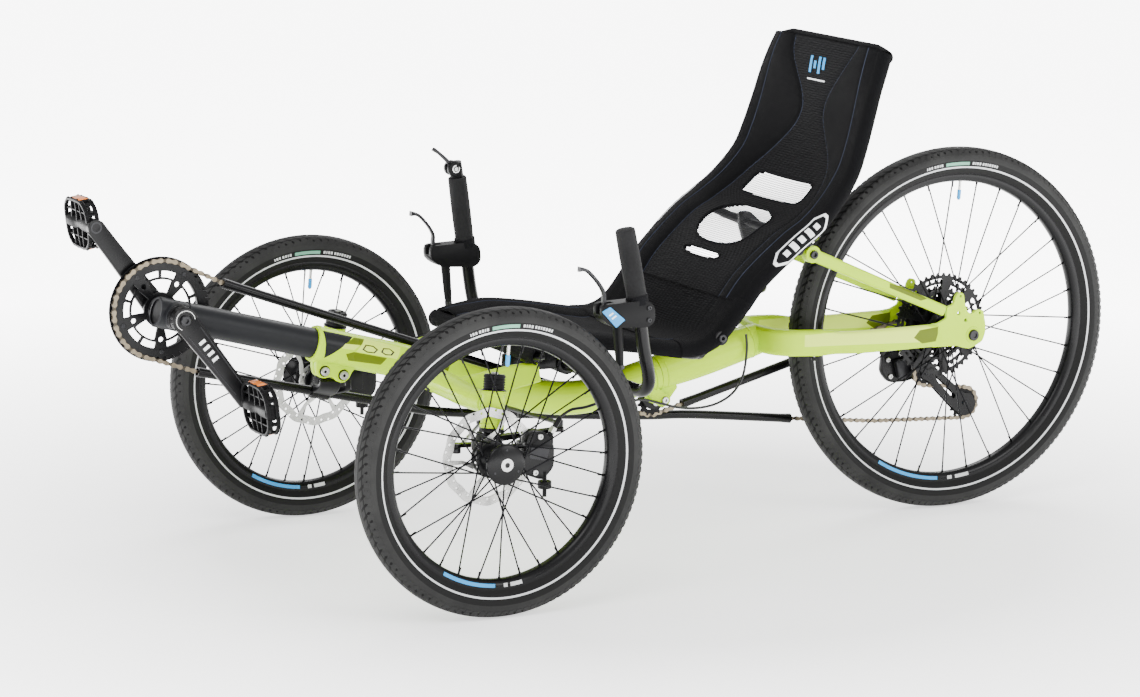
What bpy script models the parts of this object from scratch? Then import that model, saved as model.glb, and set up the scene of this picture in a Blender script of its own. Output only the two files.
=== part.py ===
"""Folding recumbent tricycle: two steered front wheels, one driven rear wheel, sling seat.

Metres, +Z up, front towards -Y, rider's left at +X, ground at z = 0.
Heights and lengths are laid out from the front axle; shift() moves them to the part's own
origin, which is the ground point under the middle of the machine's bounding box.
"""
import math

import bmesh
import bpy
from mathutils import Matrix, Vector

# ---------------------------------------------------------------- driving dimensions
FRONT_AXLE_Y = -0.4463        # world y of the front axle
TRACK = 0.770                 # between the front wheels' planes
WHEELBASE = 1.087
FRONT_WHEEL_R = 0.250         # 20 inch wheel, 47-406 tyre
REAR_WHEEL_R = 0.3265         # 26 inch wheel, 47-559 tyre
FRONT_BEAD_R = 0.203
REAR_BEAD_R = 0.2795
TYRE_HALF_W = 0.0235
FRONT_SEGMENTS = 32
REAR_SEGMENTS = 40
SPOKES = 32
SPOKE_R = 0.0013
SPOKE_CROSSING = 0.0017       # crossing spokes pass on either side of their flange
GAP = 0.0003                  # between touching pieces

BOOM_R = 0.025
BOOM_SLOPE = -0.259           # boom axis, dz/dy
BOOM_REF = (-0.136, 0.381)    # a point of the boom axis (y, z) at the frame's mouth
MAIN_TUBE_R = 0.0295
BB_Y = -0.402
BB_Z = BOOM_REF[1] + BOOM_SLOPE * (BB_Y - BOOM_REF[0])
CRANK_LENGTH = 0.170
CRANK_ANGLE = math.radians(-53.5)   # left arm, from +Y towards +Z
RING_PITCH_R = 0.0809         # 40 teeth
RING_X = -0.049
POWER_MOUTH = (-0.294, 0.487)       # front end of the chain's guide tube
CHAIN_HALF_W = 0.0028
CHAIN_HALF_H = 0.0034
CHAIN_CLEARANCE = 0.0010      # between the chain's underside and a sprocket

KING_TOP = (0.306, 0.027, 0.374)    # left kingpin axis, point at its cap
KING_LEAN = math.tan(math.radians(7.0))
KING_CASTER = math.tan(math.radians(6.5))
HEAD_R = 0.019
HEAD_BORE_R = 0.0125
HEAD_BOTTOM_Z = 0.290
HEAD_TOP_Z = 0.362
ROTOR_R = 0.080
ROTOR_X = 0.339
STEER_Y = 0.215               # handlebar pivot
BAR_Y = 0.305
BAR_Z = 0.322
BAR_R = 0.011
ARM_END = (0.3105, 0.140, 0.278)    # left track rod joint
LINK_END = (0.3165, -0.045, 0.268)  # left drag link joint
PITMAN_LENGTH = 0.060

FOLD_Y = 0.4995               # frame hinge pin
FOLD_Z = 0.2428
STAY_HALF_W = 0.008
AXLE_R = 0.006
COG_PITCH_R = 0.0225          # smallest cog, where the chain runs
COG_X = -0.0625
IDLER = (0.508, 0.2290)
IDLER_PITCH_R = 0.0255
IDLER_X = -0.045
JOCKEY_UPPER = (1.0835, 0.2336)
JOCKEY_LOWER = (1.168, 0.1715)
UPPER_PITCH_R = 0.0245
LOWER_PITCH_R = 0.0285
TUBE_OUT_R = 0.0078
TUBE_IN_R = 0.0060

SEAT_HINGE = (0.502, 0.383)
SEAT_TUBE_R = 0.010

# ---------------------------------------------------------------- materials
PAINT = ("frame_paint", (0.62, 0.80, 0.06), 0.25, 0.0)
ANODISED = ("boom_anodised", (0.055, 0.058, 0.065), 0.45, 0.6)
BLACK_METAL = ("black_metal", (0.02, 0.02, 0.022), 0.38, 0.7)
RUBBER = ("tyre_rubber", (0.03, 0.03, 0.03), 0.85, 0.0)
PLASTIC = ("black_plastic", (0.022, 0.022, 0.024), 0.5, 0.0)
STEEL = ("brushed_steel", (0.62, 0.62, 0.62), 0.3, 1.0)
CHAIN = ("chain_bronze", (0.26, 0.21, 0.16), 0.4, 0.9)
FABRIC = ("seat_fabric", (0.02, 0.021, 0.023), 0.9, 0.0)
FOAM = ("grip_foam", (0.025, 0.025, 0.027), 0.95, 0.0)


def clear_scene():
    for old in list(bpy.data.objects):
        bpy.data.objects.remove(old, do_unlink=True)


def material(spec):
    name, colour, roughness, metallic = spec
    found = bpy.data.materials.get(name)
    if found:
        return found
    made = bpy.data.materials.new(name)
    made.use_nodes = True
    shader = made.node_tree.nodes["Principled BSDF"]
    shader.inputs["Base Color"].default_value = (*colour, 1.0)
    shader.inputs["Roughness"].default_value = roughness
    shader.inputs["Metallic"].default_value = metallic
    return made


def shift(x, y, z):
    """A point laid out from the front axle, in the part's own frame."""
    return Vector((x, y + FRONT_AXLE_Y, z))


def side(point, sign):
    """The point mirrored to the left (+1) or right (-1) side."""
    return (point[0] * sign, point[1], point[2])


# ---------------------------------------------------------------- shape helpers
def finish(name, bm, spec, origin=None):
    """Close a bmesh into an object whose origin may lie on its joint axis."""
    bmesh.ops.recalc_face_normals(bm, faces=bm.faces)
    centre = Vector(origin) if origin is not None else Vector((0.0, 0.0, 0.0))
    bmesh.ops.translate(bm, verts=bm.verts, vec=-centre)
    mesh = bpy.data.meshes.new(name)
    bm.to_mesh(mesh)
    bm.free()
    mesh.shade_smooth()
    mesh.set_sharp_from_angle(angle=math.radians(35))
    mesh.materials.append(material(spec))
    made = bpy.data.objects.new(name, mesh)
    made.location = centre
    bpy.context.scene.collection.objects.link(made)
    return made


def loops_to_faces(bm, loops, closed_ring, capped):
    count = len(loops[0])
    steps = len(loops) if closed_ring else len(loops) - 1
    for i in range(steps):
        here = loops[i]
        there = loops[(i + 1) % len(loops)]
        for k in range(count):
            bm.faces.new((here[k], here[(k + 1) % count], there[(k + 1) % count], there[k]))
    if capped:
        bm.faces.new(list(reversed(loops[0])))
        bm.faces.new(loops[-1])


def round_profile(radius, sides, phase=0.0):
    turn = 2.0 * math.pi / sides
    return [(radius * math.cos(turn * k + phase), radius * math.sin(turn * k + phase))
            for k in range(sides)]


def box_profile(half_w, half_h, bevel=0.0):
    if bevel == 0.0:
        return [(half_w, -half_h), (half_w, half_h), (-half_w, half_h), (-half_w, -half_h)]
    w, h, b = half_w, half_h, bevel
    return [(w, -h + b), (w, h - b), (w - b, h), (-w + b, h), (-w, h - b), (-w, -h + b), (-w + b, -h),
            (w - b, -h)]


def path_frames(points, closed=False, across=Vector((1.0, 0.0, 0.0))):
    """Tangent, sideways and upward unit vectors at each point of a path."""
    frames = []
    count = len(points)
    for i, point in enumerate(points):
        before = points[(i - 1) % count] if closed or i > 0 else point
        after = points[(i + 1) % count] if closed or i < count - 1 else point
        tangent = (after - before).normalized()
        sideways = (across - tangent * across.dot(tangent)).normalized()
        frames.append((tangent, sideways, tangent.cross(sideways)))
        across = sideways
    return frames


def smooth_path(points, per_span, closed=False):
    """A Catmull-Rom curve through the points."""
    count = len(points)
    result = []
    spans = count if closed else count - 1
    for i in range(spans):
        if closed:
            a, b, c, d = (points[(i + k) % count] for k in (-1, 0, 1, 2))
        else:
            a = points[max(i - 1, 0)]
            b = points[i]
            c = points[i + 1]
            d = points[min(i + 2, count - 1)]
        for step in range(per_span):
            t = step / per_span
            result.append(0.5 * ((2 * b) + (c - a) * t + (2 * a - 5 * b + 4 * c - d) * t * t
                                 + (3 * b - a - 3 * c + d) * t ** 3))
    if not closed:
        result.append(points[-1].copy())
    return result


def sweep(name, points, profiles, spec, closed=False, origin=None, across=Vector((1.0, 0.0, 0.0))):
    """Sweep one profile, or one per point, along a path; profiles are (sideways, upward)."""
    bm = bmesh.new()
    frames = path_frames(points, closed, across)
    loops = []
    for i, point in enumerate(points):
        profile = profiles[i] if isinstance(profiles[0], list) else profiles
        _, sideways, upward = frames[i]
        loops.append([bm.verts.new(point + sideways * u + upward * v) for u, v in profile])
    loops_to_faces(bm, loops, closed, not closed)
    return finish(name, bm, spec, origin)


def hollow_sweep(name, points, outer_r, inner_r, sides, spec):
    """An open-ended tube."""
    bm = bmesh.new()
    frames = path_frames(points)
    outer = []
    inner = []
    for i, point in enumerate(points):
        _, sideways, upward = frames[i]
        outer.append([bm.verts.new(point + sideways * u + upward * v) for u,
                      v in round_profile(outer_r, sides)])
        inner.append([bm.verts.new(point + sideways * u + upward * v) for u,
                      v in round_profile(inner_r, sides)])
    loops_to_faces(bm, outer, False, False)
    loops_to_faces(bm, inner, False, False)
    for end in (0, -1):
        for k in range(sides):
            j = (k + 1) % sides
            bm.faces.new((outer[end][k], outer[end][j], inner[end][j], inner[end][k]))
    return finish(name, bm, spec)


def turned(name, profile, centre, spec, segments, ring=True, axis=Vector((1.0, 0.0, 0.0)), phase=0.0):
    """Turn (along, radius) points about an axis; ring closes the section on itself."""
    bm = bmesh.new()
    axis = axis.normalized()
    helper = Vector((0.0, 0.0, 1.0)) if abs(axis.z) < 0.9 else Vector((0.0, 1.0, 0.0))
    first = (helper - axis * helper.dot(axis)).normalized()
    second = axis.cross(first)
    loops = []
    for k in range(segments):
        angle = 2.0 * math.pi * k / segments + phase
        out = first * math.cos(angle) + second * math.sin(angle)
        loops.append([bm.verts.new(centre + axis * along + out * radius) for along, radius in profile])
    if ring:
        loops_to_faces(bm, loops, True, False)
    else:
        for k in range(segments):
            here = loops[k]
            there = loops[(k + 1) % segments]
            for i in range(len(profile) - 1):
                bm.faces.new((here[i], here[i + 1], there[i + 1], there[i]))
        bm.faces.new([loop[0] for loop in loops])
        bm.faces.new([loop[-1] for loop in reversed(loops)])
    return finish(name, bm, spec, centre)


def rod(name, start, end, radius, spec, sides=12, phase=0.0):
    length = (end - start).length
    return turned(name, [(0.0, radius), (length, radius)], start, spec, sides, ring=False,
                  axis=end - start, phase=phase)


def plate(name, outline, x_low, x_high, spec, origin=None):
    """Extrude a (y, z) outline along X."""
    bm = bmesh.new()
    low = [bm.verts.new(shift(x_low, y, z)) for y, z in outline]
    high = [bm.verts.new(shift(x_high, y, z)) for y, z in outline]
    loops_to_faces(bm, [low, high], False, True)
    return finish(name, bm, spec, origin)


def block(name, low, high, spec):
    """A box from its lowest to its highest corner, both laid out from the front axle."""
    outline = [(low[1], low[2]), (high[1], low[2]), (high[1], high[2]), (low[1], high[2])]
    return plate(name, outline, low[0], high[0], spec)


def rounded_outline(points, radius, steps=2):
    """Replace each corner of a (y, z) outline by a short arc-like cut."""
    result = []
    count = len(points)
    for i in range(count):
        here = Vector(points[i])
        before = Vector(points[i - 1])
        after = Vector(points[(i + 1) % count])
        reach = min(radius, 0.45 * (before - here).length, 0.45 * (after - here).length)
        start = here + (before - here).normalized() * reach
        stop = here + (after - here).normalized() * reach
        for k in range(steps + 1):
            t = k / steps
            point = start * (1 - t) ** 2 + here * 2 * t * (1 - t) + stop * t * t
            result.append((point.x, point.y))
    return result


def bake(target):
    """Replace an object's mesh by its evaluated one and drop its modifiers."""
    graph = bpy.context.evaluated_depsgraph_get()
    graph.update()
    mesh = bpy.data.meshes.new_from_object(target.evaluated_get(graph))
    target.modifiers.clear()
    target.data = mesh
    bm = bmesh.new()
    bm.from_mesh(mesh)
    bmesh.ops.remove_doubles(bm, verts=bm.verts, dist=0.000002)
    bmesh.ops.dissolve_degenerate(bm, edges=bm.edges, dist=0.000002)
    bm.to_mesh(mesh)
    bm.free()
    mesh.set_sharp_from_angle(angle=math.radians(35))


def combine(target, others, operation):
    """One exact Boolean of the target with all the others, which are used up."""
    group = bpy.data.collections.new("operands")
    bpy.context.scene.collection.children.link(group)
    for other in others:
        for user in list(other.users_collection):
            user.objects.unlink(other)
        group.objects.link(other)
    modifier = target.modifiers.new("combine", "BOOLEAN")
    modifier.operation = operation
    modifier.solver = "EXACT"
    modifier.operand_type = "COLLECTION"
    modifier.collection = group
    bake(target)
    for other in others:
        bpy.data.objects.remove(other, do_unlink=True)
    bpy.data.collections.remove(group)
    return target


def unite(target, others):
    return combine(target, others, "UNION")


def cut(target, cutters):
    return combine(target, cutters, "DIFFERENCE")


# ---------------------------------------------------------------- shared geometry
def boom_point(y, x=0.0):
    return shift(x, y, BOOM_REF[1] + BOOM_SLOPE * (y - BOOM_REF[0]))


def king_point(z, sign):
    """A point of a kingpin's axis at a height."""
    drop = KING_TOP[2] - z
    return shift(sign * (KING_TOP[0] + drop * KING_LEAN), KING_TOP[1] - drop * KING_CASTER, z)


def tangent_points(c1, r1, s1, c2, r2, s2):
    """Ends of the line that touches two circles; s is +1 where the circle lies below the line."""
    dy = c2[0] - c1[0]
    dz = c2[1] - c1[1]
    distance = math.hypot(dy, dz)
    offset = (s1 * r1 - s2 * r2) / distance
    base = math.atan2(dz, dy)
    tilt = math.asin(offset)
    angle = base + math.pi / 2 - tilt
    normal = (math.cos(angle), math.sin(angle))
    start = (c1[0] + s1 * r1 * normal[0], c1[1] + s1 * r1 * normal[1])
    end = (c2[0] + s2 * r2 * normal[0], c2[1] + s2 * r2 * normal[1])
    return start, end


def arc(centre, radius, start, end, way, steps):
    """Points of an arc in the (y, z) plane from one point to another; way is +1 or -1."""
    a0 = math.atan2(start[1] - centre[1], start[0] - centre[0])
    a1 = math.atan2(end[1] - centre[1], end[0] - centre[0])
    sweep_angle = (a1 - a0) % (2.0 * math.pi)
    if way < 0:
        sweep_angle -= 2.0 * math.pi
    return [(centre[0] + radius * math.cos(a0 + sweep_angle * k / steps),
             centre[1] + radius * math.sin(a0 + sweep_angle * k / steps)) for k in range(steps + 1)]


POWER_LEAD = tangent_points((BB_Y, BB_Z), RING_PITCH_R, 1, POWER_MOUTH, 0.0, 1)
POWER_FRONT = tangent_points(POWER_MOUTH, 0.0, 1, IDLER, IDLER_PITCH_R, -1)
POWER_REAR = tangent_points(IDLER, IDLER_PITCH_R, -1, (WHEELBASE, REAR_WHEEL_R), COG_PITCH_R, 1)
RETURN_ROUTE = [(-0.050, -0.338, 0.3425), (-0.0515, -0.180, 0.3060), (-0.0525, -0.027, 0.2710),
                (-0.056, 0.103, 0.2400), (-0.062, 0.300, 0.2185), (-0.064, 0.500, 0.2000),
                (-0.064, 0.598, 0.1940), (-0.0625, 0.800, 0.1710), (-0.0625, 0.976, 0.1520)]


def along(line, y):
    """Height of a (y, z) line at y."""
    (y0, z0), (y1, z1) = line
    return z0 + (z1 - z0) * (y - y0) / (y1 - y0)


def drift(y, start, end, x0, x1):
    """Sideways place of a chain run that moves from one sprocket's plane to another's."""
    t = min(max((y - start) / (end - start), 0.0), 1.0)
    return x0 + (x1 - x0) * t


# ---------------------------------------------------------------- frame
def main_tube_path():
    mouth = -0.165
    straight = [boom_point(y) for y in (mouth, -0.136, -0.060, 0.000)]
    bend = [shift(0, 0.080, 0.3195), shift(0, 0.140, 0.2975), shift(0, 0.200, 0.2790),
            shift(0, 0.266, 0.2640), shift(0, 0.315, 0.2575), shift(0, 0.363, 0.2585),
            shift(0, 0.410, 0.2680), shift(0, 0.450, 0.2790), shift(0, 0.4885, 0.2877)]
    return straight + bend


def make_front_frame():
    path = main_tube_path()
    radii = [0.0285, 0.0285, 0.0290] + [MAIN_TUBE_R] * (len(path) - 3)
    frame = sweep("front_frame", path, [round_profile(r, 12) for r in radii], PAINT)
    parts = []
    beam = [(-0.296, 0.024, 0.326), (-0.200, 0.032, 0.320), (-0.100, 0.046, 0.317), (0.0, 0.052, 0.316),
            (0.100, 0.046, 0.317), (0.200, 0.032, 0.320), (0.296, 0.024, 0.326)]
    beam_r = [0.017, 0.019, 0.021, 0.022, 0.021, 0.019, 0.017]
    parts.append(sweep("beam", [shift(*p) for p in beam], [round_profile(r, 10) for r in beam_r], PAINT,
                       across=Vector((0, 0, 1))))
    for sign in (1, -1):
        parts.append(rod("head", king_point(HEAD_BOTTOM_Z, sign), king_point(HEAD_TOP_Z, sign), HEAD_R,
                         PAINT, 12))
        strut = [(0.125, 0.045, 0.3165), (0.138, 0.085, 0.3225), (0.150, 0.128, 0.3330),
                 (0.158, 0.180, 0.3420)]
        strut_h = [0.017, 0.020, 0.019, 0.0165]
        parts.append(sweep("strut", [shift(*side(p, sign)) for p in strut],
                           [box_profile(0.011, h, 0.005) for h in strut_h], PAINT))
        ear = [(0.470, 0.270), (0.462, 0.262), (0.4885, 0.2325), (0.4995, 0.2305), (0.5105, 0.2365),
               (0.5105, 0.2490), (0.4990, 0.2545), (0.4880, 0.2640)]
        parts.append(plate("ear", ear, sign * 0.0105, sign * 0.0185, PAINT))
    parts.append(rod("pin", shift(-0.0180, FOLD_Y, FOLD_Z), shift(0.0180, FOLD_Y, FOLD_Z), 0.0045, PAINT,
                     12))
    lug = rounded_outline([(-0.168, 0.372), (-0.168, 0.350), (-0.150, 0.330), (-0.131, 0.3285),
                           (-0.114, 0.3195),
                           (-0.096, 0.3195), (-0.084, 0.335), (-0.060, 0.352)], 0.008)
    parts.append(plate("lug", lug, -0.013, 0.013, PAINT))
    unite(frame, parts)
    cutters = [rod("bore", boom_point(-0.30), boom_point(0.062), BOOM_R + GAP, PAINT, 16),
               rod("shaft_hole", shift(0, STEER_Y, 0.20), shift(0, STEER_Y, 0.36), 0.0108, PAINT, 16)]
    for sign in (1, -1):
        cutters.append(rod("king_hole", king_point(0.26, sign), king_point(0.40, sign), HEAD_BORE_R, PAINT,
                           12))
    for y, z in ((-0.139, 0.340), (-0.105, 0.331)):
        cutters.append(rod("bolt_hole", shift(-0.05, y, z), shift(0.05, y, z), 0.0044, PAINT, 12))
    return cut(frame, cutters)


def make_clamp_bolts():
    """Two clamp screws that share a nut plate on the right."""
    outline = rounded_outline([(-0.149, 0.334), (-0.112, 0.3225), (-0.096, 0.3245), (-0.096, 0.337),
                               (-0.132, 0.349), (-0.149, 0.347)], 0.005, 2)
    bolts = plate("clamp_bolts", outline, -0.0180, -0.0134, STEEL)
    shanks = []
    for y, z in ((-0.139, 0.340), (-0.105, 0.331)):
        shanks.append(rod("shank", shift(-0.016, y, z), shift(0.016, y, z), 0.0040, STEEL, 12))
        shanks.append(rod("head", shift(0.0134, y, z), shift(0.0180, y, z), 0.0072, STEEL, 16))
    unite(bolts, shanks)
    sockets = [rod("socket", shift(0.0150, y, z), shift(0.03, y, z), 0.0028, STEEL, 6)
               for y, z in ((-0.139, 0.340), (-0.105, 0.331))]
    return cut(bolts, sockets)


def return_path():
    return [shift(*p) for p in RETURN_ROUTE]


def make_chain_tubes():
    """Hollow guide tubes around the two chain runs."""
    power = [shift(drift(y, -0.30, 0.48, RING_X, IDLER_X), y, along(POWER_FRONT, y))
             for y in (POWER_MOUTH[0], -0.10, 0.10, 0.28, 0.440)]
    hollow_sweep("chain_tube_power_front", power, TUBE_OUT_R, TUBE_IN_R, 8, PLASTIC)
    rear = [shift(drift(y, 0.52, 1.06, IDLER_X, COG_X), y, along(POWER_REAR, y))
            for y in (0.570, 0.690, 0.810, 0.920)]
    hollow_sweep("chain_tube_power_rear", rear, TUBE_OUT_R, TUBE_IN_R, 8, PLASTIC)
    hollow_sweep("chain_tube_return", return_path()[:-1], TUBE_OUT_R, TUBE_IN_R, 8, PLASTIC)


def make_tube_holder():
    """Block under the clamp that carries the return chain tube."""
    holder = block("chain_tube_holder", (-0.062, -0.155, 0.2800), (-0.0140, -0.090, 0.3190), PLASTIC)
    route = [shift(*p) for p in RETURN_ROUTE[:3]]
    unite(holder, [block("foot", (-0.0150, -0.166, 0.3040), (0.012, -0.086, 0.3190), PLASTIC)])
    cutter = sweep("tube_way", route, round_profile(TUBE_OUT_R + GAP, 8), PLASTIC)
    return cut(holder, [cutter])


def make_idler():
    outline = rounded_outline([(0.440, 0.262), (0.470, 0.250), (0.492, 0.2190), (0.508, 0.2150),
                               (0.521, 0.2240),
                               (0.521, 0.2360), (0.499, 0.2560), (0.478, 0.2950), (0.440, 0.2900)], 0.008)
    bracket = plate("idler_bracket", outline, -0.0338, -0.0298, BLACK_METAL)
    axle = rod("axle", shift(-0.0530, *IDLER), shift(-0.0305, *IDLER), 0.0040, BLACK_METAL, 12)
    collar = rod("collar", shift(-0.0385, *IDLER), shift(-0.0340, *IDLER), 0.0070, BLACK_METAL, 12)
    unite(bracket, [axle, collar])
    cut(bracket,
        [rod("window", shift(-0.05, 0.486, 0.243), shift(-0.02, 0.486, 0.243), 0.0065, BLACK_METAL, 10),
                  rod("window", shift(-0.05, 0.463, 0.272), shift(-0.02, 0.463, 0.272),
                      0.0090, BLACK_METAL, 10)])
    groove = IDLER_PITCH_R - CHAIN_HALF_H - CHAIN_CLEARANCE
    profile = [(-0.006, 0.0044), (0.006, 0.0044), (0.006, groove - 0.003), (0.0035, groove - 0.003),
               (0.0030, groove), (-0.0030, groove), (-0.0035, groove - 0.003), (-0.006, groove - 0.003)]
    turned("idler_wheel", profile, shift(IDLER_X, *IDLER), PLASTIC, 20)


# ---------------------------------------------------------------- boom and cranks
def make_boom():
    boom = rod("boom_tube", boom_point(-0.446), boom_point(-0.020), BOOM_R, ANODISED, 16)
    shell = rod("shell", shift(-0.034, BB_Y, BB_Z), shift(0.034, BB_Y, BB_Z), 0.0225, ANODISED, 16)
    unite(boom, [shell])
    hollow = rod("hollow", boom_point(-0.360), boom_point(0.01), BOOM_R - 0.0025, ANODISED, 16)
    bearing = rod("bearing", shift(-0.05, BB_Y, BB_Z), shift(0.05, BB_Y, BB_Z), 0.0126, ANODISED, 16)
    return cut(boom, [hollow, bearing])


def pedal_axis(sign):
    """Centre line of a pedal spindle, (y, z)."""
    return (BB_Y + sign * CRANK_LENGTH * math.cos(CRANK_ANGLE),
            BB_Z + sign * CRANK_LENGTH * math.sin(CRANK_ANGLE))


def make_crank_arm(name, sign):
    hub_x = sign * 0.052
    eye_x = sign * 0.072
    y_end, z_end = pedal_axis(sign)
    middle = (BB_Y + 0.5 * (y_end - BB_Y), BB_Z + 0.5 * (z_end - BB_Z))
    if sign < 0:
        hub_x = -0.0665
        eye_x = -0.0790
    points = [shift(hub_x, BB_Y, BB_Z), shift(0.5 * (hub_x + eye_x), *middle), shift(eye_x, y_end, z_end)]
    profiles = [box_profile(0.0065, 0.0170, 0.003), box_profile(0.0065, 0.0145, 0.003),
                box_profile(0.0065, 0.0130, 0.003)]
    arm = sweep(name, points, profiles, BLACK_METAL)
    parts = [rod("boss", shift(hub_x - 0.0072, BB_Y, BB_Z), shift(hub_x + 0.0072, BB_Y, BB_Z), 0.0195,
                 BLACK_METAL, 20),
             rod("eye", shift(eye_x - 0.0068, y_end, z_end), shift(eye_x + 0.0068, y_end, z_end),
                 0.0135, BLACK_METAL, 16),
             rod("spindle", shift(eye_x, y_end, z_end), shift(eye_x + sign * 0.094, y_end, z_end),
                 0.0050, BLACK_METAL, 12)]
    if sign > 0:
        parts.append(rod("axle", shift(-0.0700, BB_Y, BB_Z), shift(hub_x, BB_Y, BB_Z), 0.0120, BLACK_METAL,
                         16))
    unite(arm, parts)
    if sign < 0:
        cut(arm,
            [rod("axle_way", shift(-0.0703, BB_Y, BB_Z), shift(0.0, BB_Y, BB_Z), 0.0123, BLACK_METAL, 16)])
    return arm


def make_chainring():
    """Toothed ring, its spider and the outer guard."""
    root = RING_PITCH_R - CHAIN_HALF_H - CHAIN_CLEARANCE
    centre = shift(RING_X, BB_Y, BB_Z)
    ring = turned("chainring", [(-0.0015, 0.063), (0.0015, 0.063), (0.0015, root), (-0.0015, root)],
                  centre, BLACK_METAL, 28)
    parts = [turned("hub", [(-0.0099, 0.0123), (0.0075, 0.0123), (0.0075, 0.024), (-0.0099, 0.024)],
                    centre, BLACK_METAL, 16),
             turned("guard", [(-0.0085, 0.0715), (-0.0060, 0.0715), (-0.0060, 0.0865), (-0.0085, 0.0865)],
                    centre, BLACK_METAL, 28)]
    for k in range(5):
        angle = CRANK_ANGLE + math.pi + 2.0 * math.pi * k / 5
        out = Vector((0.0, math.cos(angle), math.sin(angle)))
        parts.append(sweep("spider", [centre + out * 0.020 + Vector((-0.001, 0, 0)), centre + out * 0.066],
                           [box_profile(0.0028, 0.0085), box_profile(0.0028, 0.0055)], BLACK_METAL))
        bolt = centre + out * 0.0725
        parts.append(rod("post", bolt - Vector((0.0080, 0, 0)), bolt + Vector((0.0012, 0, 0)), 0.0040,
                         BLACK_METAL, 8))
    return unite(ring, parts)


def make_pedal(name, sign):
    """Platform pedal that hangs on its spindle, long side nearly upright."""
    y, z = pedal_axis(sign)
    eye_x = 0.072 if sign > 0 else 0.0790
    inner = eye_x + 0.0072
    low = inner
    high = inner + 0.0960
    tilt = math.radians(8.0)
    axis = Vector((1.0, 0.0, 0.0))
    centre = shift(0.0, y, z)

    def turned_box(label, x0, x1, half_t, z0, z1):
        made = block(label, (sign * x0, y - half_t, z + z0), (sign * x1, y + half_t, z + z1), PLASTIC)
        turn = Matrix.Translation(centre) @ Matrix.Rotation(tilt, 4, axis) @ Matrix.Translation(-centre)
        made.data.transform(turn)
        return made

    body = turned_box(name, low, high, 0.0115, -0.046, 0.046)
    windows = []
    for z0, z1 in ((0.0145, 0.0390), (-0.0390, -0.0145)):
        for x0, x1 in ((low + 0.010, low + 0.043), (low + 0.053, low + 0.086)):
            windows.append(turned_box("window", x0, x1, 0.03, z0, z1))
    cut(body, windows)
    unite(body, [rod("barrel", shift(sign * low, y, z), shift(sign * high, y, z), 0.0125, PLASTIC, 16)])
    return cut(body, [rod("bearing", shift(sign * (low - 0.01), y, z), shift(sign * (low + 0.0905), y, z),
                          0.0054, PLASTIC, 12)])


# ---------------------------------------------------------------- front wheels and steering
def make_knuckle(name, sign):
    """Kingpin, stub axle, steering arm and brake lug in one forging."""
    base = rod(name, king_point(0.2600, sign), king_point(0.3715, sign), 0.0120, BLACK_METAL, 12)
    parts = [rod("flange", king_point(0.2840, sign), king_point(HEAD_BOTTOM_Z - GAP, sign), 0.0205,
                 BLACK_METAL, 16),
             rod("cap", king_point(HEAD_TOP_Z + GAP, sign), king_point(0.3750, sign),
                 0.0165, BLACK_METAL, 16)]
    web = [(0.3180, 0.0145, 0.2800), (0.3185, 0.010, 0.268), (0.3190, 0.000, 0.236)]
    parts.append(sweep("web", [shift(*side(p, sign)) for p in web],
                       [box_profile(0.013, 0.020, 0.004), box_profile(0.013, 0.020, 0.004),
                        box_profile(0.013, 0.017, 0.004)], BLACK_METAL))
    parts.append(rod("stub", shift(sign * 0.318, 0, FRONT_WHEEL_R), shift(sign * 0.4085, 0, FRONT_WHEEL_R),
                     0.0085, BLACK_METAL, 16))
    arm = [(0.3165, 0.014, 0.2730), (0.3130, 0.060, 0.2745), ARM_END]
    parts.append(sweep("arm", [shift(*side(p, sign)) for p in arm],
                       [box_profile(0.008, 0.005), box_profile(0.007, 0.004),
                        box_profile(0.007, 0.003)], BLACK_METAL))
    eye = shift(*side(ARM_END, sign))
    parts.append(rod("eye", eye - Vector((0, 0, 0.003)), eye + Vector((0, 0, 0.003)), 0.0095, BLACK_METAL,
                     12))
    if sign > 0:
        fore = [(0.3165, 0.004, 0.2660), LINK_END]
        parts.append(sweep("fore_arm", [shift(*p) for p in fore], box_profile(0.007, 0.003), BLACK_METAL))
        tip = shift(*LINK_END)
        parts.append(rod("fore_eye", tip - Vector((0, 0, 0.003)), tip + Vector((0, 0, 0.003)), 0.009,
                         BLACK_METAL, 12))
    parts.append(block("lug", (min(sign * 0.316, sign * 0.3255), 0.0, 0.2380),
                       (max(sign * 0.316, sign * 0.3255), 0.060, 0.2620), BLACK_METAL))
    return unite(base, parts)


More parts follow.
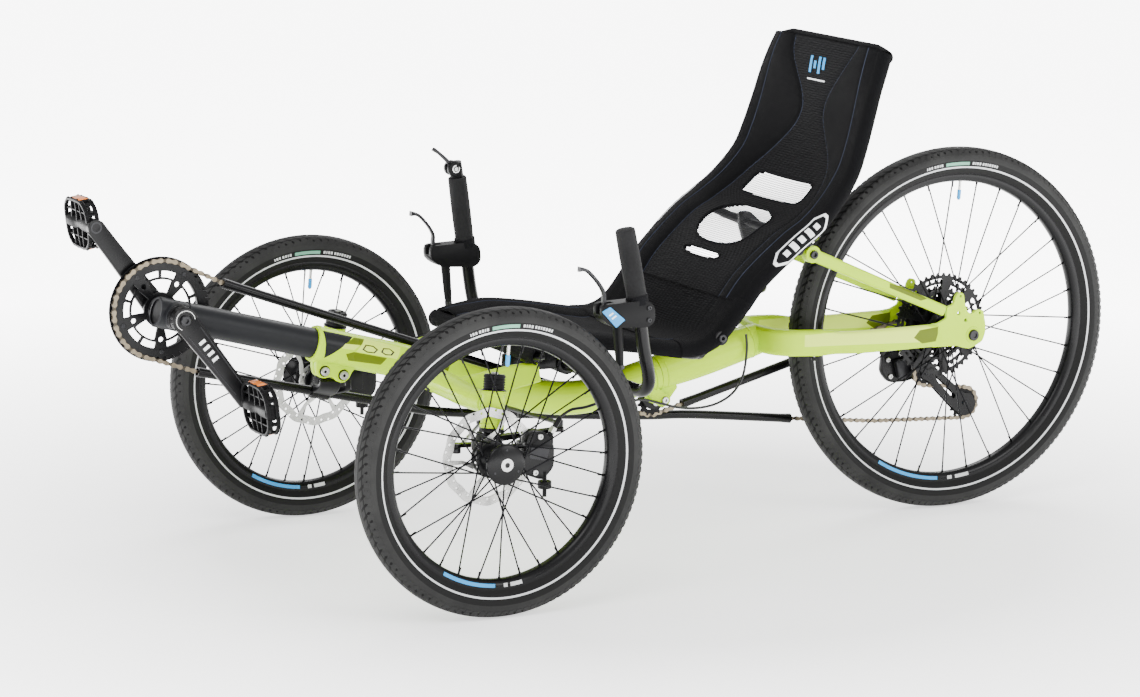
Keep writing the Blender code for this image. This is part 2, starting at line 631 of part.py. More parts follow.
def make_caliper(name, sign):
    """Disc brake caliper with its slot over the rotor and a pad adjuster below."""
    outline = rounded_outline([(0.0605, 0.218), (0.092, 0.206), (0.112, 0.226), (0.112, 0.262),
                               (0.096, 0.286),
                               (0.070, 0.288), (0.0605, 0.270)], 0.008)
    body = plate(name, outline, sign * 0.3265, sign * 0.3525, BLACK_METAL)
    unite(body, [block("bridge", (min(sign * 0.318, sign * 0.330), 0.0605, 0.232),
                       (max(sign * 0.318, sign * 0.330), 0.082, 0.268), BLACK_METAL),
                 rod("barrel", shift(sign * 0.328, 0.112, 0.268), shift(sign * 0.328, 0.134, 0.300), 0.0045,
                     BLACK_METAL, 10),
                 block("cable_arm", (min(sign * 0.3235, sign * 0.3335), 0.095, 0.256),
                       (max(sign * 0.3235, sign * 0.3335), 0.120, 0.274), BLACK_METAL),
                 rod("knob", shift(sign * 0.3515, 0.0960, 0.1930), shift(sign * 0.3515, 0.0960, 0.2050),
                     0.0110,
                     BLACK_METAL, 16),
                 rod("stud", shift(sign * 0.3515, 0.0960, 0.1790), shift(sign * 0.3515, 0.0960, 0.2200),
                     0.0035,
                     BLACK_METAL, 10)])
    slot = turned("slot",
                  [(-0.0018, 0.055), (0.0018, 0.055), (0.0018, ROTOR_R + 0.0015),
                   (-0.0018, ROTOR_R + 0.0015)],
                  shift(sign * ROTOR_X, 0, FRONT_WHEEL_R), BLACK_METAL, 40)
    return cut(body, [slot])


def tyre_profile(bead_r, outer_r):
    tall = outer_r - bead_r
    half = [(0.0125, bead_r + GAP), (TYRE_HALF_W, bead_r + 0.54 * tall), (0.0190, bead_r + 0.86 * tall),
            (0.0090, outer_r)]
    return half + [(-a, r) for a, r in reversed(half)]


def rim_profile(bead_r):
    half = [(0.0095, bead_r - 0.0060), (0.0108, bead_r), (0.0132, bead_r), (0.0070, bead_r - 0.0130)]
    return [(-a, r) for a, r in half] + list(reversed(half))


def make_tyre_and_rim(suffix, centre, bead_r, outer_r, segments):
    """The tyre's facets stand on the ground with one flat down."""
    stretch = 1.0 / math.cos(math.pi / segments)
    half_turn = math.pi / segments
    tread = [(a, r * stretch if r == outer_r else r) for a, r in tyre_profile(bead_r, outer_r)]
    turned("tyre_" + suffix, tread, centre, RUBBER, segments, phase=half_turn)
    turned("rim_" + suffix, rim_profile(bead_r), centre, BLACK_METAL, segments, phase=half_turn)


def make_spoked_hub(name, centre, profile, flanges, rim_r, outward):
    """A turned hub with crossed spokes; flanges are (offset, radius) for the two sides."""
    hub = turned(name, profile, centre, BLACK_METAL, 16)
    spokes = []
    for k in range(SPOKES):
        offset, flange_r = flanges[k % 2]
        angle = 2.0 * math.pi * k / SPOKES
        lean = math.radians(55.0) * (1 if (k // 2) % 2 else -1)
        foot_r = flange_r - 0.004
        inset = offset + math.copysign(SPOKE_CROSSING, lean)
        foot = centre + Vector((outward * inset, foot_r * math.sin(angle + lean),
                                foot_r * math.cos(angle + lean)))
        tip = centre + Vector((0.0, rim_r * math.sin(angle), rim_r * math.cos(angle)))
        spokes.append(sweep("spoke", [foot, tip], round_profile(SPOKE_R, 3), BLACK_METAL))
    return unite(hub, spokes)


def make_front_wheel(suffix, sign):
    centre = shift(sign * TRACK / 2, 0.0, FRONT_WHEEL_R)
    make_tyre_and_rim(suffix, centre, FRONT_BEAD_R, FRONT_WHEEL_R, FRONT_SEGMENTS)
    profile = [(-0.0475, 0.0088), (-0.0475, 0.0195), (-0.0290, 0.0195), (-0.0285, 0.0300),
               (-0.0250, 0.0300),
               (-0.0230, 0.0210), (0.0060, 0.0210), (0.0140, 0.0390), (0.0180, 0.0390), (0.0225, 0.0300),
               (0.0240, 0.0088)]
    profile = [(sign * a, r) for a, r in profile]
    make_spoked_hub("hub_" + suffix, centre, profile, ((-0.0268, 0.0300), (0.0160, 0.0390)),
                    FRONT_BEAD_R - 0.0145, sign)
    make_rotor("rotor_" + suffix, shift(sign * ROTOR_X, 0.0, FRONT_WHEEL_R))


def make_rotor(name, centre):
    """Brake disc: friction ring, six arms and a carrier."""
    rotor = turned(name, [(-0.0010, 0.0655), (0.0010, 0.0655), (0.0010, ROTOR_R), (-0.0010, ROTOR_R)],
                   centre, STEEL, 32)
    parts = [turned("carrier", [(-0.0010, 0.0202), (0.0010, 0.0202), (0.0010, 0.0300), (-0.0010, 0.0300)],
                    centre, STEEL, 16)]
    for k in range(6):
        angle = 2.0 * math.pi * k / 6
        inner = centre + Vector((0, 0.028 * math.sin(angle), 0.028 * math.cos(angle)))
        outer = centre + Vector((0, 0.0675 * math.sin(angle + 0.45), 0.0675 * math.cos(angle + 0.45)))
        parts.append(sweep("arm", [inner, outer], box_profile(0.0009, 0.0035), STEEL))
    return unite(rotor, parts)


def bar_points(longer=0.0):
    half = [(0.309, 0.2570, 0.5940), (0.318, 0.278, 0.476), (0.3194, 0.290, 0.400), (0.3190, 0.299, 0.362),
            (0.3120, 0.3035, 0.340), (0.2950, 0.305, 0.3265), (0.270, BAR_Y, BAR_Z)]
    left = [shift(*p) for p in half]
    left[0] = left[0] + (left[0] - left[1]).normalized() * longer
    right = [Vector((-p.x, p.y, p.z)) for p in reversed(left)]
    return left + right


def make_handlebar():
    sweep("handlebar_tube", bar_points(), round_profile(BAR_R, 12), BLACK_METAL, across=Vector((0, 1, 0)))


def bar_cutter(extra):
    return sweep("bar_way", bar_points(0.0010), round_profile(BAR_R + extra, 12), PLASTIC,
                 across=Vector((0, 1, 0)))


def make_grip(name, sign):
    top = shift(*side((0.3086, 0.2560, 0.5990), sign))
    bottom = shift(*side((0.3172, 0.2760, 0.4870), sign))
    grip = rod(name, bottom, top, 0.0165, FOAM, 16)
    return cut(grip, [bar_cutter(GAP)])


def make_brake_mount(name, sign):
    """Clamp on the bar that carries the brake lever, with the cable barrel below."""
    outline = rounded_outline([(0.2045, 0.4560), (0.2250, 0.4420), (0.2900, 0.4380), (0.3020, 0.4480),
                               (0.3000, 0.4740), (0.2850, 0.4830), (0.2045, 0.4800)], 0.008)
    mount = plate(name, outline, sign * 0.3020, sign * 0.3350, PLASTIC)
    barrel = turned("barrel", [(0.0, 0.0052), (0.020, 0.0070), (0.078, 0.0085)],
                    shift(sign * 0.3190, 0.2475, 0.3700),
                    PLASTIC, 12, ring=False, axis=Vector((0.0, -0.10, 1.0)))
    unite(mount, [barrel])
    notch = block("notch", (min(sign * 0.3115, sign * 0.3255), 0.1900, 0.4630),
                  (max(sign * 0.3115, sign * 0.3255), 0.2300, 0.5000), PLASTIC)
    return cut(mount, [notch, bar_cutter(GAP)])


LEVER_PIVOT = (0.3185, 0.2160, 0.4720)


def make_brake_lever(name, sign):
    route = [(0.3185, 0.2160, 0.4720), (0.3185, 0.2150, 0.4860), (0.3175, 0.2140, 0.4990),
             (0.3165, 0.2040, 0.5150),
             (0.3160, 0.1880, 0.5320), (0.3160, 0.1780, 0.5370), (0.3160, 0.1700, 0.5380)]
    widths = [(0.0045, 0.0035), (0.0045, 0.0035), (0.0045, 0.0032), (0.0045, 0.0030), (0.0045, 0.0028),
              (0.0045, 0.0030), (0.0050, 0.0035)]
    lever = sweep(name, [shift(*side(p, sign)) for p in route],
                  [box_profile(w, h, 0.0012) for w, h in widths], BLACK_METAL)
    pivot = [shift(sign * x, *LEVER_PIVOT[1:]) for x in (0.3122, 0.3248)]
    return unite(lever, [rod("barrel", pivot[0], pivot[1], 0.0060, BLACK_METAL, 12)])


SHIFTER_PIVOT = (-0.309, 0.2480, 0.6150)


def make_shifter():
    body = rod("shifter_body", shift(-0.3084, 0.2556, 0.6000), shift(-0.3070, 0.2500, 0.6260), 0.0120,
               PLASTIC, 16)
    drum = rod("drum", shift(-0.3190, *SHIFTER_PIVOT[1:]), shift(-0.2990, *SHIFTER_PIVOT[1:]), 0.0135,
               PLASTIC, 16)
    unite(body, [drum])
    slot = turned("slot", [(-0.0040, 0.0062), (0.0040, 0.0062), (0.0040, 0.030), (-0.0040, 0.030)],
                  shift(*SHIFTER_PIVOT), PLASTIC, 16)
    keep = block("keep", (-0.33, 0.2545, 0.58), (-0.28, 0.30, 0.66), PLASTIC)
    cut(slot, [keep, block("keep_low", (-0.33, 0.20, 0.55), (-0.28, 0.2550, 0.6040), PLASTIC)])
    track = turned("track", [(-0.0040, 0.0062), (0.0040, 0.0062), (0.0040, 0.0116), (-0.0040, 0.0116)],
                   shift(*SHIFTER_PIVOT), PLASTIC, 16)
    cut(body, [slot, track])
    route = [(-0.309, 0.2425, 0.6215), (-0.309, 0.2340, 0.6310), (-0.309, 0.2200, 0.6430),
             (-0.309, 0.2090, 0.6505)]
    lever = sweep("shifter_lever", [shift(*p) for p in route],
                  [box_profile(0.0035, 0.0035), box_profile(0.0035, 0.0030), box_profile(0.0035, 0.0026),
                   box_profile(0.0045, 0.0034)], BLACK_METAL)
    ring = turned("ring", [(-0.0035, 0.0066), (0.0035, 0.0066), (0.0035, 0.0110), (-0.0035, 0.0110)],
                  shift(*SHIFTER_PIVOT), BLACK_METAL, 16)
    unite(lever, [ring])


def make_stem():
    """Handlebar clamp, its pivot shaft through the frame and the pitman arm below."""
    stem = block("steering_stem", (-0.018, 0.205, 0.3140), (0.018, 0.300, 0.3320), BLACK_METAL)
    parts = [rod("clamp", shift(-0.026, BAR_Y, BAR_Z), shift(0.026, BAR_Y, BAR_Z), 0.0185, BLACK_METAL, 16),
             rod("head", shift(0, STEER_Y, 0.3135), shift(0, STEER_Y, 0.3400), 0.0200, BLACK_METAL, 16),
             rod("shaft", shift(0, STEER_Y, 0.2320), shift(0, STEER_Y, 0.3200), 0.0100, BLACK_METAL, 16),
             block("pitman", (-0.008, STEER_Y - PITMAN_LENGTH, 0.2345), (0.008, STEER_Y, 0.2400),
                   BLACK_METAL),
             rod("tip", shift(0, STEER_Y - PITMAN_LENGTH, 0.2345),
                 shift(0, STEER_Y - PITMAN_LENGTH, 0.2400),
                 0.0085, BLACK_METAL, 12)]
    unite(stem, parts)
    return cut(stem, [bar_cutter(GAP)])


def make_rods():
    """Track rod between the knuckles and drag link from the pitman arm to the left knuckle."""
    x_end, y_end, z_end = ARM_END
    high = z_end + 0.0095
    route = [(x_end, y_end, high), (0.295, y_end, high), (0.120, y_end, 0.2785), (0.060, y_end, 0.2560),
             (-0.060, y_end, 0.2560), (-0.120, y_end, 0.2785), (-0.295, y_end, high), (-x_end, y_end, high)]
    track = sweep("track_rod", [shift(*p) for p in route], round_profile(0.0038, 8), STEEL,
                  across=Vector((0, 1, 0)))
    eyes = [rod("eye", shift(s * x_end, y_end, z_end + 0.0045), shift(s * x_end, y_end, z_end + 0.0145),
                0.0085,
                BLACK_METAL, 12) for s in (1, -1)]
    unite(track, eyes)
    low = (0.0, STEER_Y - PITMAN_LENGTH, 0.2290)
    route = [low, (0.030, 0.136, 0.2300), (0.285, -0.025, 0.2560), (LINK_END[0], LINK_END[1], 0.2590)]
    link = sweep("drag_link", [shift(*p) for p in route], round_profile(0.0032, 8), STEEL)
    ends = [rod("eye", shift(low[0], low[1], 0.2255), shift(low[0], low[1], 0.2330), 0.0075, BLACK_METAL,
                12),
            rod("eye", shift(*LINK_END[:2], 0.2555), shift(*LINK_END[:2], 0.2635), 0.0075, BLACK_METAL, 12)]
    unite(link, ends)


# ---------------------------------------------------------------- rear frame and drive
def make_rear_frame():
    path = [shift(0, 0.4897, 0.2880), shift(0, 0.550, 0.3005), shift(0, 0.620, 0.3170),
            shift(0, 0.690, 0.3340)]
    halves = [(0.0290, 0.0290), (0.0285, 0.0305), (0.0280, 0.0330), (0.0270, 0.0290)]
    profiles = [[(u * a / 0.03, v * b / 0.03) for u, v in round_profile(0.03, 12)] for a, b in halves]
    frame = sweep("rear_frame", path, profiles, PAINT)
    parts = [sweep("yoke", [shift(-0.082, 0.690, 0.3370), shift(0.082, 0.690, 0.3370)],
                   box_profile(0.0225, 0.020, 0.006), PAINT, across=Vector((0, 0, 1)))]
    dropout = [(1.000, 0.310), (1.056, 0.3090), (1.064, 0.3055), (1.080, 0.3020), (1.094, 0.3070),
               (1.108, 0.3140),
               (1.114, 0.3300), (1.113, 0.3480), (1.110, 0.3580), (1.108, 0.3700), (1.094, 0.3720), (1.083,
                                                                                                     0.3640),
               (1.074, 0.3700), (1.068, 0.3850), (1.065, 0.4030), (1.054, 0.4060), (1.048, 0.3990), (1.044,
                                                                                                     0.3840),
               (1.030, 0.3800), (1.0305, 0.3600), (1.012, 0.3520), (1.000, 0.3520)]
    hanger = rounded_outline([(1.080, 0.310), (1.094, 0.2870), (1.106, 0.2870), (1.113, 0.310),
                              (1.100, 0.325)], 0.005)
    for sign in (1, -1):
        stay = [(0.0790, 0.676, 0.3395), (0.0790, 0.720, 0.3365), (0.0790, 0.860, 0.3300),
                (0.0790, 1.010, 0.3310)]
        heights = [0.0200, 0.0240, 0.0210, 0.0210]
        parts.append(sweep("stay", [shift(*side(p, sign)) for p in stay],
                           [box_profile(STAY_HALF_W, h, 0.004) for h in heights], PAINT))
        parts.append(plate("dropout", rounded_outline(dropout, 0.003, 1), sign * 0.0755, sign * 0.0825,
                           PAINT))
    parts.append(plate("hanger", hanger, -0.0800, -0.0755, PAINT))
    tab = [(0.4995, 0.2315), (0.5085, 0.2350), (0.530, 0.2620), (0.520, 0.2760), (0.502, 0.2700),
           (0.4910, 0.2500),
           (0.4895, 0.2400)]
    parts.append(plate("tab", tab, -0.0098, 0.0098, PAINT))
    unite(frame, parts)
    cutters = [rod("pin_way", shift(-0.02, FOLD_Y, FOLD_Z), shift(0.02, FOLD_Y, FOLD_Z), 0.0050, PAINT, 12),
               rod("axle_way", shift(-0.10, WHEELBASE, REAR_WHEEL_R), shift(0.10, WHEELBASE, REAR_WHEEL_R),
                   AXLE_R + GAP, PAINT, 16),
               rod("hanger_hole", shift(-0.10, 1.100, 0.2960), shift(-0.06, 1.100, 0.2960),
                   0.0045, PAINT, 12)]
    for y, z, r in ((1.0557, 0.3677, 0.0035), (1.0711, 0.3541, 0.0035), (1.0586, 0.3981, 0.0024),
                    (1.1005, 0.3655, 0.0024)):
        for x0, x1 in ((0.06, 0.10), (-0.10, -0.06)):
            cutters.append(rod("hole", shift(x0, y, z), shift(x1, y, z), r, PAINT, 10))
    return cut(frame, cutters)


def make_seat_stay(name, sign):
    """Strut from the dropout up to the seat back, with its clamp eye."""
    route = [(0.0850, 0.7560, 0.4880), (0.0790, 1.0245, 0.3742)]
    stay = sweep(name, [shift(*side(p, sign)) for p in route],
                 [box_profile(0.0080, 0.0110, 0.003), box_profile(0.0065, 0.0095, 0.003)], PAINT)
    eye = rod("eye", shift(sign * 0.0770, 0.7450, 0.4930), shift(sign * 0.0930, 0.7450, 0.4930), 0.0150,
              PAINT, 16)
    return unite(stay, [eye])


def make_rear_axle():
    axle = rod("rear_axle", shift(-0.0855, WHEELBASE, REAR_WHEEL_R), shift(0.0865, WHEELBASE, REAR_WHEEL_R),
               AXLE_R, BLACK_METAL, 16)
    heads = [rod("head", shift(0.0828, WHEELBASE, REAR_WHEEL_R), shift(0.0890, WHEELBASE, REAR_WHEEL_R),
                 0.0095, BLACK_METAL, 16),
             rod("nut", shift(-0.0890, WHEELBASE, REAR_WHEEL_R), shift(-0.0828, WHEELBASE, REAR_WHEEL_R),
                 0.0095, BLACK_METAL, 16)]
    return unite(axle, heads)


def make_rear_wheel():
    centre = shift(0.0, WHEELBASE, REAR_WHEEL_R)
    make_tyre_and_rim("rear", centre, REAR_BEAD_R, REAR_WHEEL_R, REAR_SEGMENTS)
    bore = AXLE_R + 0.0005
    profile = [(-0.0752, bore), (-0.0752, 0.0120), (-0.0665, 0.0120), (-0.0665, 0.0135), (-0.0250, 0.0135),
               (-0.0235, 0.0250), (-0.0205, 0.0270), (-0.0180, 0.0270), (-0.0150, 0.0170), (0.0300, 0.0160),
               (0.0330, 0.0260), (0.0360, 0.0260), (0.0390, 0.0150), (0.0752, 0.0125), (0.0752, bore)]
    make_spoked_hub("hub_rear", centre, profile, ((-0.0192, 0.0270), (0.0345, 0.0260)),
                    REAR_BEAD_R - 0.0148, 1)


COGS = [(-0.0285, 0.0965), (-0.0330, 0.0830), (-0.0380, 0.0700), (-0.0430, 0.0580), (-0.0480, 0.0470),
        (-0.0530, 0.0370), (-0.0581, 0.0270)]


def make_cassette():
    """Stepped cluster of cogs on the freehub, largest towards the wheel."""
    bore = 0.0140
    profile = [(-0.0265, bore), (-0.0265, COGS[0][1])]
    for k, (x, radius) in enumerate(COGS):
        profile.append((x, radius))
        if k + 1 < len(COGS):
            profile.append((x, COGS[k + 1][1]))
    last = COG_PITCH_R - CHAIN_HALF_H - CHAIN_CLEARANCE
    profile += [(-0.0581, last), (-0.0660, last), (-0.0660, bore)]
    turned("cassette", profile, shift(0.0, WHEELBASE, REAR_WHEEL_R), BLACK_METAL, 24)


GUIDE_X = COG_X
CAGE_INNER_X = GUIDE_X + 0.0050
CAGE_OUTER_X = GUIDE_X - 0.0050
CAGE_PLATE = 0.0014
SWING_Z = 0.2830              # derailleur's swing axis, parallel to Y


def make_derailleur():
    """Mount bolted to the hanger, and the body that swings inboard from it."""
    mount = rod("derailleur_mount", shift(-0.1000, 1.100, 0.2960), shift(-0.0828, 1.100, 0.2960), 0.0125,
                BLACK_METAL, 16)
    unite(mount,
          [rod("bolt", shift(-0.0900, 1.100, 0.2960), shift(-0.0745, 1.100, 0.2960), 0.0041, BLACK_METAL,
               12),
                  rod("pivot", shift(-0.0915, 1.0640, SWING_Z), shift(-0.0915, 1.1060, SWING_Z), 0.0045,
                      BLACK_METAL, 12)])
    body = [shift(-0.0915, 1.0700, 0.2790), shift(-0.0900, 1.0700, 0.2560), shift(-0.0850, 1.0780, 0.2360)]
    block_body = sweep("derailleur_body", body,
                       [box_profile(0.0100, 0.0130, 0.003), box_profile(0.0110, 0.0170, 0.004),
                                                 box_profile(0.0100, 0.0160, 0.004)], BLACK_METAL)
    sleeve = rod("sleeve", shift(-0.0915, 1.0560, SWING_Z), shift(-0.0915, 1.0845, SWING_Z), 0.0090,
                 BLACK_METAL, 16)
    knuckle = rod("knuckle", shift(-0.0950, *JOCKEY_UPPER),
                  shift(CAGE_OUTER_X - CAGE_PLATE - GAP, *JOCKEY_UPPER),
                  0.0150, BLACK_METAL, 16)
    unite(block_body, [sleeve, knuckle])
    cut(block_body,
        [rod("bearing", shift(-0.0915, 1.0620, SWING_Z), shift(-0.0915, 1.1000, SWING_Z), 0.0049,
                         BLACK_METAL, 12),
                     rod("cage_bearing", shift(-0.0885, *JOCKEY_UPPER), shift(-0.0500, *JOCKEY_UPPER),
                         0.0045,
                         BLACK_METAL, 12)])


def make_cage():
    """Two plates with a toothed jockey wheel between them at each end."""
    outline = rounded_outline([(1.0720, 0.2230), (1.0850, 0.2190), (1.1500, 0.1560), (1.1680, 0.1460),
                               (1.1880, 0.1530), (1.1930, 0.1720), (1.1800, 0.1890), (1.1650, 0.1900),
                               (1.1050, 0.2400), (1.0900, 0.2500), (1.0740, 0.2470)], 0.006, 2)
    cage = plate("derailleur_cage", outline, CAGE_OUTER_X - CAGE_PLATE, CAGE_OUTER_X, BLACK_METAL)
    inner = plate("inner", outline, CAGE_INNER_X, CAGE_INNER_X + CAGE_PLATE, BLACK_METAL)
    pins = [rod("pin", shift(CAGE_OUTER_X - CAGE_PLATE / 2, *centre),
                shift(CAGE_INNER_X + CAGE_PLATE / 2, *centre),
                0.0035, BLACK_METAL, 10) for centre in (JOCKEY_UPPER, JOCKEY_LOWER)]
    shaft = rod("shaft", shift(-0.0880, *JOCKEY_UPPER), shift(CAGE_OUTER_X - CAGE_PLATE / 2, *JOCKEY_UPPER),
                0.0041,
                BLACK_METAL, 12)
    unite(cage, [inner, shaft] + pins)
    for name, centre, pitch_r, sides in (("jockey_upper", JOCKEY_UPPER, UPPER_PITCH_R, 14),
                                         ("jockey_lower", JOCKEY_LOWER, LOWER_PITCH_R, 14)):
        root = pitch_r - CHAIN_HALF_H - CHAIN_CLEARANCE
        profile = [(-0.0040, 0.0040), (0.0040, 0.0040), (0.0040, 0.0100), (0.0018, 0.0110), (0.0018, root),
                   (-0.0018, root), (-0.0018, 0.0110), (-0.0040, 0.0100)]
        turned(name, profile, shift(GUIDE_X, *centre), PLASTIC, sides)


def chain_route():
    """Corners of the chain's loop as (x, y, z), in the order it travels."""
    ring = (BB_Y, BB_Z)
    cog = (WHEELBASE, REAR_WHEEL_R)
    back = RETURN_ROUTE[-1]
    front = RETURN_ROUTE[0]
    to_guide = tangent_points(cog, COG_PITCH_R, 1, JOCKEY_UPPER, UPPER_PITCH_R, -1)
    to_lower = tangent_points(JOCKEY_UPPER, UPPER_PITCH_R, -1, JOCKEY_LOWER, LOWER_PITCH_R, 1)
    to_tube = tangent_points(JOCKEY_LOWER, LOWER_PITCH_R, 1, back[1:], 0.0, 1)
    to_ring = tangent_points(front[1:], 0.0, 1, ring, RING_PITCH_R, 1)
    route = [(RING_X, *p) for p in arc(ring, RING_PITCH_R, to_ring[1], POWER_LEAD[0], -1, 16)]
    route += [(drift(y, -0.30, 0.48, RING_X, IDLER_X), y, along(POWER_FRONT, y))
              for y in (POWER_MOUTH[0], -0.10, 0.10, 0.28, 0.440)]
    route += [(IDLER_X, *p) for p in arc(IDLER, IDLER_PITCH_R, POWER_FRONT[1], POWER_REAR[0], 1, 3)]
    route += [(drift(y, 0.52, 1.06, IDLER_X, COG_X), y, along(POWER_REAR, y))
              for y in (0.570, 0.690, 0.810, 0.920)]
    route += [(COG_X, *p) for p in arc(cog, COG_PITCH_R, POWER_REAR[1], to_guide[0], -1, 9)]
    route += [(GUIDE_X, *p) for p in arc(JOCKEY_UPPER, UPPER_PITCH_R, to_guide[1], to_lower[0], 1, 8)]
    route += [(GUIDE_X, *p) for p in arc(JOCKEY_LOWER, LOWER_PITCH_R, to_lower[1], to_tube[0], -1, 10)]
    tube = return_path()
    tail = [(p.x, p.y - FRONT_AXLE_Y, p.z) for p in reversed(tube)]
    return route + tail


def make_chain():
    sweep("chain", [shift(*p) for p in chain_route()], box_profile(CHAIN_HALF_W, CHAIN_HALF_H), CHAIN,
          closed=True)


# ---------------------------------------------------------------- seat
BASE_SIDE = [(0.187, 0.185, 0.3790), (0.190, 0.215, 0.3855), (0.190, 0.255, 0.3890), (0.190, 0.328, 0.3800),
             (0.190, 0.407, 0.3660), (0.190, 0.447, 0.3590)]
BACK_SIDE = [(0.1965, 0.506, 0.3870), (0.1965, 0.520, 0.4000), (0.1970, 0.545, 0.4330),
             (0.2000, 0.577, 0.4740),
             (0.2060, 0.640, 0.5300), (0.2070, 0.679, 0.5600), (0.1980, 0.716, 0.5970), (0.1880, 0.748,
                                                                                         0.6420),
             (0.1830, 0.765, 0.6850), (0.1740, 0.781, 0.7350),
             (0.1660, 0.796, 0.7850), (0.1580, 0.812, 0.8220)]
FABRIC_THICK = 0.003
FABRIC_STAND_OFF = 0.0012


def make_seat_base_frame():
    right_half = [(0.0, 0.162, 0.3720), (0.120, 0.163, 0.3720), (0.172, 0.169, 0.3740)] + BASE_SIDE
    right_half += [(0.182, 0.466, 0.3560), (0.165, 0.474, 0.3550), (0.0, 0.474, 0.3550)]
    loop = right_half + [(-x, y, z) for x, y, z in reversed(right_half[1:-1])]
    frame = sweep("seat_base_frame", [shift(*p) for p in loop], round_profile(SEAT_TUBE_R, 8), BLACK_METAL,
                  closed=True, across=Vector((0, 0, 1)))
    lug = [(0.435, 0.3530), (0.470, 0.3465), (0.484, 0.3530), (0.505, 0.3710), (0.5135, 0.3800),
           (0.5100, 0.3925),
           (0.4980, 0.3950), (0.4860, 0.3860), (0.4550, 0.3680), (0.4380, 0.3700)]
    parts = []
    for sign in (1, -1):
        parts.append(plate("lug", lug, sign * 0.1800, sign * 0.1865, BLACK_METAL))
        parts.append(rod("pin", shift(sign * 0.1830, *SEAT_HINGE), shift(sign * 0.2060, *SEAT_HINGE),
                         0.0050,
                         BLACK_METAL, 12))
        parts.append(block("foot", (min(sign * 0.1470, sign * 0.1690), 0.1520, 0.3605),
                           (max(sign * 0.1470, sign * 0.1690), 0.1840, 0.3740), BLACK_METAL))
    return unite(frame, parts)


def make_seat_back_frame():
    arch = BACK_SIDE + [(0.1450, 0.8220, 0.8420), (0.1150, 0.8260, 0.8500), (0.0, 0.8280, 0.8530)]
    points = [shift(*p) for p in arch] + [shift(-x, y, z) for x, y, z in reversed(arch[:-1])]
    frame = sweep("seat_back_frame", points, round_profile(0.0090, 6), BLACK_METAL,
                  across=Vector((0, 1, 0)))
    brace = [(0.2000, 0.577, 0.4740), (0.1500, 0.603, 0.4520), (0.0, 0.610, 0.4460),
             (-0.1500, 0.603, 0.4520),
             (-0.2000, 0.577, 0.4740)]
    upper = [(0.2070, 0.679, 0.5600), (0.1500, 0.704, 0.5340), (0.0, 0.712, 0.5260),
             (-0.1500, 0.704, 0.5340),
             (-0.2070, 0.679, 0.5600)]
    parts = [sweep("brace", [shift(*p) for p in row], round_profile(0.0080, 6), BLACK_METAL,
                   across=Vector((0, 1, 0)))
             for row in (brace, upper)]
    saddle = rounded_outline([(0.7000, 0.5450), (0.7180, 0.5450), (0.7420, 0.5240), (0.7440, 0.5100),
                              (0.7280, 0.5040), (0.7230, 0.4930), (0.7090, 0.4930),
                              (0.7000, 0.5200)], 0.005, 2)
    for sign in (1, -1):
        parts.append(plate("saddle", saddle, sign * 0.0770, sign * 0.0930, BLACK_METAL))
        parts.append(rod("eye", shift(sign * 0.1869, *SEAT_HINGE), shift(sign * 0.2060, *SEAT_HINGE),
                         0.0125,
                         BLACK_METAL, 16))
    unite(frame, parts)
    bores = [rod("bore", shift(sign * 0.18, *SEAT_HINGE), shift(sign * 0.22, *SEAT_HINGE), 0.0055,
                 BLACK_METAL, 12)
             for sign in (1, -1)]
    return cut(frame, bores)


def sling_section(half, radius, sag, hem):
    """Outline of a sheet stretched between two side tubes and wrapped round them."""
    inner_r = radius + FABRIC_STAND_OFF
    outer_r = inner_r + FABRIC_THICK

    def skin(reach):
        wrap = [math.radians(a) for a in (-hem, 0.0, 35.0, 65.0, 90.0)]
        edge = [(half + reach * math.cos(a), reach * math.sin(a)) for a in wrap]
        middle = [(half * t, reach - sag * (1.0 - t * t)) for t in (0.80, 0.50, 0.20)]
        right = edge + middle
        return right + [(-u, v) for u, v in reversed(right)]

    return skin(outer_r) + list(reversed(skin(inner_r)))


def make_sling(name, stations, radius, sag, hem):
    """Fabric shell; stations are (half width, y, z, share of the sag)."""
    bm = bmesh.new()
    loops = []
    last = len(stations) - 1
    for i, (half, y, z, share) in enumerate(stations):
        before = stations[max(i - 1, 0)]
        after = stations[min(i + 1, last)]
        run = Vector((0.0, after[1] - before[1], after[2] - before[2])).normalized()
        normal = Vector((1.0, 0.0, 0.0)).cross(run)
        centre = shift(0.0, y, z)
        section = sling_section(half, radius, sag * share, hem)
        loops.append([bm.verts.new(centre + Vector((u, 0, 0)) + normal * v) for u, v in section])
    count = len(loops[0])
    for here, there in zip(loops, loops[1:]):
        for k in range(count):
            bm.faces.new((here[k], here[(k + 1) % count], there[(k + 1) % count], there[k]))
    half_count = count // 2
    for loop, flip in ((loops[0], False), (loops[-1], True)):
        for k in range(half_count - 1):
            quad = (loop[k], loop[k + 1], loop[count - 2 - k], loop[count - 1 - k])
            bm.faces.new(tuple(reversed(quad)) if flip else quad)
    return finish(name, bm, FABRIC)


def make_seat_covers():
    base = [(0.190, 0.1500, 0.3735, 0.0), (0.190, 0.1700, 0.3765, 0.0), (0.190, 0.1870, 0.3805, 0.1)]
    shares = (0.25, 0.6, 0.9, 1.0, 0.75, 0.35)
    base += [(x, y, z, share) for (x, y, z), share in zip(BASE_SIDE, shares)][1:5]
    base += [(0.190, 0.428, 0.3624, 0.3)]
    make_sling("seat_base_cover", base, SEAT_TUBE_R, 0.022, 35.0)
    back = []
    for i, (x, y, z) in enumerate(BACK_SIDE):
        if i < 2:
            continue
        share = min(1.0, (i - 1) / 3, (len(BACK_SIDE) - 1 - i) / 3)
        back.append((x, y, z, share))
    back.append((0.1500, 0.8240, 0.8520, 0.0))
    make_sling("seat_back_cover", back, 0.0090, 0.026, 40.0)


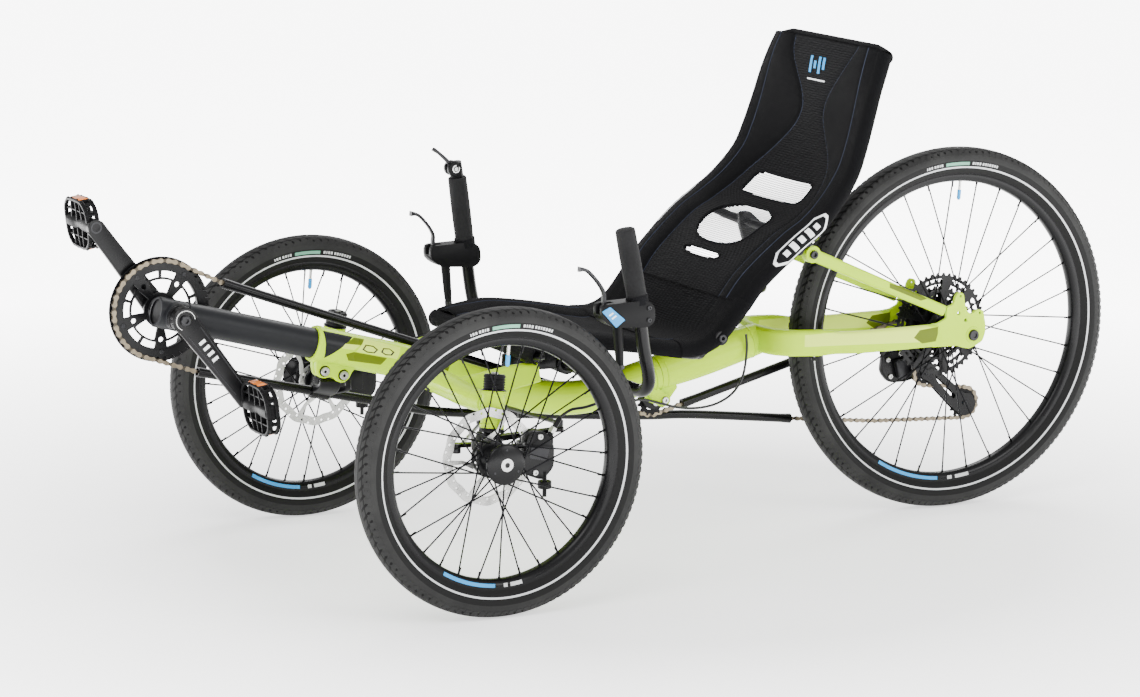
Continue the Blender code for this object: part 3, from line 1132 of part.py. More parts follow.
# ---------------------------------------------------------------- cables
def make_cable(name, route, radius, per_span):
    sweep(name, smooth_path([shift(*p) for p in route], per_span), round_profile(radius, 6), RUBBER)


def make_cables():
    for name, sign in (("brake_cable_left", 1), ("brake_cable_right", -1)):
        route = [(0.3190, 0.2480, 0.3690), (0.3195, 0.2440, 0.3450), (0.3215, 0.2230, 0.3240),
                 (0.3250, 0.1850, 0.3140),
                 (0.3280, 0.1550, 0.3120), (0.3280, 0.1350, 0.3020)]
        make_cable(name, [side(p, sign) for p in route], 0.0025, 3)
    loop = [(0.0325, 0.6500, 0.3500), (0.0330, 0.6520, 0.3210), (0.0325, 0.6460, 0.2780),
            (0.0310, 0.6285, 0.2490),
            (0.0295, 0.5990, 0.2320), (0.0280, 0.5630, 0.2260), (0.0265, 0.5240, 0.2290), (0.0250, 0.4880,
                                                                                           0.2390),
            (0.0230, 0.4540, 0.2480), (0.0200, 0.4200, 0.2450)]
    make_cable("shift_cable", loop, 0.0022, 2)


if __name__ == "__main__":
    clear_scene()
    make_front_frame()
    make_clamp_bolts()
    make_chain_tubes()
    make_tube_holder()
    make_idler()
    make_boom()
    make_crank_arm("crank_arm_left", 1)
    make_crank_arm("crank_arm_right", -1)
    make_chainring()
    make_pedal("pedal_left", 1)
    make_pedal("pedal_right", -1)
    for side_name, side_sign in (("left", 1), ("right", -1)):
        make_knuckle("knuckle_" + side_name, side_sign)
        make_caliper("caliper_" + side_name, side_sign)
        make_front_wheel("front_" + side_name, side_sign)
        make_grip("grip_" + side_name, side_sign)
        make_brake_mount("brake_mount_" + side_name, side_sign)
        make_brake_lever("brake_lever_" + side_name, side_sign)
        make_seat_stay("seat_stay_" + side_name, side_sign)
    make_handlebar()
    make_shifter()
    make_stem()
    make_rods()
    make_rear_frame()
    make_rear_axle()
    make_rear_wheel()
    make_cassette()
    make_derailleur()
    make_cage()
    make_chain()
    make_seat_base_frame()
    make_seat_back_frame()
    make_seat_covers()
    make_cables()
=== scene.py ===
"""Looks for the folding recumbent tricycle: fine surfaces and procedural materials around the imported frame.

Metres, +Z up, front towards -Y, rider's left at +X. Points are laid out from the front axle, as in the part.
"""
import math

import bmesh
import bpy
from mathutils import Matrix, Vector


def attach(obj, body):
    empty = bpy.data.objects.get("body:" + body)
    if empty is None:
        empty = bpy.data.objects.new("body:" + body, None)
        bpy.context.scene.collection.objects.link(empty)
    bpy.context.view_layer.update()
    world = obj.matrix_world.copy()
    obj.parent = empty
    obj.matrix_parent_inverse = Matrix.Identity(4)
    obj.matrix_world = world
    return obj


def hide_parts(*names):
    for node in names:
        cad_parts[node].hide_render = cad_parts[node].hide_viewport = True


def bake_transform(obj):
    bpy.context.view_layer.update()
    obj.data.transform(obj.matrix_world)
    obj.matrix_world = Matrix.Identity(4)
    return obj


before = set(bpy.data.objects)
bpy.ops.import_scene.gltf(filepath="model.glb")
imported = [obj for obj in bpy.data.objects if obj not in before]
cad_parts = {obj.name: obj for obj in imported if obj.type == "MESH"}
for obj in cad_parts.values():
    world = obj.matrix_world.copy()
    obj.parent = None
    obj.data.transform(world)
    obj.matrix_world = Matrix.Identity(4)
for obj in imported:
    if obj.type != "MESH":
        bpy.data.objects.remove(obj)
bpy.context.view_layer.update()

# ---------------------------------------------------------------- dimensions, as in the part
FRONT_AXLE_Y = -0.4463
TRACK = 0.770
WHEELBASE = 1.087
FRONT_WHEEL_R = 0.250
REAR_WHEEL_R = 0.3265
FRONT_BEAD_R = 0.203
REAR_BEAD_R = 0.2795
SPOKES = 32
BOOM_R = 0.025
BOOM_SLOPE = -0.259
BOOM_FRONT = -0.4300
BOOM_REF = (-0.136, 0.381)
MAIN_TUBE_R = 0.0295
BB_Y = -0.402
BB_Z = BOOM_REF[1] + BOOM_SLOPE * (BB_Y - BOOM_REF[0])
CRANK_LENGTH = 0.170
CRANK_ANGLE = math.radians(-53.5)
RING_PITCH_R = 0.0809
RING_X = -0.049
RING_TEETH = 40
CHAIN_PITCH = 0.0127
POWER_MOUTH = (-0.294, 0.487)
KING_TOP = (0.306, 0.027, 0.374)
KING_LEAN = math.tan(math.radians(7.0))
KING_CASTER = math.tan(math.radians(6.5))
HEAD_R = 0.019
HEAD_BOTTOM_Z = 0.290
HEAD_TOP_Z = 0.362
HEAD_FACE_Z = 0.350
ROTOR_R = 0.080
ROTOR_X = 0.339
BAR_R = 0.011
FOLD_Y = 0.4995
FOLD_Z = 0.2428
IDLER = (0.508, 0.2290)
IDLER_PITCH_R = 0.0255
IDLER_X = -0.045
COG_PITCH_R = 0.0225
COG_X = -0.0625
JOCKEY_UPPER = (1.0835, 0.2336)
JOCKEY_LOWER = (1.168, 0.1715)
UPPER_PITCH_R = 0.0245
LOWER_PITCH_R = 0.0285
TUBE_OUT_R = 0.0078
TUBE_IN_R = 0.0060
SEAT_TUBE_R = 0.010
BACK_TUBE_R = 0.009
SEAT_HINGE = (0.502, 0.383)
X_AXIS = Vector((1.0, 0.0, 0.0))
Y_AXIS = Vector((0.0, 1.0, 0.0))
Z_AXIS = Vector((0.0, 0.0, 1.0))
RETURN_ROUTE = [(-0.050, -0.338, 0.3425), (-0.0515, -0.180, 0.3060), (-0.0525, -0.027, 0.2710),
                (-0.056, 0.103, 0.2400), (-0.062, 0.300, 0.2185), (-0.064, 0.500, 0.2000),
                (-0.064, 0.598, 0.1940), (-0.0625, 0.800, 0.1710), (-0.0625, 0.976, 0.1520)]

REAR_AXLE = (WHEELBASE, REAR_WHEEL_R)
SIDES = ((1, "left"), (-1, "right"))


def at(x, y, z):
    """World place of a point laid out from the front axle."""
    return Vector((x, y + FRONT_AXLE_Y, z))


def side(point, sign):
    """A point, or its mirror image where sign is -1."""
    return (point[0] * sign, point[1], point[2])


def laid(points, sign=1):
    """Points laid out from the front axle, on the right side where sign is -1."""
    return [at(sign * x, y, z) for x, y, z in points]


def mirrored(half):
    """A half outline that ends on the middle plane, continued to the other side."""
    return half + [(-x, y, z) for x, y, z in reversed(half[:-1])]


def turns(count):
    """Equal angles once around a circle."""
    return [2.0 * math.pi * k / count for k in range(count)]


def across_axis(axis):
    """Two unit vectors across an axis, the first one upward where it can be."""
    helper = Z_AXIS if abs(axis.z) < 0.9 else Y_AXIS
    first = (helper - axis * helper.dot(axis)).normalized()
    return first, axis.cross(first)


def linked(name, data):
    """A new object in the scene."""
    made = bpy.data.objects.new(name, data)
    bpy.context.scene.collection.objects.link(made)
    return made


def boom_point(y, x=0.0):
    """A point on the boom's slanted centre line."""
    return at(x, y, BOOM_REF[1] + BOOM_SLOPE * (y - BOOM_REF[0]))


def king_point(z, sign):
    """A point on a kingpin's leaning axis at a height."""
    drop = KING_TOP[2] - z
    return at(sign * (KING_TOP[0] + drop * KING_LEAN), KING_TOP[1] - drop * KING_CASTER, z)


# ---------------------------------------------------------------- materials
class Nodes:
    """A material's node tree with short calls for the nodes used here."""

    def __init__(self, name):
        self.material = bpy.data.materials.new(name)
        self.material.use_nodes = True
        self.tree = self.material.node_tree
        self.shader = self.tree.nodes["Principled BSDF"]
        coordinates = self.tree.nodes.new("ShaderNodeTexCoord")
        self.position = coordinates.outputs["Object"]
        self.uv = coordinates.outputs["UV"]

    def link(self, source, target):
        self.tree.links.new(source, target)

    def math(self, operation, a, b=0.0):
        node = self.tree.nodes.new("ShaderNodeMath")
        node.operation = operation
        for socket, value in zip(node.inputs, (a, b)):
            if isinstance(value, (int, float)):
                socket.default_value = value
            else:
                self.link(value, socket)
        return node.outputs[0]

    def axes(self, vector):
        node = self.tree.nodes.new("ShaderNodeSeparateXYZ")
        self.link(vector, node.inputs[0])
        return node.outputs

    def scaled(self, vector, scale):
        node = self.tree.nodes.new("ShaderNodeMapping")
        node.inputs["Scale"].default_value = scale
        self.link(vector, node.inputs["Vector"])
        return node.outputs[0]

    def noise(self, vector, scale, detail=3.0, roughness=0.55):
        node = self.tree.nodes.new("ShaderNodeTexNoise")
        node.inputs["Scale"].default_value = scale
        node.inputs["Detail"].default_value = detail
        node.inputs["Roughness"].default_value = roughness
        self.link(vector, node.inputs["Vector"])
        return node.outputs[0]

    def voronoi(self, vector, scale, feature="F1"):
        node = self.tree.nodes.new("ShaderNodeTexVoronoi")
        node.feature = feature
        node.inputs["Scale"].default_value = scale
        self.link(vector, node.inputs["Vector"])
        return node.outputs[0]

    def spread(self, value, low, high, start=0.3, stop=0.7):
        node = self.tree.nodes.new("ShaderNodeMapRange")
        node.inputs["From Min"].default_value = start
        node.inputs["From Max"].default_value = stop
        node.inputs["To Min"].default_value = low
        node.inputs["To Max"].default_value = high
        self.link(value, node.inputs["Value"])
        return node.outputs[0]

    def blend(self, factor, a, b):
        node = self.tree.nodes.new("ShaderNodeMix")
        node.data_type = "RGBA"
        self.link(factor, node.inputs[0])
        for socket, value in ((node.inputs[6], a), (node.inputs[7], b)):
            if isinstance(value, tuple):
                socket.default_value = (*value, 1.0)
            else:
                self.link(value, socket)
        return node.outputs[2]

    def bump(self, height, strength, distance, below=None):
        node = self.tree.nodes.new("ShaderNodeBump")
        node.inputs["Strength"].default_value = strength
        node.inputs["Distance"].default_value = distance
        self.link(height, node.inputs["Height"])
        if below is not None:
            self.link(below, node.inputs["Normal"])
        return node.outputs[0]

    def use(self, colour=None, roughness=None, normal=None, alpha=None):
        for name, value in (("Base Color", colour), ("Roughness", roughness), ("Normal", normal),
                            ("Alpha", alpha)):
            if value is not None:
                self.link(value, self.shader.inputs[name])

    def fixed(self, **values):
        for name, value in values.items():
            self.shader.inputs[name.replace("_", " ")].default_value = value


def tint(colour, share):
    """A colour made lighter or darker."""
    return tuple(min(1.0, c * share) for c in colour)


def surface_material(name, colour, roughness, metallic, grain=900.0, depth=0.00006, worn=0.25, coat=0.0,
                     gloss=0.30):
    """Painted, cast or moulded surface: mottled colour, uneven roughness and a fine grain."""
    m = Nodes(name)
    cloudy = m.noise(m.position, 24.0, 4.0)
    fine = m.noise(m.position, grain, 2.0)
    m.use(m.blend(m.spread(cloudy, 0.0, 1.0), tint(colour, 1.0 - worn * 0.5),
                  tint(colour, 1.0 + worn * 0.5)),
          m.spread(cloudy, roughness - 0.05, roughness + 0.05), m.bump(fine, 0.5, depth))
    m.fixed(Metallic=metallic, Specular_IOR_Level=gloss, Coat_Weight=coat, Coat_Roughness=0.08)
    return m.material


LIME = (0.44, 0.68, 0.0)
# A lighter copy of the lime: painted highlight on the tubes.
PAINTED_HIGHLIGHT_LIME = (0.62, 0.80, 0.09)
# A darker copy of the lime: painted shade on the tubes.
PAINTED_SHADE_LIME = (0.10, 0.14, 0.004)


def inside(m, axes, edges):
    """1 where every edge's a*y + b*z > c holds; edges run through pairs of (y, z) corners, anticlockwise."""
    _, y, z = axes
    mask = None
    count = len(edges)
    for k in range(count):
        y0, z0 = edges[k]
        y1, z1 = edges[(k + 1) % count]
        a = -(z1 - z0)
        b = y1 - y0
        offset = a * (y0 + FRONT_AXLE_Y) + b * z0
        value = m.math("ADD", m.math("MULTIPLY", y, a), m.math("MULTIPLY", z, b))
        step = m.math("GREATER_THAN", value, offset)
        mask = step if mask is None else m.math("MULTIPLY", mask, step)
    return mask


def paint_material(name, tone_patches, reach=1.0):
    """Gloss paint over fine orange peel, with flat patches as (colour, (y, z) corners) out to reach in x:
    painted highlight, painted shade and near-black marks.
    """
    m = Nodes(name)
    axes = m.axes(m.position)
    cloudy = m.noise(m.position, 9.0, 3.0)
    colour = m.blend(m.spread(cloudy, 0.0, 1.0), tint(LIME, 0.97), tint(LIME, 1.03))
    middle = m.math("LESS_THAN", m.math("ABSOLUTE", axes[0]), reach)
    for tone, corners in tone_patches:
        colour = m.blend(m.math("MULTIPLY", inside(m, axes, corners), middle), colour, tone)
    m.use(colour, m.spread(cloudy, 0.22, 0.30), m.bump(m.noise(m.position, 420.0, 2.0), 0.25, 0.00004))
    m.fixed(Metallic=0.0, Specular_IOR_Level=0.10, Coat_Weight=0.0)
    return m.material


def brushed_material(name, colour, roughness):
    """Bare metal with fine streaks across X."""
    m = Nodes(name)
    streaks = m.noise(m.scaled(m.position, (40.0, 900.0, 900.0)), 1.0, 3.0)
    cloudy = m.noise(m.position, 40.0, 3.0)
    m.use(m.blend(m.spread(cloudy, 0.0, 1.0), tint(colour, 0.88), tint(colour, 1.06)),
          m.spread(streaks, roughness - 0.08, roughness + 0.12), m.bump(streaks, 0.3, 0.00003))
    m.fixed(Metallic=1.0)
    return m.material


SIPE_RATE = 62.0       # sipes in a metre of tread
SIPE_SLANT = 60.0
SIPE_SHARE = 0.34
SIPE_BAND = (0.0065, 0.0235)
GROOVES = ((0.0045, 0.0011), (0.0140, 0.0008))    # distance from the middle, half width
TREAD_DEPTH = 0.0022


def tread_material(name):
    """Tyre tread: rows of slanted sipes and two running grooves; u is along and v is across, in metres."""
    m = Nodes(name)
    u, v, _ = m.axes(m.uv)
    reach = m.math("ABSOLUTE", v)
    slant = m.math("ADD", m.math("MULTIPLY", u, SIPE_RATE), m.math("MULTIPLY", reach, SIPE_SLANT))
    sipe = m.math("LESS_THAN", m.math("FRACT", slant), SIPE_SHARE)
    band = m.math("MULTIPLY", m.math("GREATER_THAN", reach, SIPE_BAND[0]),
                  m.math("LESS_THAN", reach, SIPE_BAND[1]))
    groove_a, groove_b = (m.math("LESS_THAN", m.math("ABSOLUTE", m.math("SUBTRACT", reach, place)), half)
                          for place, half in GROOVES)
    cuts = m.math("MAXIMUM", m.math("MULTIPLY", sipe, band), m.math("MAXIMUM", groove_a, groove_b))
    fine = m.noise(m.position, 500.0, 3.0)
    dusty = m.noise(m.position, 16.0, 4.0)
    colour = m.blend(m.spread(dusty, 0.0, 1.0), (0.012, 0.012, 0.012), (0.026, 0.026, 0.0255))
    # The sipes and grooves are painted near-black: painted shade in the cuts.
    colour = m.blend(cuts, colour, (0.001, 0.001, 0.001))
    height = m.math("SUBTRACT", m.math("MULTIPLY", fine, 0.15), cuts)
    m.use(colour, m.spread(dusty, 0.55, 0.72), m.bump(height, 1.0, TREAD_DEPTH))
    m.fixed(Metallic=0.0, Specular_IOR_Level=0.14)
    return m.material


def sidewall_material(name):
    """Tyre sidewall with fine moulded ribs that run round it."""
    m = Nodes(name)
    _, v, _ = m.axes(m.uv)
    ribs = m.math("SINE", m.math("MULTIPLY", v, 5200.0))
    fine = m.noise(m.position, 600.0, 3.0)
    dusty = m.noise(m.position, 18.0, 4.0)
    m.use(m.blend(m.spread(dusty, 0.0, 1.0), (0.004, 0.004, 0.004), (0.007, 0.007, 0.007)),
          m.spread(dusty, 0.50, 0.66), m.bump(fine, 0.4, 0.0002, m.bump(ribs, 0.25, 0.0002)))
    m.fixed(Metallic=0.0, Specular_IOR_Level=0.14)
    return m.material


def weave_material(name, colour, pitch, roughness=0.85, depth=0.0006, sheen=0.01):
    """Plain weave from two crossed waves over u and v in metres."""
    m = Nodes(name)
    u, v, _ = m.axes(m.uv)
    turn = 2.0 * math.pi / pitch
    warp = m.math("SINE", m.math("MULTIPLY", u, turn))
    weft = m.math("SINE", m.math("MULTIPLY", v, turn))
    cross = m.math("MULTIPLY", warp, weft)
    fuzz = m.noise(m.position, 700.0, 3.0)
    cloudy = m.noise(m.position, 12.0, 4.0)
    # Colour follows the weave's relief, lighter on the crossings and darker in the hollows as painted shade,
    # mixed with a random mottle.
    painted_shade_and_mottle = m.math("ADD", m.math("MULTIPLY", cross, 0.25), m.math("MULTIPLY", cloudy, 0.9))
    m.use(m.blend(m.spread(painted_shade_and_mottle, 0.0, 1.0), tint(colour, 0.75), tint(colour, 1.30)),
          m.spread(cloudy, roughness - 0.06, roughness + 0.08),
          m.bump(m.math("ADD", cross, m.math("MULTIPLY", fuzz, 0.8)), 0.7, depth))
    m.fixed(Metallic=0.0, Specular_IOR_Level=0.08, Sheen_Weight=sheen, Sheen_Roughness=0.4)
    return m.material


def ribbed_material(name, colour, pitch):
    """Spacer knit: fine ribs across the panel with small open cells between them."""
    m = Nodes(name)
    u, v, _ = m.axes(m.uv)
    rib = m.math("SINE", m.math("MULTIPLY", v, 2.0 * math.pi / pitch))
    cell = m.math("MULTIPLY", m.math("SINE", m.math("MULTIPLY", u, 2.0 * math.pi / (pitch * 0.8))), rib)
    cloudy = m.noise(m.position, 14.0, 4.0)
    height = m.math("ADD", m.math("MULTIPLY", rib, 0.7), m.math("MULTIPLY", cell, 0.5))
    # Colour follows the height, lighter on the raised ribs and darker in the open cells as painted shade,
    # mixed with a random mottle.
    m.use(m.blend(m.spread(m.math("ADD", m.math("MULTIPLY", height, 0.3), cloudy), 0.0, 1.0, 0.2, 0.8),
                  tint(colour, 0.55), tint(colour, 1.7)),
          m.spread(cloudy, 0.78, 0.92), m.bump(height, 0.85, 0.0009))
    m.fixed(Metallic=0.0, Specular_IOR_Level=0.08, Sheen_Weight=0.01, Sheen_Roughness=0.45)
    return m.material


def foam_material(name, colour):
    """Closed foam: cells and pores under a mottled colour."""
    m = Nodes(name)
    cells = m.voronoi(m.position, 900.0)
    pores = m.noise(m.position, 260.0, 4.0)
    cloudy = m.noise(m.position, 20.0, 4.0)
    m.use(m.blend(m.spread(cloudy, 0.0, 1.0), tint(colour, 0.75), tint(colour, 1.25)),
          m.spread(pores, 0.82, 0.97), m.bump(m.math("ADD", cells, pores), 0.7, 0.0005))
    m.fixed(Metallic=0.0, Specular_IOR_Level=0.2, Sheen_Weight=0.05, Sheen_Roughness=0.5)
    return m.material


def chain_material(name, colour):
    """Bronze plating with grime."""
    m = Nodes(name)
    grime = m.noise(m.position, 90.0, 4.0)
    fine = m.noise(m.position, 900.0, 2.0)
    m.use(m.blend(m.spread(grime, 0.0, 1.0), tint(colour, 0.65), tint(colour, 1.35)),
          m.spread(grime, 0.30, 0.52), m.bump(fine, 0.4, 0.00006))
    m.fixed(Metallic=0.7)
    return m.material


DARK_BAND = (0.012, 0.0125, 0.014)
# Patches on the main tube: lighter lime as painted highlight along its upper part, darker lime as painted
# shade, and a near-black triangle and rings.
TUBE_TONE_PATCHES = [
    (DARK_BAND, [(-0.1445, 0.3640), (-0.0900, 0.3946), (-0.1445, 0.4090)]),
    (PAINTED_SHADE_LIME, [(-0.1077, 0.3861), (-0.0807, 0.3808), (-0.0640, 0.3875), (-0.0880, 0.3935)]),
    (PAINTED_HIGHLIGHT_LIME, [(-0.1154, 0.3794), (-0.0932, 0.3745), (-0.0807, 0.3816), (-0.1077, 0.3861)]),
    (PAINTED_HIGHLIGHT_LIME, [(-0.0896, 0.3719), (-0.0150, 0.3540), (-0.0040, 0.3710), (-0.0681, 0.3899)]),
    (DARK_BAND,
     [(-0.078, 0.3745), (-0.070, 0.3690), (-0.056, 0.3665), (-0.048, 0.3715), (-0.056, 0.3785),
      (-0.070, 0.3815)]),
    (PAINTED_HIGHLIGHT_LIME,
     [(-0.074, 0.3745), (-0.069, 0.3708), (-0.057, 0.3685), (-0.052, 0.3718), (-0.057, 0.3768),
      (-0.069, 0.3795)]),
    (DARK_BAND,
     [(-0.044, 0.3675), (-0.036, 0.3620), (-0.024, 0.3605), (-0.018, 0.3655), (-0.026, 0.3715),
      (-0.038, 0.3735)]),
    (PAINTED_HIGHLIGHT_LIME,
     [(-0.040, 0.3675), (-0.035, 0.3638), (-0.026, 0.3624), (-0.022, 0.3658), (-0.027, 0.3702),
      (-0.037, 0.3716)]),
    (PAINTED_SHADE_LIME,
     [(-0.1021, 0.3573), (-0.0442, 0.3463), (-0.0334, 0.3572), (-0.0932, 0.3717), (-0.1076, 0.3694)]),
    (PAINTED_SHADE_LIME, [(-0.0003, 0.3312), (0.0457, 0.3176), (0.0788, 0.3270), (0.0916, 0.3447), (0.0086, 0.3559)]),
]
# Painted highlight along the upper part of the chain stays and painted shade on their ends by the dropouts.
REAR_PAINTED_LIGHT = [
    (PAINTED_HIGHLIGHT_LIME, [(0.735, 0.352), (0.735, 0.331), (0.975, 0.322), (1.000, 0.345), (0.985, 0.352)]),
    (PAINTED_SHADE_LIME, [(0.972, 0.344), (0.960, 0.331), (0.978, 0.3195), (1.006, 0.3215), (1.014, 0.3475)]),
]
# Painted shade on a stretch of the seat stays near the dropouts.
STAY_PAINTED_SHADE = [(PAINTED_SHADE_LIME,
                [(0.905, 0.4320), (0.905, 0.4240), (0.972, 0.3965), (0.985, 0.3990), (0.960, 0.4150)])]

JET = (0.0030, 0.0030, 0.0034)
BODY_PAINT = paint_material("lime_paint", TUBE_TONE_PATCHES, 0.034)
REAR_PAINT = paint_material("lime_paint_rear", REAR_PAINTED_LIGHT)
STAY_PAINT = paint_material("lime_paint_stay", STAY_PAINTED_SHADE)
ANODISED = surface_material("anthracite_anodised", (0.0095, 0.010, 0.0115), 0.42, 0.0, grain=1400.0,
                            depth=0.00003, worn=0.12, gloss=0.14)
BLACK_METAL = surface_material("black_metal", JET, 0.28, 0.0, grain=1100.0, depth=0.00004, worn=0.3,
                               gloss=0.16)
GREY_METAL = surface_material("dark_grey_metal", (0.014, 0.014, 0.016), 0.32, 0.3, grain=1100.0,
                              depth=0.00004, worn=0.25)
PLASTIC = surface_material("black_plastic", JET, 0.42, 0.0, grain=700.0, depth=0.00010, worn=0.25,
                           gloss=0.12)
TUBE_PLASTIC = surface_material("black_tube_plastic", JET, 0.26, 0.0, grain=500.0, depth=0.00005, worn=0.2,
                                gloss=0.16)
CABLE_SKIN = surface_material("cable_skin", (0.005, 0.005, 0.0055), 0.34, 0.0, grain=900.0, depth=0.00004,
                              worn=0.2)
STEEL = brushed_material("brushed_steel", (0.48, 0.48, 0.47), 0.30)
SPOKE_STEEL = brushed_material("black_spoke_steel", (0.010, 0.010, 0.011), 0.40)
ROTOR_STEEL = brushed_material("rotor_steel", (0.40, 0.40, 0.39), 0.32)
CHAIN_STEEL = chain_material("bronze_chain", (0.20, 0.165, 0.115))
CHAIN_DARK = chain_material("bronze_chain_inner", (0.060, 0.050, 0.036))
TREAD = tread_material("tyre_tread")
SIDEWALL = sidewall_material("tyre_sidewall")
REFLEX = surface_material("reflex_stripe", (0.52, 0.53, 0.54), 0.45, 0.0, grain=1600.0, depth=0.00008,
                          worn=0.15)
MARK_PALE = surface_material("sidewall_mark_pale", (0.50, 0.51, 0.51), 0.55, 0.0)
MARK_GREEN = surface_material("sidewall_mark_green", (0.13, 0.33, 0.23), 0.5, 0.0)
RIM_BLACK = surface_material("rim_black", JET, 0.28, 0.0, grain=1200.0, depth=0.00003, worn=0.2, gloss=0.16)
BLUE = surface_material("blue_plastic", (0.015, 0.27, 0.62), 0.38, 0.0, grain=900.0, depth=0.00004,
                        worn=0.15)
WHITE = surface_material("white_print", (0.80, 0.81, 0.82), 0.5, 0.0, grain=900.0, depth=0.00004, worn=0.08)
ORANGE = surface_material("orange_reflector", (0.85, 0.22, 0.02), 0.22, 0.0, grain=260.0, depth=0.00030,
                          worn=0.3, coat=0.5)
FABRIC = weave_material("seat_fabric", (0.003, 0.003, 0.0036), 0.0016)
RIBBED = ribbed_material("seat_spacer_knit", (0.005, 0.005, 0.0055), 0.0042)
NET = weave_material("seat_net", (0.020, 0.020, 0.022), 0.0008, 0.8, 0.0002, 0.01)
WEBBING = weave_material("black_webbing", (0.006, 0.006, 0.007), 0.0011, 0.8, 0.0004, 0.01)
PIPING = weave_material("blue_grey_piping", (0.030, 0.036, 0.055), 0.0012, 0.75, 0.0004, 0.01)
FOAM = foam_material("grip_foam", (0.008, 0.008, 0.0085))


# ---------------------------------------------------------------- shape helpers
def mesh_object(name, verts, faces, materials, uvs=None, indices=None):
    """uvs holds one (u, v) per face corner."""
    mesh = bpy.data.meshes.new(name)
    mesh.from_pydata([tuple(v) for v in verts], [], faces)
    for material in materials:
        mesh.materials.append(material)
    if indices:
        mesh.polygons.foreach_set("material_index", indices)
    if uvs:
        layer = mesh.uv_layers.new(name="UVMap")
        layer.data.foreach_set("uv", [c for corner in uvs for c in corner])
    mesh.shade_smooth()
    mesh.set_sharp_from_angle(angle=math.radians(38))
    return linked(name, mesh)


def grid_object(name, rows, materials, close_rows=False, close_columns=False, caps=False, index_of=None,
                uv_of=None):
    """Skin a grid of points; index_of(row, column) gives a face's material."""
    count = len(rows[0])
    verts = [p for row in rows for p in row]
    lengths = [0.0]
    for here, there in zip(rows, rows[1:] + rows[:1]):
        lengths.append(lengths[-1] + (there[0] - here[0]).length)
    girth = [0.0]
    first = rows[len(rows) // 2]
    for k in range(count):
        girth.append(girth[-1] + (first[(k + 1) % count] - first[k]).length)
    faces = []
    uvs = []
    indices = []
    last_row = len(rows) if close_rows else len(rows) - 1
    last_column = count if close_columns else count - 1
    for i in range(last_row):
        j = (i + 1) % len(rows)
        for k in range(last_column):
            n = (k + 1) % count
            faces.append((i * count + k, i * count + n, j * count + n, j * count + k))
            if uv_of:
                uvs += [uv_of(i, k), uv_of(i, k + 1), uv_of(i + 1, k + 1), uv_of(i + 1, k)]
            else:
                uvs += [(girth[k], lengths[i]), (girth[k + 1], lengths[i]), (girth[k + 1], lengths[i + 1]),
                        (girth[k], lengths[i + 1])]
            indices.append(index_of(i, k) if index_of else 0)
    if caps:
        for row, flip in ((0, True), (len(rows) - 1, False)):
            ring = [row * count + k for k in range(count)]
            faces.append(tuple(reversed(ring)) if flip else tuple(ring))
            uvs += [(0.0, 0.0)] * count
            indices.append(0)
    return mesh_object(name, verts, faces, materials, uvs, indices)


def path_frames(points, closed=False, across=X_AXIS):
    """Tangent, sideways and upward vectors at each point of a path, carried along it."""
    frames = []
    count = len(points)
    for i, point in enumerate(points):
        before = points[(i - 1) % count] if closed or i > 0 else point
        after = points[(i + 1) % count] if closed or i < count - 1 else point
        tangent = (after - before).normalized()
        sideways = (across - tangent * across.dot(tangent)).normalized()
        frames.append((tangent, sideways, tangent.cross(sideways)))
        across = sideways
    return frames


def smooth_path(points, per_span=6, closed=False):
    """A Catmull-Rom curve through the points, which may carry extra numbers."""
    points = [Vector(p) for p in points]
    count = len(points)
    result = []
    spans = count if closed else count - 1
    for i in range(spans):
        if closed:
            a, b, c, d = (points[(i + k) % count] for k in (-1, 0, 1, 2))
        else:
            a = points[max(i - 1, 0)]
            b = points[i]
            c = points[i + 1]
            d = points[min(i + 2, count - 1)]
        for step in range(per_span):
            t = step / per_span
            result.append(0.5 * ((2 * b) + (c - a) * t + (2 * a - 5 * b + 4 * c - d) * t * t
                                 + (3 * b - a - 3 * c + d) * t ** 3))
    if not closed:
        result.append(points[-1].copy())
    return result


def circle(radius, sides=28, squash=1.0):
    """Round profile, or an oval one."""
    turn = 2.0 * math.pi / sides
    return [(radius * math.cos(turn * k), radius * squash * math.sin(turn * k)) for k in range(sides)]


def soft_box(half_w, half_h, corner, steps=4):
    """Rectangle with round corners, anticlockwise."""
    points = []
    for cx, cy, start in ((half_w - corner, half_h - corner, 0.0),
                          (corner - half_w, half_h - corner, 90.0),
                          (corner - half_w, corner - half_h, 180.0),
                          (half_w - corner, corner - half_h, 270.0)):
        for k in range(steps + 1):
            angle = math.radians(start + 90.0 * k / steps)
            points.append((cx + corner * math.cos(angle), cy + corner * math.sin(angle)))
    return points


def sweep(name, points, profiles, material, closed=False, across=X_AXIS):
    """Skin one profile, or one for each point, along a path."""
    frames = path_frames(points, closed, across)
    rows = []
    for i, point in enumerate(points):
        profile = profiles[i] if isinstance(profiles[0], list) else profiles
        _, sideways, upward = frames[i]
        rows.append([point + sideways * u + upward * v for u, v in profile])
    return grid_object(name, rows, [material], close_rows=closed, close_columns=True, caps=not closed)


def tube(name, points, radius, material, closed=False, sides=20, across=X_AXIS):
    """Round bar or housing along a path."""
    return sweep(name, points, circle(radius, sides), material, closed, across)


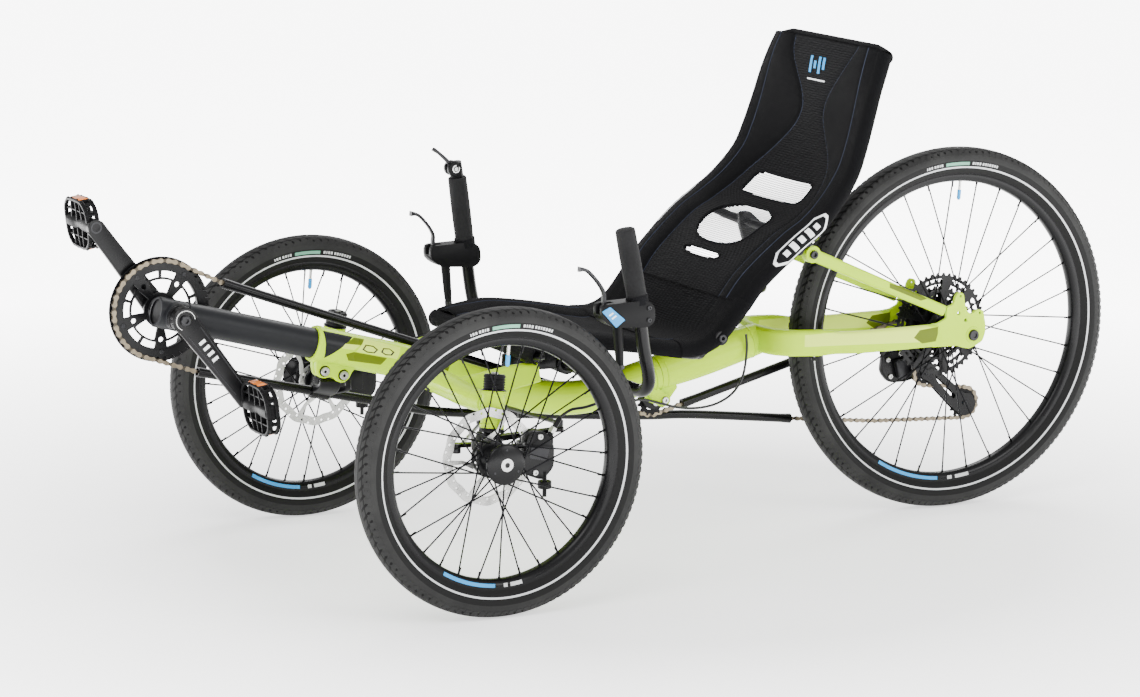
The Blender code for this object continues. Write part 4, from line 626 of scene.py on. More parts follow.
def lathe(name, profile, centre, materials, segments=96, axis=X_AXIS, closed=False, index_of=None,
          start=0.0,
          share=1.0):
    """Turn (along, radius) points about an axis; index_of(k) gives the material of the band after point k."""
    axis = axis.normalized()
    first, second = across_axis(axis)
    rows = []
    steps = segments if share >= 1.0 else segments + 1
    for k in range(steps):
        angle = start + 2.0 * math.pi * share * k / segments
        out = first * math.cos(angle) + second * math.sin(angle)
        rows.append([centre + axis * a + out * r for a, r in profile])
    widest = max(r for _, r in profile)
    across = [0.0]
    ring = profile + profile[:1]
    for (a0, r0), (a1, r1) in zip(ring, ring[1:]):
        across.append(across[-1] + math.hypot(a1 - a0, r1 - r0))
    middle = 0.5 * (across[-1] if closed else across[-2])

    def uv_of(i, k):
        return (2.0 * math.pi * share * widest * i / segments, across[k] - middle)

    made_index = (lambda i, k: index_of(k)) if index_of else None
    return grid_object(name, rows, materials, close_rows=share >= 1.0, close_columns=closed,
                       index_of=made_index,
                       uv_of=uv_of)


def rod(name, start, end, radius, material, sides=24, chamfer=None):
    """Round bar with chamfered, closed ends."""
    axis = end - start
    length = axis.length
    if chamfer is None:
        chamfer = min(0.0008, radius * 0.2, length * 0.2)
    profile = [(0.0, 0.0001), (0.0, radius - chamfer), (chamfer, radius), (length - chamfer, radius),
               (length, radius - chamfer), (length, 0.0001)]
    return lathe(name, profile, start, [material], sides, axis)


def flat_shape(name, loops, x_low, x_high, material, soften=0.0004):
    """Extrude filled (y, z) loops along X, the inner loops being holes, with softened edges."""
    curve = bpy.data.curves.new(name, "CURVE")
    curve.dimensions = "2D"
    curve.fill_mode = "BOTH"
    half = 0.5 * abs(x_high - x_low)
    soften = min(soften, half * 0.6)
    curve.extrude = half - soften
    curve.bevel_depth = soften
    curve.bevel_resolution = 1
    curve.offset = -soften
    for loop in loops:
        spline = curve.splines.new("POLY")
        spline.points.add(len(loop) - 1)
        for point, (y, z) in zip(spline.points, loop):
            point.co = (y, z, 0.0, 1.0)
        spline.use_cyclic_u = True
    holder = linked(name, curve)
    bpy.context.view_layer.update()
    mesh = bpy.data.meshes.new_from_object(holder.evaluated_get(bpy.context.evaluated_depsgraph_get()))
    bpy.data.objects.remove(holder, do_unlink=True)
    middle = 0.5 * (x_low + x_high)
    mesh.transform(Matrix(((0, 0, 1, middle), (1, 0, 0, 0), (0, 1, 0, 0), (0, 0, 0, 1))))
    mesh.materials.clear()
    mesh.materials.append(material)
    mesh.shade_smooth()
    mesh.set_sharp_from_angle(angle=math.radians(35))
    return linked(name, mesh)


def rounded(points, radius, steps=4):
    """A closed outline with its corners rounded."""
    result = []
    count = len(points)
    for i in range(count):
        here = Vector(points[i])
        before = Vector(points[i - 1])
        after = Vector(points[(i + 1) % count])
        reach = min(radius, 0.45 * (before - here).length, 0.45 * (after - here).length)
        start = here + (before - here).normalized() * reach
        stop = here + (after - here).normalized() * reach
        for k in range(steps + 1):
            t = k / steps
            point = start * (1 - t) ** 2 + here * 2 * t * (1 - t) + stop * t * t
            result.append((point.x, point.y))
    return result


def moved(loop, y=0.0, z=0.0):
    """An outline shifted by y and z."""
    return [(a + y, b + z) for a, b in loop]


def plate(name, outline, x_low, x_high, material, soften=0.0006, holes=()):
    """A plate laid out from the front axle."""
    loops = [moved(outline, FRONT_AXLE_Y)] + [moved(hole, FRONT_AXLE_Y) for hole in holes]
    return flat_shape(name, loops, x_low, x_high, material, soften)


def ring_points(centre, radius, sides=32, start=0.0):
    """A circle as (y, z) points."""
    turn = 2.0 * math.pi / sides
    return [(centre[0] + radius * math.cos(start + turn * k),
             centre[1] + radius * math.sin(start + turn * k))
            for k in range(sides)]


def block(name, low, high, material, soften=0.0012):
    """A box with softened edges, laid out from the front axle."""
    outline = [(low[1], low[2]), (high[1], low[2]), (high[1], high[2]), (low[1], high[2])]
    return plate(name, rounded(outline, soften * 1.5, 3), low[0], high[0], material, soften)


def baked(obj):
    """Apply an object's modifiers."""
    mesh = bpy.data.meshes.new_from_object(obj.evaluated_get(bpy.context.evaluated_depsgraph_get()))
    obj.modifiers.clear()
    obj.data = mesh
    return obj


def solidified(made, thickness, offset=-1.0):
    """Give a sheet its thickness."""
    solid = made.modifiers.new("thickness", "SOLIDIFY")
    solid.thickness = thickness
    solid.offset = offset
    bpy.context.view_layer.update()
    baked(made)
    made.data.shade_smooth()
    return made


def softened(node, material, width):
    """A copy of a CAD node's mesh with rounded edges."""
    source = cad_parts[node]
    made = linked(node + "_fine", source.data.copy())
    bm = bmesh.new()
    bm.from_mesh(made.data)
    bmesh.ops.remove_doubles(bm, verts=bm.verts, dist=0.000005)
    bmesh.ops.dissolve_limit(bm, angle_limit=math.radians(1.0), verts=bm.verts, edges=bm.edges)
    bm.to_mesh(made.data)
    bm.free()
    bevel = made.modifiers.new("bevel", "BEVEL")
    bevel.width = width
    bevel.segments = 2
    bevel.limit_method = "ANGLE"
    bevel.angle_limit = math.radians(40)
    bpy.context.view_layer.update()
    baked(made)
    made.data.materials.clear()
    made.data.materials.append(material)
    made.data.shade_smooth()
    made.data.set_sharp_from_angle(angle=math.radians(40))
    return made


def merged(name, objects):
    """One object from several, keeping materials and UVs."""
    bm = bmesh.new()
    materials = []
    for obj in objects:
        remap = []
        for material in obj.data.materials:
            if material not in materials:
                materials.append(material)
            remap.append(materials.index(material))
        start = len(bm.faces)
        copy = obj.data.copy()
        copy.transform(obj.matrix_world)
        bm.from_mesh(copy)
        bm.faces.ensure_lookup_table()
        for face in bm.faces[start:]:
            face.material_index = remap[face.material_index] if face.material_index < len(remap) else remap[0]
        bpy.data.meshes.remove(copy)
        bpy.data.objects.remove(obj, do_unlink=True)
    mesh = bpy.data.meshes.new(name)
    bm.to_mesh(mesh)
    bm.free()
    for material in materials:
        mesh.materials.append(material)
    return linked(name, mesh)


def mounted(name, body, objects, nodes=()):
    """Merge pieces, put them on a body and let them stand for CAD nodes."""
    made = merged(name, objects)
    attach(made, body)
    if nodes:
        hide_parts(*nodes)
    return made


WELD_R = 0.0019
WELD_RIPPLE = 0.00035
WELD_WAVES = 24.0


def weld(centre, axis, radius, material):
    """Rippled bead round a tube's end."""
    axis = axis.normalized()
    first, second = across_axis(axis)
    rows = []
    for angle in turns(72):
        out = first * math.cos(angle) + second * math.sin(angle)
        thick = WELD_R + WELD_RIPPLE * math.sin(angle * WELD_WAVES)
        rows.append([centre + out * (radius + thick * math.cos(t)) + axis * thick * math.sin(t)
                     for t in turns(8)])
    return grid_object("weld", rows, [material], close_rows=True, close_columns=True)


def socket_bolt(centre, outward, radius, material=STEEL):
    """Round screw head with a hexagonal recess, looking outward."""
    depth = radius * 0.7
    profile = [(0.0, radius), (depth * 0.8, radius), (depth, radius * 0.85), (depth, radius * 0.50),
               (depth * 0.35, radius * 0.48), (depth * 0.35, 0.0001)]
    return lathe("bolt", profile, centre, [material], 24, outward)


# ---------------------------------------------------------------- front frame
def main_tube_path():
    """The straight run under the boom, then the bend down to the frame hinge."""
    straight = [boom_point(y) for y in (-0.150, -0.120, -0.060, 0.000)]
    bend = [at(0, 0.080, 0.3195), at(0, 0.140, 0.2975), at(0, 0.200, 0.2790), at(0, 0.266, 0.2640),
            at(0, 0.315, 0.2575), at(0, 0.363, 0.2585), at(0, 0.410, 0.2680), at(0, 0.450, 0.2790),
            at(0, 0.4885, 0.2877)]
    return smooth_path(straight + bend, 5)


def make_front_frame():
    """Main tube, cross beam, head tubes, struts, hinge ears and clamp lugs, all in lime paint."""
    boom_axis = (boom_point(-0.10) - boom_point(0.10)).normalized()
    parts = [tube("main", main_tube_path(), MAIN_TUBE_R - 0.0004, BODY_PAINT, sides=48)]
    mouth = boom_point(-0.1445)
    parts.append(lathe("collar", [(0.0, 0.0270), (0.0, MAIN_TUBE_R), (0.0012, 0.0305), (0.0080, 0.0305),
                                  (0.0092, MAIN_TUBE_R), (0.0125, 0.0290), (0.0125, BOOM_R + 0.0002)],
                       mouth, [BODY_PAINT], 64, boom_axis))
    beam = [(-0.296, 0.024, 0.326), (-0.200, 0.032, 0.320), (-0.100, 0.046, 0.317), (0.0, 0.052, 0.316)]
    beam_path = smooth_path(laid(mirrored(beam)), 6)
    radii = [0.0168 + 0.0050 * math.cos(math.pi * 0.5 * (2.0 * i / (len(beam_path) - 1) - 1.0))
             for i in range(len(beam_path))]
    parts.append(sweep("beam", beam_path, [circle(r, 36) for r in radii], BODY_PAINT, across=Z_AXIS))
    for sign in (1, -1):
        axis = (king_point(HEAD_TOP_Z, sign) - king_point(HEAD_BOTTOM_Z, sign)).normalized()
        low = king_point(HEAD_BOTTOM_Z, sign)
        high = king_point(HEAD_FACE_Z, sign)
        length = (high - low).length
        parts.append(lathe("head",
                           [(0.0, 0.0130), (0.0, HEAD_R), (0.0012, HEAD_R + 0.0008),
                            (0.0070, HEAD_R + 0.0008), (0.0085, HEAD_R - 0.0004),
                            (length - 0.0085, HEAD_R - 0.0004), (length - 0.0070, HEAD_R + 0.0008),
                            (length - 0.0012, HEAD_R + 0.0008), (length, HEAD_R),
                            (length, 0.0130)], low, [BODY_PAINT], 48, axis))
        tip = beam_path[-1] if sign > 0 else beam_path[0]
        inner = beam_path[-3] if sign > 0 else beam_path[2]
        parts.append(weld(tip.lerp(inner, 0.35), tip - inner, 0.0172, BODY_PAINT))
        strut = [(0.125, 0.045, 0.3165), (0.138, 0.085, 0.3225), (0.150, 0.128, 0.3330),
                 (0.158, 0.180, 0.3420)]
        path = smooth_path(laid(strut, sign), 6)
        count = len(path) - 1
        parts.append(sweep("strut", path,
                           [soft_box(0.011, 0.0165 + 0.0035 * math.sin(math.pi * i / count), 0.006)
                            for i in range(count + 1)], BODY_PAINT))
        ear = [(0.470, 0.270), (0.462, 0.262), (0.4885, 0.2325), (0.4995, 0.2305), (0.5105, 0.2365),
               (0.5105, 0.2490), (0.4990, 0.2545), (0.4880, 0.2640)]
        parts.append(plate("ear", rounded(ear, 0.005), sign * 0.0105, sign * 0.0185, BODY_PAINT))
        parts.append(socket_bolt(at(sign * 0.0180, FOLD_Y, FOLD_Z), X_AXIS * sign, 0.0062))
    lug = rounded([(-0.152, 0.366), (-0.154, 0.346), (-0.150, 0.331), (-0.139, 0.3275), (-0.124, 0.3300),
                   (-0.115, 0.3200), (-0.104, 0.3175), (-0.094, 0.3240), (-0.088, 0.3370), (-0.060, 0.352)],
                  0.007)
    parts.append(plate("lug", lug, -0.0130, -0.0012, BODY_PAINT, 0.0015))
    parts.append(plate("lug", lug, 0.0012, 0.0130, BODY_PAINT, 0.0015))
    gusset = rounded([(0.010, 0.345), (0.075, 0.322), (0.092, 0.300), (0.030, 0.312)], 0.006)
    parts.append(plate("gusset", gusset, -0.0030, 0.0030, BODY_PAINT, 0.0008))
    parts.append(weld(at(0, 0.479, 0.2850), Vector((0, 1.0, 0.24)), MAIN_TUBE_R - 0.0006, BODY_PAINT))
    mounted("front_frame_paint", "frame", parts, ["front_frame"])


def make_headset():
    """Cups at both ends of the head tubes and ribbed caps on the kingpins."""
    caps = [lathe("cap", [(0.0, 0.0202), (0.0014, 0.0202), (0.0022, 0.0190), (0.0022, 0.0130)],
                  king_point(z, sign), [BLACK_METAL], 40,
                  (king_point(z + 0.01 * way, sign) - king_point(z, sign)))
            for sign in (1, -1) for z, way in ((HEAD_FACE_Z - 0.0004, 1), (HEAD_BOTTOM_Z + 0.0004, -1))]
    mounted("headset_cups", "frame", caps)
    for sign, label in SIDES:
        low = king_point(HEAD_FACE_Z, sign)
        axis = king_point(HEAD_TOP_Z, sign) - low
        profile = [(0.0, 0.0172)]
        for k in range(5):
            start = 0.0022 + 0.0040 * k
            profile += [(start, 0.0180), (start + 0.0008, 0.0168), (start + 0.0022, 0.0168),
                        (start + 0.0030, 0.0180)]
        profile += [(0.0236, 0.0178), (0.0254, 0.0158), (0.0260, 0.0090), (0.0248, 0.0084),
                    (0.0248, 0.0001)]
        mounted("king_cap_" + label, "knuckle_" + label[0],
                [lathe("cap", profile, low, [PLASTIC], 48, axis)])


def make_clamp_bolts():
    """Two screws with washers through the clamp lugs."""
    parts = [softened("clamp_bolts", STEEL, 0.0004)]
    for y, z in ((-0.139, 0.340), (-0.105, 0.331)):
        parts.append(lathe("washer", [(0.0, 0.0092), (0.0010, 0.0092), (0.0010, 0.0040)], at(0.0130, y, z),
                           [BLACK_METAL], 32))
        parts.append(lathe("head", [(0.0, 0.0074), (0.0040, 0.0074), (0.0048, 0.0068), (0.0048, 0.0048),
                                    (0.0030, 0.0046)], at(0.0134, y, z), [STEEL], 32))
        parts.append(lathe("recess", [(0.0, 0.0048), (0.0036, 0.0047), (0.0036, 0.0001)], at(0.0134, y, z),
                           [BLACK_METAL], 6))
    mounted("clamp_screws", "frame", parts, ["clamp_bolts"])


def make_boom():
    """Sliding tube with its plug, bracket shell and cups."""
    axis = boom_point(-0.030) - boom_point(BOOM_FRONT)
    length = axis.length
    parts = [lathe("boom", [(0.0, 0.0200), (0.0, BOOM_R - 0.0012), (0.0012, BOOM_R), (length, BOOM_R)],
                   boom_point(BOOM_FRONT), [ANODISED], 64, axis)]
    parts.append(lathe("plug", [(0.0020, 0.0001), (0.0020, 0.0201)], boom_point(BOOM_FRONT), [PLASTIC], 48,
                       axis))
    parts.append(lathe("shell",
                       [(-0.034, 0.0180), (-0.034, 0.0215), (-0.033, 0.0225), (0.033, 0.0225),
                        (0.034, 0.0215), (0.034, 0.0180)], at(0, BB_Y, BB_Z), [ANODISED], 64))
    for x, way in ((0.0341, 1), (-0.0341, -1)):
        parts.append(lathe("cup",
                           [(0.0, 0.0218), (0.0006, 0.0222), (0.0052, 0.0222), (0.0058, 0.0214),
                            (0.0058, 0.0128)],
                           at(x, BB_Y, BB_Z), [BLACK_METAL], 48, X_AXIS * way))
    parts.append(weld(boom_point(BB_Y + 0.0215), axis, BOOM_R - 0.0008, ANODISED))
    mounted("boom_anodised_tube", "boom", parts, ["boom_tube"])


# ---------------------------------------------------------------- cranks, chainring, pedals
def pedal_axis(sign):
    """Centre of a pedal's spindle as (y, z)."""
    return (BB_Y + sign * CRANK_LENGTH * math.cos(CRANK_ANGLE),
            BB_Z + sign * CRANK_LENGTH * math.sin(CRANK_ANGLE))


def make_crank_arm(label, sign):
    """Tapered arm with raised rails, boss, eye and pedal spindle."""
    hub_x, eye_x = (0.052, 0.072) if sign > 0 else (-0.0665, -0.0790)
    y_end, z_end = pedal_axis(sign)
    out = Vector((0.0, y_end - BB_Y, z_end - BB_Z)).normalized()
    start = at(hub_x, BB_Y, BB_Z)
    end = at(eye_x, y_end, z_end)
    middle = start.lerp(end, 0.5)
    path = smooth_path([start, start.lerp(middle, 0.5), middle, middle.lerp(end, 0.5), end], 5)
    count = len(path) - 1
    profiles = []
    for i in range(count + 1):
        t = i / count
        profiles.append(soft_box(0.0066, 0.0205 - 0.0066 * math.sin(math.pi * 0.5 * t) + 0.0012 * t,
                                 0.0036))
    parts = [sweep("arm", path, profiles, BLACK_METAL)]
    channel = [p + X_AXIS * sign * 0.0067 for p in path[3:-3]]
    for rail in (-1, 1):
        across = Vector((0.0, -out.z, out.y)) * rail
        parts.append(tube("rail",
                          [p + across * (0.0128 - 0.0036 * i / len(channel)) for i,
                           p in enumerate(channel)],
                          0.0008, GREY_METAL, sides=8))
    hub_profile = [(-0.0072, 0.0130), (-0.0072, 0.0205), (-0.0062, 0.0215), (0.0060, 0.0215),
                   (0.0072, 0.0203), (0.0072, 0.0120), (0.0058, 0.0116), (0.0058, 0.0001)]
    parts.append(lathe("boss", hub_profile, start, [BLACK_METAL], 48, X_AXIS * sign))
    parts.append(lathe("boss_ring",
                       [(0.0068, 0.0150), (0.0076, 0.0154), (0.0076, 0.0164), (0.0068, 0.0168)], start,
                       [STEEL], 48, X_AXIS * sign))
    parts.append(socket_bolt(start + X_AXIS * sign * 0.0052, X_AXIS * sign, 0.0085, GREY_METAL))
    eye_profile = [(-0.0068, 0.0001), (-0.0068, 0.0125), (-0.0058, 0.0135), (0.0058, 0.0135),
                   (0.0068, 0.0125), (0.0068, 0.0075), (0.0050, 0.0070), (0.0050, 0.0001)]
    parts.append(lathe("eye", eye_profile, end, [BLACK_METAL], 40, X_AXIS * sign))
    parts.append(lathe("eye_ring", [(-0.0073, 0.0070), (-0.0073, 0.0095), (-0.0066, 0.0098)], end,
                       [GREY_METAL], 32,
                       X_AXIS * sign))
    spindle = [(0.0, 0.0075), (0.0092, 0.0075), (0.0096, 0.0060), (0.093, 0.0048), (0.094, 0.0001)]
    parts.append(lathe("spindle", spindle, end, [GREY_METAL], 24, X_AXIS * sign))
    if sign > 0:
        parts.append(rod("axle", at(-0.0700, BB_Y, BB_Z), start, 0.0120, GREY_METAL, 32))
    mounted("crank_" + label, "cranks", parts, ["crank_arm_" + label])
    if sign > 0:
        make_crank_print(start, end, out)


PRINT_W = 0.0080
PRINT_H = 0.0118


def make_crank_print(start, end, out):
    """Four plain marks along the left arm."""
    up = Vector((0.0, -out.z, out.y))
    marks = []
    for k in range(4):
        centre = start.lerp(end, 0.27 + 0.068 * k) + X_AXIS * 0.00672
        rows = [[centre + out * a * PRINT_W * 0.5 + up * b * PRINT_H * 0.5 + X_AXIS * 0.0001
                 for b in (-1, 1)]
                for a in (-1, 1)]
        marks.append(grid_object("mark", rows, [WHITE]))
    mounted("crank_arm_print", "cranks", marks)


def toothed(pitch_r, teeth, tall, root=None, phase=0.0):
    """Sprocket outline: four points a tooth."""
    root = pitch_r - 0.0034 if root is None else root
    points = []
    for k in range(teeth):
        base = phase + 2.0 * math.pi * k / teeth
        for share, radius in ((-0.32, root), (-0.11, root + tall), (0.11, root + tall), (0.32, root)):
            angle = base + share * 2.0 * math.pi / teeth
            points.append((radius * math.cos(angle), radius * math.sin(angle)))
    return points


def window(r0, r1, a0, a1, steps=10, corner=0.004):
    """Ring-sector hole with softened corners."""
    outer = [(r1 * math.cos(a0 + (a1 - a0) * k / steps), r1 * math.sin(a0 + (a1 - a0) * k / steps))
             for k in range(steps + 1)]
    inner = [(r0 * math.cos(a1 - (a1 - a0) * k / steps), r0 * math.sin(a1 - (a1 - a0) * k / steps))
             for k in range(steps + 1)]
    return rounded(outer + inner, corner, 2)


def placed(loops, y, z):
    """Outlines moved to a centre laid out from the front axle."""
    return [moved(loop, y + FRONT_AXLE_Y, z) for loop in loops]


RING_INNER_R = 0.0655
SPIDER_R = 0.0670
GUARD_R = 0.0865
POST_CIRCLE_R = 0.0690    # circle of the five guard posts
RING_BOLT_R = 0.0180      # circle of the eight hub screws


def make_chainring():
    """Toothed ring, five-armed spider with windows, outer guard and hub."""
    fifth = 2.0 * math.pi / 5
    arms = [CRANK_ANGLE + math.pi + fifth * k for k in range(5)]
    parts = []
    ring_holes = [ring_points((0, 0), RING_INNER_R, 64)]
    parts.append(flat_shape("ring",
                            placed([toothed(RING_PITCH_R, RING_TEETH, 0.0058)] + ring_holes, BB_Y, BB_Z),
                            RING_X - 0.0014, RING_X + 0.0014, BLACK_METAL, 0.0003))
    disc = ring_points((0, 0), SPIDER_R, 80)
    holes = [window(0.0290, 0.0500, a + 0.21, a + fifth - 0.21, 10, 0.007) for a in arms]
    holes += [window(0.0535, 0.0640, a + 0.17, a + 0.5 * fifth - 0.04, 8, 0.004) for a in arms]
    holes += [window(0.0535, 0.0640, a + 0.5 * fifth + 0.04, a + fifth - 0.17, 8, 0.004) for a in arms]
    holes += [ring_points((0.0490 * math.cos(a), 0.0490 * math.sin(a)), 0.0042, 16) for a in arms]
    holes.append(ring_points((0, 0), 0.0122, 24))
    parts.append(flat_shape("spider", placed([disc] + holes, BB_Y, BB_Z), RING_X - 0.0045, RING_X + 0.0006,
                            BLACK_METAL, 0.0009))
    guard_holes = [window(0.0672, 0.0700, a + 0.22, a + fifth - 0.22, 10, 0.001) for a in arms]
    guard = ring_points((0, 0), GUARD_R, 120)
    parts.append(flat_shape("guard",
                            placed([guard, ring_points((0, 0), 0.0640, 96)] + guard_holes, BB_Y, BB_Z),
                            RING_X - 0.0085, RING_X - 0.0062, BLACK_METAL, 0.0006))
    for a in arms:
        spot = at(RING_X, BB_Y + POST_CIRCLE_R * math.cos(a), BB_Z + POST_CIRCLE_R * math.sin(a))
        parts.append(rod("post", spot - X_AXIS * 0.0088, spot + X_AXIS * 0.0016, 0.0044, GREY_METAL, 16))
        parts.append(socket_bolt(spot + X_AXIS * 0.0014, X_AXIS, 0.0034, GREY_METAL))
    parts.append(lathe("hub", [(-0.0099, 0.0123), (-0.0099, 0.0225), (-0.0088, 0.0240), (0.0060, 0.0240),
                               (0.0075, 0.0225), (0.0075, 0.0123)], at(RING_X, BB_Y, BB_Z), [BLACK_METAL],
                       48))
    for a in turns(8):
        spot = at(RING_X + 0.0072, BB_Y + RING_BOLT_R * math.cos(a), BB_Z + RING_BOLT_R * math.sin(a))
        parts.append(socket_bolt(spot, X_AXIS, 0.0024, STEEL))
    mounted("chainring_assembly", "cranks", parts, ["chainring"])


def make_pedal(label, sign, body):
    """Cage pedal: a six-sided toothed band, two rows of ribs, the barrel and amber reflectors."""
    y, z = pedal_axis(sign)
    eye_x = 0.072 if sign > 0 else 0.0790
    low = eye_x + 0.0074
    high = low + 0.0955
    centre = at(0.0, y, z)
    turn = Matrix.Translation(centre) @ Matrix.Rotation(math.radians(8.0), 4,
                                                        X_AXIS) @ Matrix.Translation(-centre)
    tall = 0.0385
    outline = [(low, -0.019), (low, 0.019), (low + 0.012, 0.034), (low + 0.026, tall),
               (high - 0.026, tall), (high - 0.012, 0.034), (high, 0.019), (high, -0.019),
               (high - 0.012, -0.034), (high - 0.026, -tall), (low + 0.026, -tall), (low + 0.012, -0.034)]
    band = smooth_path([at(sign * x, y, z + h) for x, h in outline], 4, True)
    parts = []
    for face in (1, -1):
        shifted = [p + Y_AXIS * 0.0080 * face for p in band]
        parts.append(sweep("band", shifted, soft_box(0.0034, 0.0022, 0.0010), PLASTIC, closed=True,
                           across=Y_AXIS))
    for k in range(0, len(band), 4):
        parts.append(rod("stay", band[k] - Y_AXIS * 0.0100, band[k] + Y_AXIS * 0.0100, 0.0026, PLASTIC, 10))
    middle = at(sign * 0.5 * (low + high), y, z)
    for k in range(1, len(band), 2):
        outward = (band[k] - middle).normalized()
        for face in (1, -1):
            base = band[k] + Y_AXIS * 0.0085 * face + outward * 0.0012
            parts.append(lathe("tooth", [(0.0, 0.0022), (0.0024, 0.0016), (0.0024, 0.0001)], base,
                               [PLASTIC], 6,
                               outward))
    half = 0.5 * (high - low)
    for way in (1, -1):
        for x0, x1 in ((-0.55, -0.38), (-0.05, 0.0), (0.46, 0.34)):
            start = middle + X_AXIS * half * x0
            end = middle + X_AXIS * half * x1 + Z_AXIS * way * (tall - 0.001)
            rib = [start, start.lerp(end, 0.5) + X_AXIS * 0.002 * way, end]
            parts.append(sweep("rib", smooth_path(rib, 4), soft_box(0.0095, 0.0013, 0.0005), PLASTIC,
                               across=Y_AXIS))
        cross = [middle + X_AXIS * half * share + Z_AXIS * way * 0.0215 for share in (-0.96, 0.0, 0.96)]
        parts.append(sweep("cross_rib", smooth_path(cross, 4), soft_box(0.0085, 0.0012, 0.0005), PLASTIC,
                           across=Y_AXIS))
        cover = rounded([(-0.0088, 0.0), (0.0088, 0.0), (0.0070, 0.0036), (-0.0070, 0.0036)], 0.0012)
        lens = moved(cover, 0.0, tall) if way > 0 else [(-a, -b - tall) for a, b in cover]
        parts.append(flat_shape("reflector", placed([lens], y, z), sign * (low + 0.027),
                                sign * (high - 0.027), ORANGE,
                                0.0006))
    barrel = [(0.0, 0.0058), (0.0, 0.0118), (0.0010, 0.0128), (0.030, 0.0128), (0.034, 0.0108),
              (0.060, 0.0108), (0.064, 0.0128), (0.0945, 0.0128), (0.0955, 0.0118), (0.0955, 0.0001)]
    parts.append(lathe("barrel", barrel, at(sign * low, y, z), [PLASTIC], 32, X_AXIS * sign))
    for part in parts:
        part.data.transform(turn)
    mounted("pedal_platform_" + label, body, parts, ["pedal_" + label])


# ---------------------------------------------------------------- wheels
def tyre_section(bead_r, outer_r):
    """Half section from bead to tread middle as (offset, radius)."""
    tall = outer_r - bead_r
    return [(0.0118, bead_r - 0.0012), (0.0132, bead_r + 0.0010), (0.0172, bead_r + 0.14 * tall),
            (0.0205, bead_r + 0.235 * tall), (0.0216, bead_r + 0.30 * tall),
            (0.0228, bead_r + 0.40 * tall), (0.0234, bead_r + 0.52 * tall), (0.0232, bead_r + 0.62 * tall),
            (0.0222, bead_r + 0.72 * tall), (0.0200, bead_r + 0.82 * tall),
            (0.0165, bead_r + 0.905 * tall), (0.0120, bead_r + 0.960 * tall),
            (0.0070, bead_r + 0.988 * tall), (0.0025, bead_r + 0.998 * tall)]


STRIPE = 3       # section band that reflects
TREAD_FROM = 6   # first section band that is tread


FRONT_KNOBS = 116
REAR_KNOBS = 150
KNOB_COVER = 0.62    # share of the spacing that a knob covers
KNOB_SKEW = 0.35     # how far its inner end lags, as a share of its width
KNOB_LIFT = 0.0007
KNOB_FACES = ((1, 3, 7, 5), (0, 2, 3, 1), (4, 5, 7, 6), (0, 1, 5, 4), (2, 6, 7, 3))


def shoulder_knobs(centre, bead_r, outer_r, count, sign):
    """Slanted knobs along one shoulder of a tyre."""
    tall = outer_r - bead_r
    wide = 2.0 * math.pi / count * KNOB_COVER
    ends = ((0.0222, bead_r + 0.725 * tall, 0.0), (0.0168, bead_r + 0.905 * tall, KNOB_SKEW * wide))
    verts = []
    faces = []
    for angle in turns(count):
        faces += [tuple(len(verts) + q for q in quad) for quad in KNOB_FACES]
        for a, r, lag in ends:
            for turn in (angle + (lag - wide / 2), angle + (lag + wide / 2)):
                verts += [centre + Vector((sign * (a + lift * 0.7), (r + lift) * math.sin(turn),
                                           (r + lift) * math.cos(turn))) for lift in (0.0, KNOB_LIFT)]
    return mesh_object("knobs", verts, faces, [TREAD], [(0.0, 0.030)] * 4 * len(faces))


def make_tyre(suffix, body, centre, bead_r, outer_r, knobs):
    """Sidewalls, reflecting stripe, tread and shoulder knobs."""
    half = tyre_section(bead_r, outer_r)
    profile = half + [(-a, r) for a, r in reversed(half)]
    last = len(profile) - 2

    def index_of(k):
        k = min(k, last - k)
        if k == STRIPE:
            return 2
        return 0 if k >= TREAD_FROM else 1

    parts = [lathe("tyre", profile, centre, [TREAD, SIDEWALL, REFLEX], 224, index_of=index_of)]
    parts += [shoulder_knobs(centre, bead_r, outer_r, knobs, sign) for sign in (1, -1)]
    mounted("tyre_fine_" + suffix, body, parts, ["tyre_" + suffix])


def arc_patch(centre, a, r0, r1, start, stop, sign, material, thick=0.0003, lean=0.0):
    """Thin printed patch on a wheel's side, from one angle to another (0 at the top, forward positive)."""
    steps = max(2, int(abs(stop - start) / math.radians(1.5)))
    rows = []
    for k in range(steps + 1):
        angle = start + (stop - start) * k / steps
        rows.append([centre + Vector((sign * (a + thick - lean * t),
                                      -(r0 + (r1 - r0) * t) * math.sin(angle),
                                      (r0 + (r1 - r0) * t) * math.cos(angle))) for t in (0.0, 1.0)])
    return grid_object("patch", rows, [material])


def make_sidewall_marks(suffix, body, centre, bead_r, outer_r):
    """Plain dashes and a green patch where a tyre's moulded label is, at the top of both sides."""
    tall = outer_r - bead_r
    r0 = bead_r + 0.355 * tall
    r1 = bead_r + 0.475 * tall
    a0 = 0.0226
    parts = []
    reach = 0.0235 / outer_r
    for sign in (1, -1):
        parts.append(arc_patch(centre, a0 + 0.0003, r0, r1, -reach * 0.9, reach * 1.4, sign, MARK_GREEN,
                               lean=-0.0007))
        widths = (0.0042, 0.0022, 0.0040, 0.0040, 0.0, 0.0038, 0.0040, 0.0024, 0.0042, 0.0038, 0.0040,
                  0.0030)
        for direction, first in ((-1, -reach * 1.2), (1, reach * 1.7)):
            cursor = first
            for width in widths[:8] if direction > 0 else widths:
                step = width / outer_r
                if width > 0.0:
                    parts.append(arc_patch(centre, a0 + 0.0003, r0 + 0.0008, r1 - 0.0002, cursor,
                                           cursor + direction * step, sign, MARK_PALE, lean=-0.0006))
                cursor += direction * (step + 0.0018 / outer_r)
    mounted("sidewall_marks_" + suffix, body, parts)


NIPPLE_SEAT = 0.0142     # the nipples' circle, inside the bead circle
SPOKE_R = 0.00135


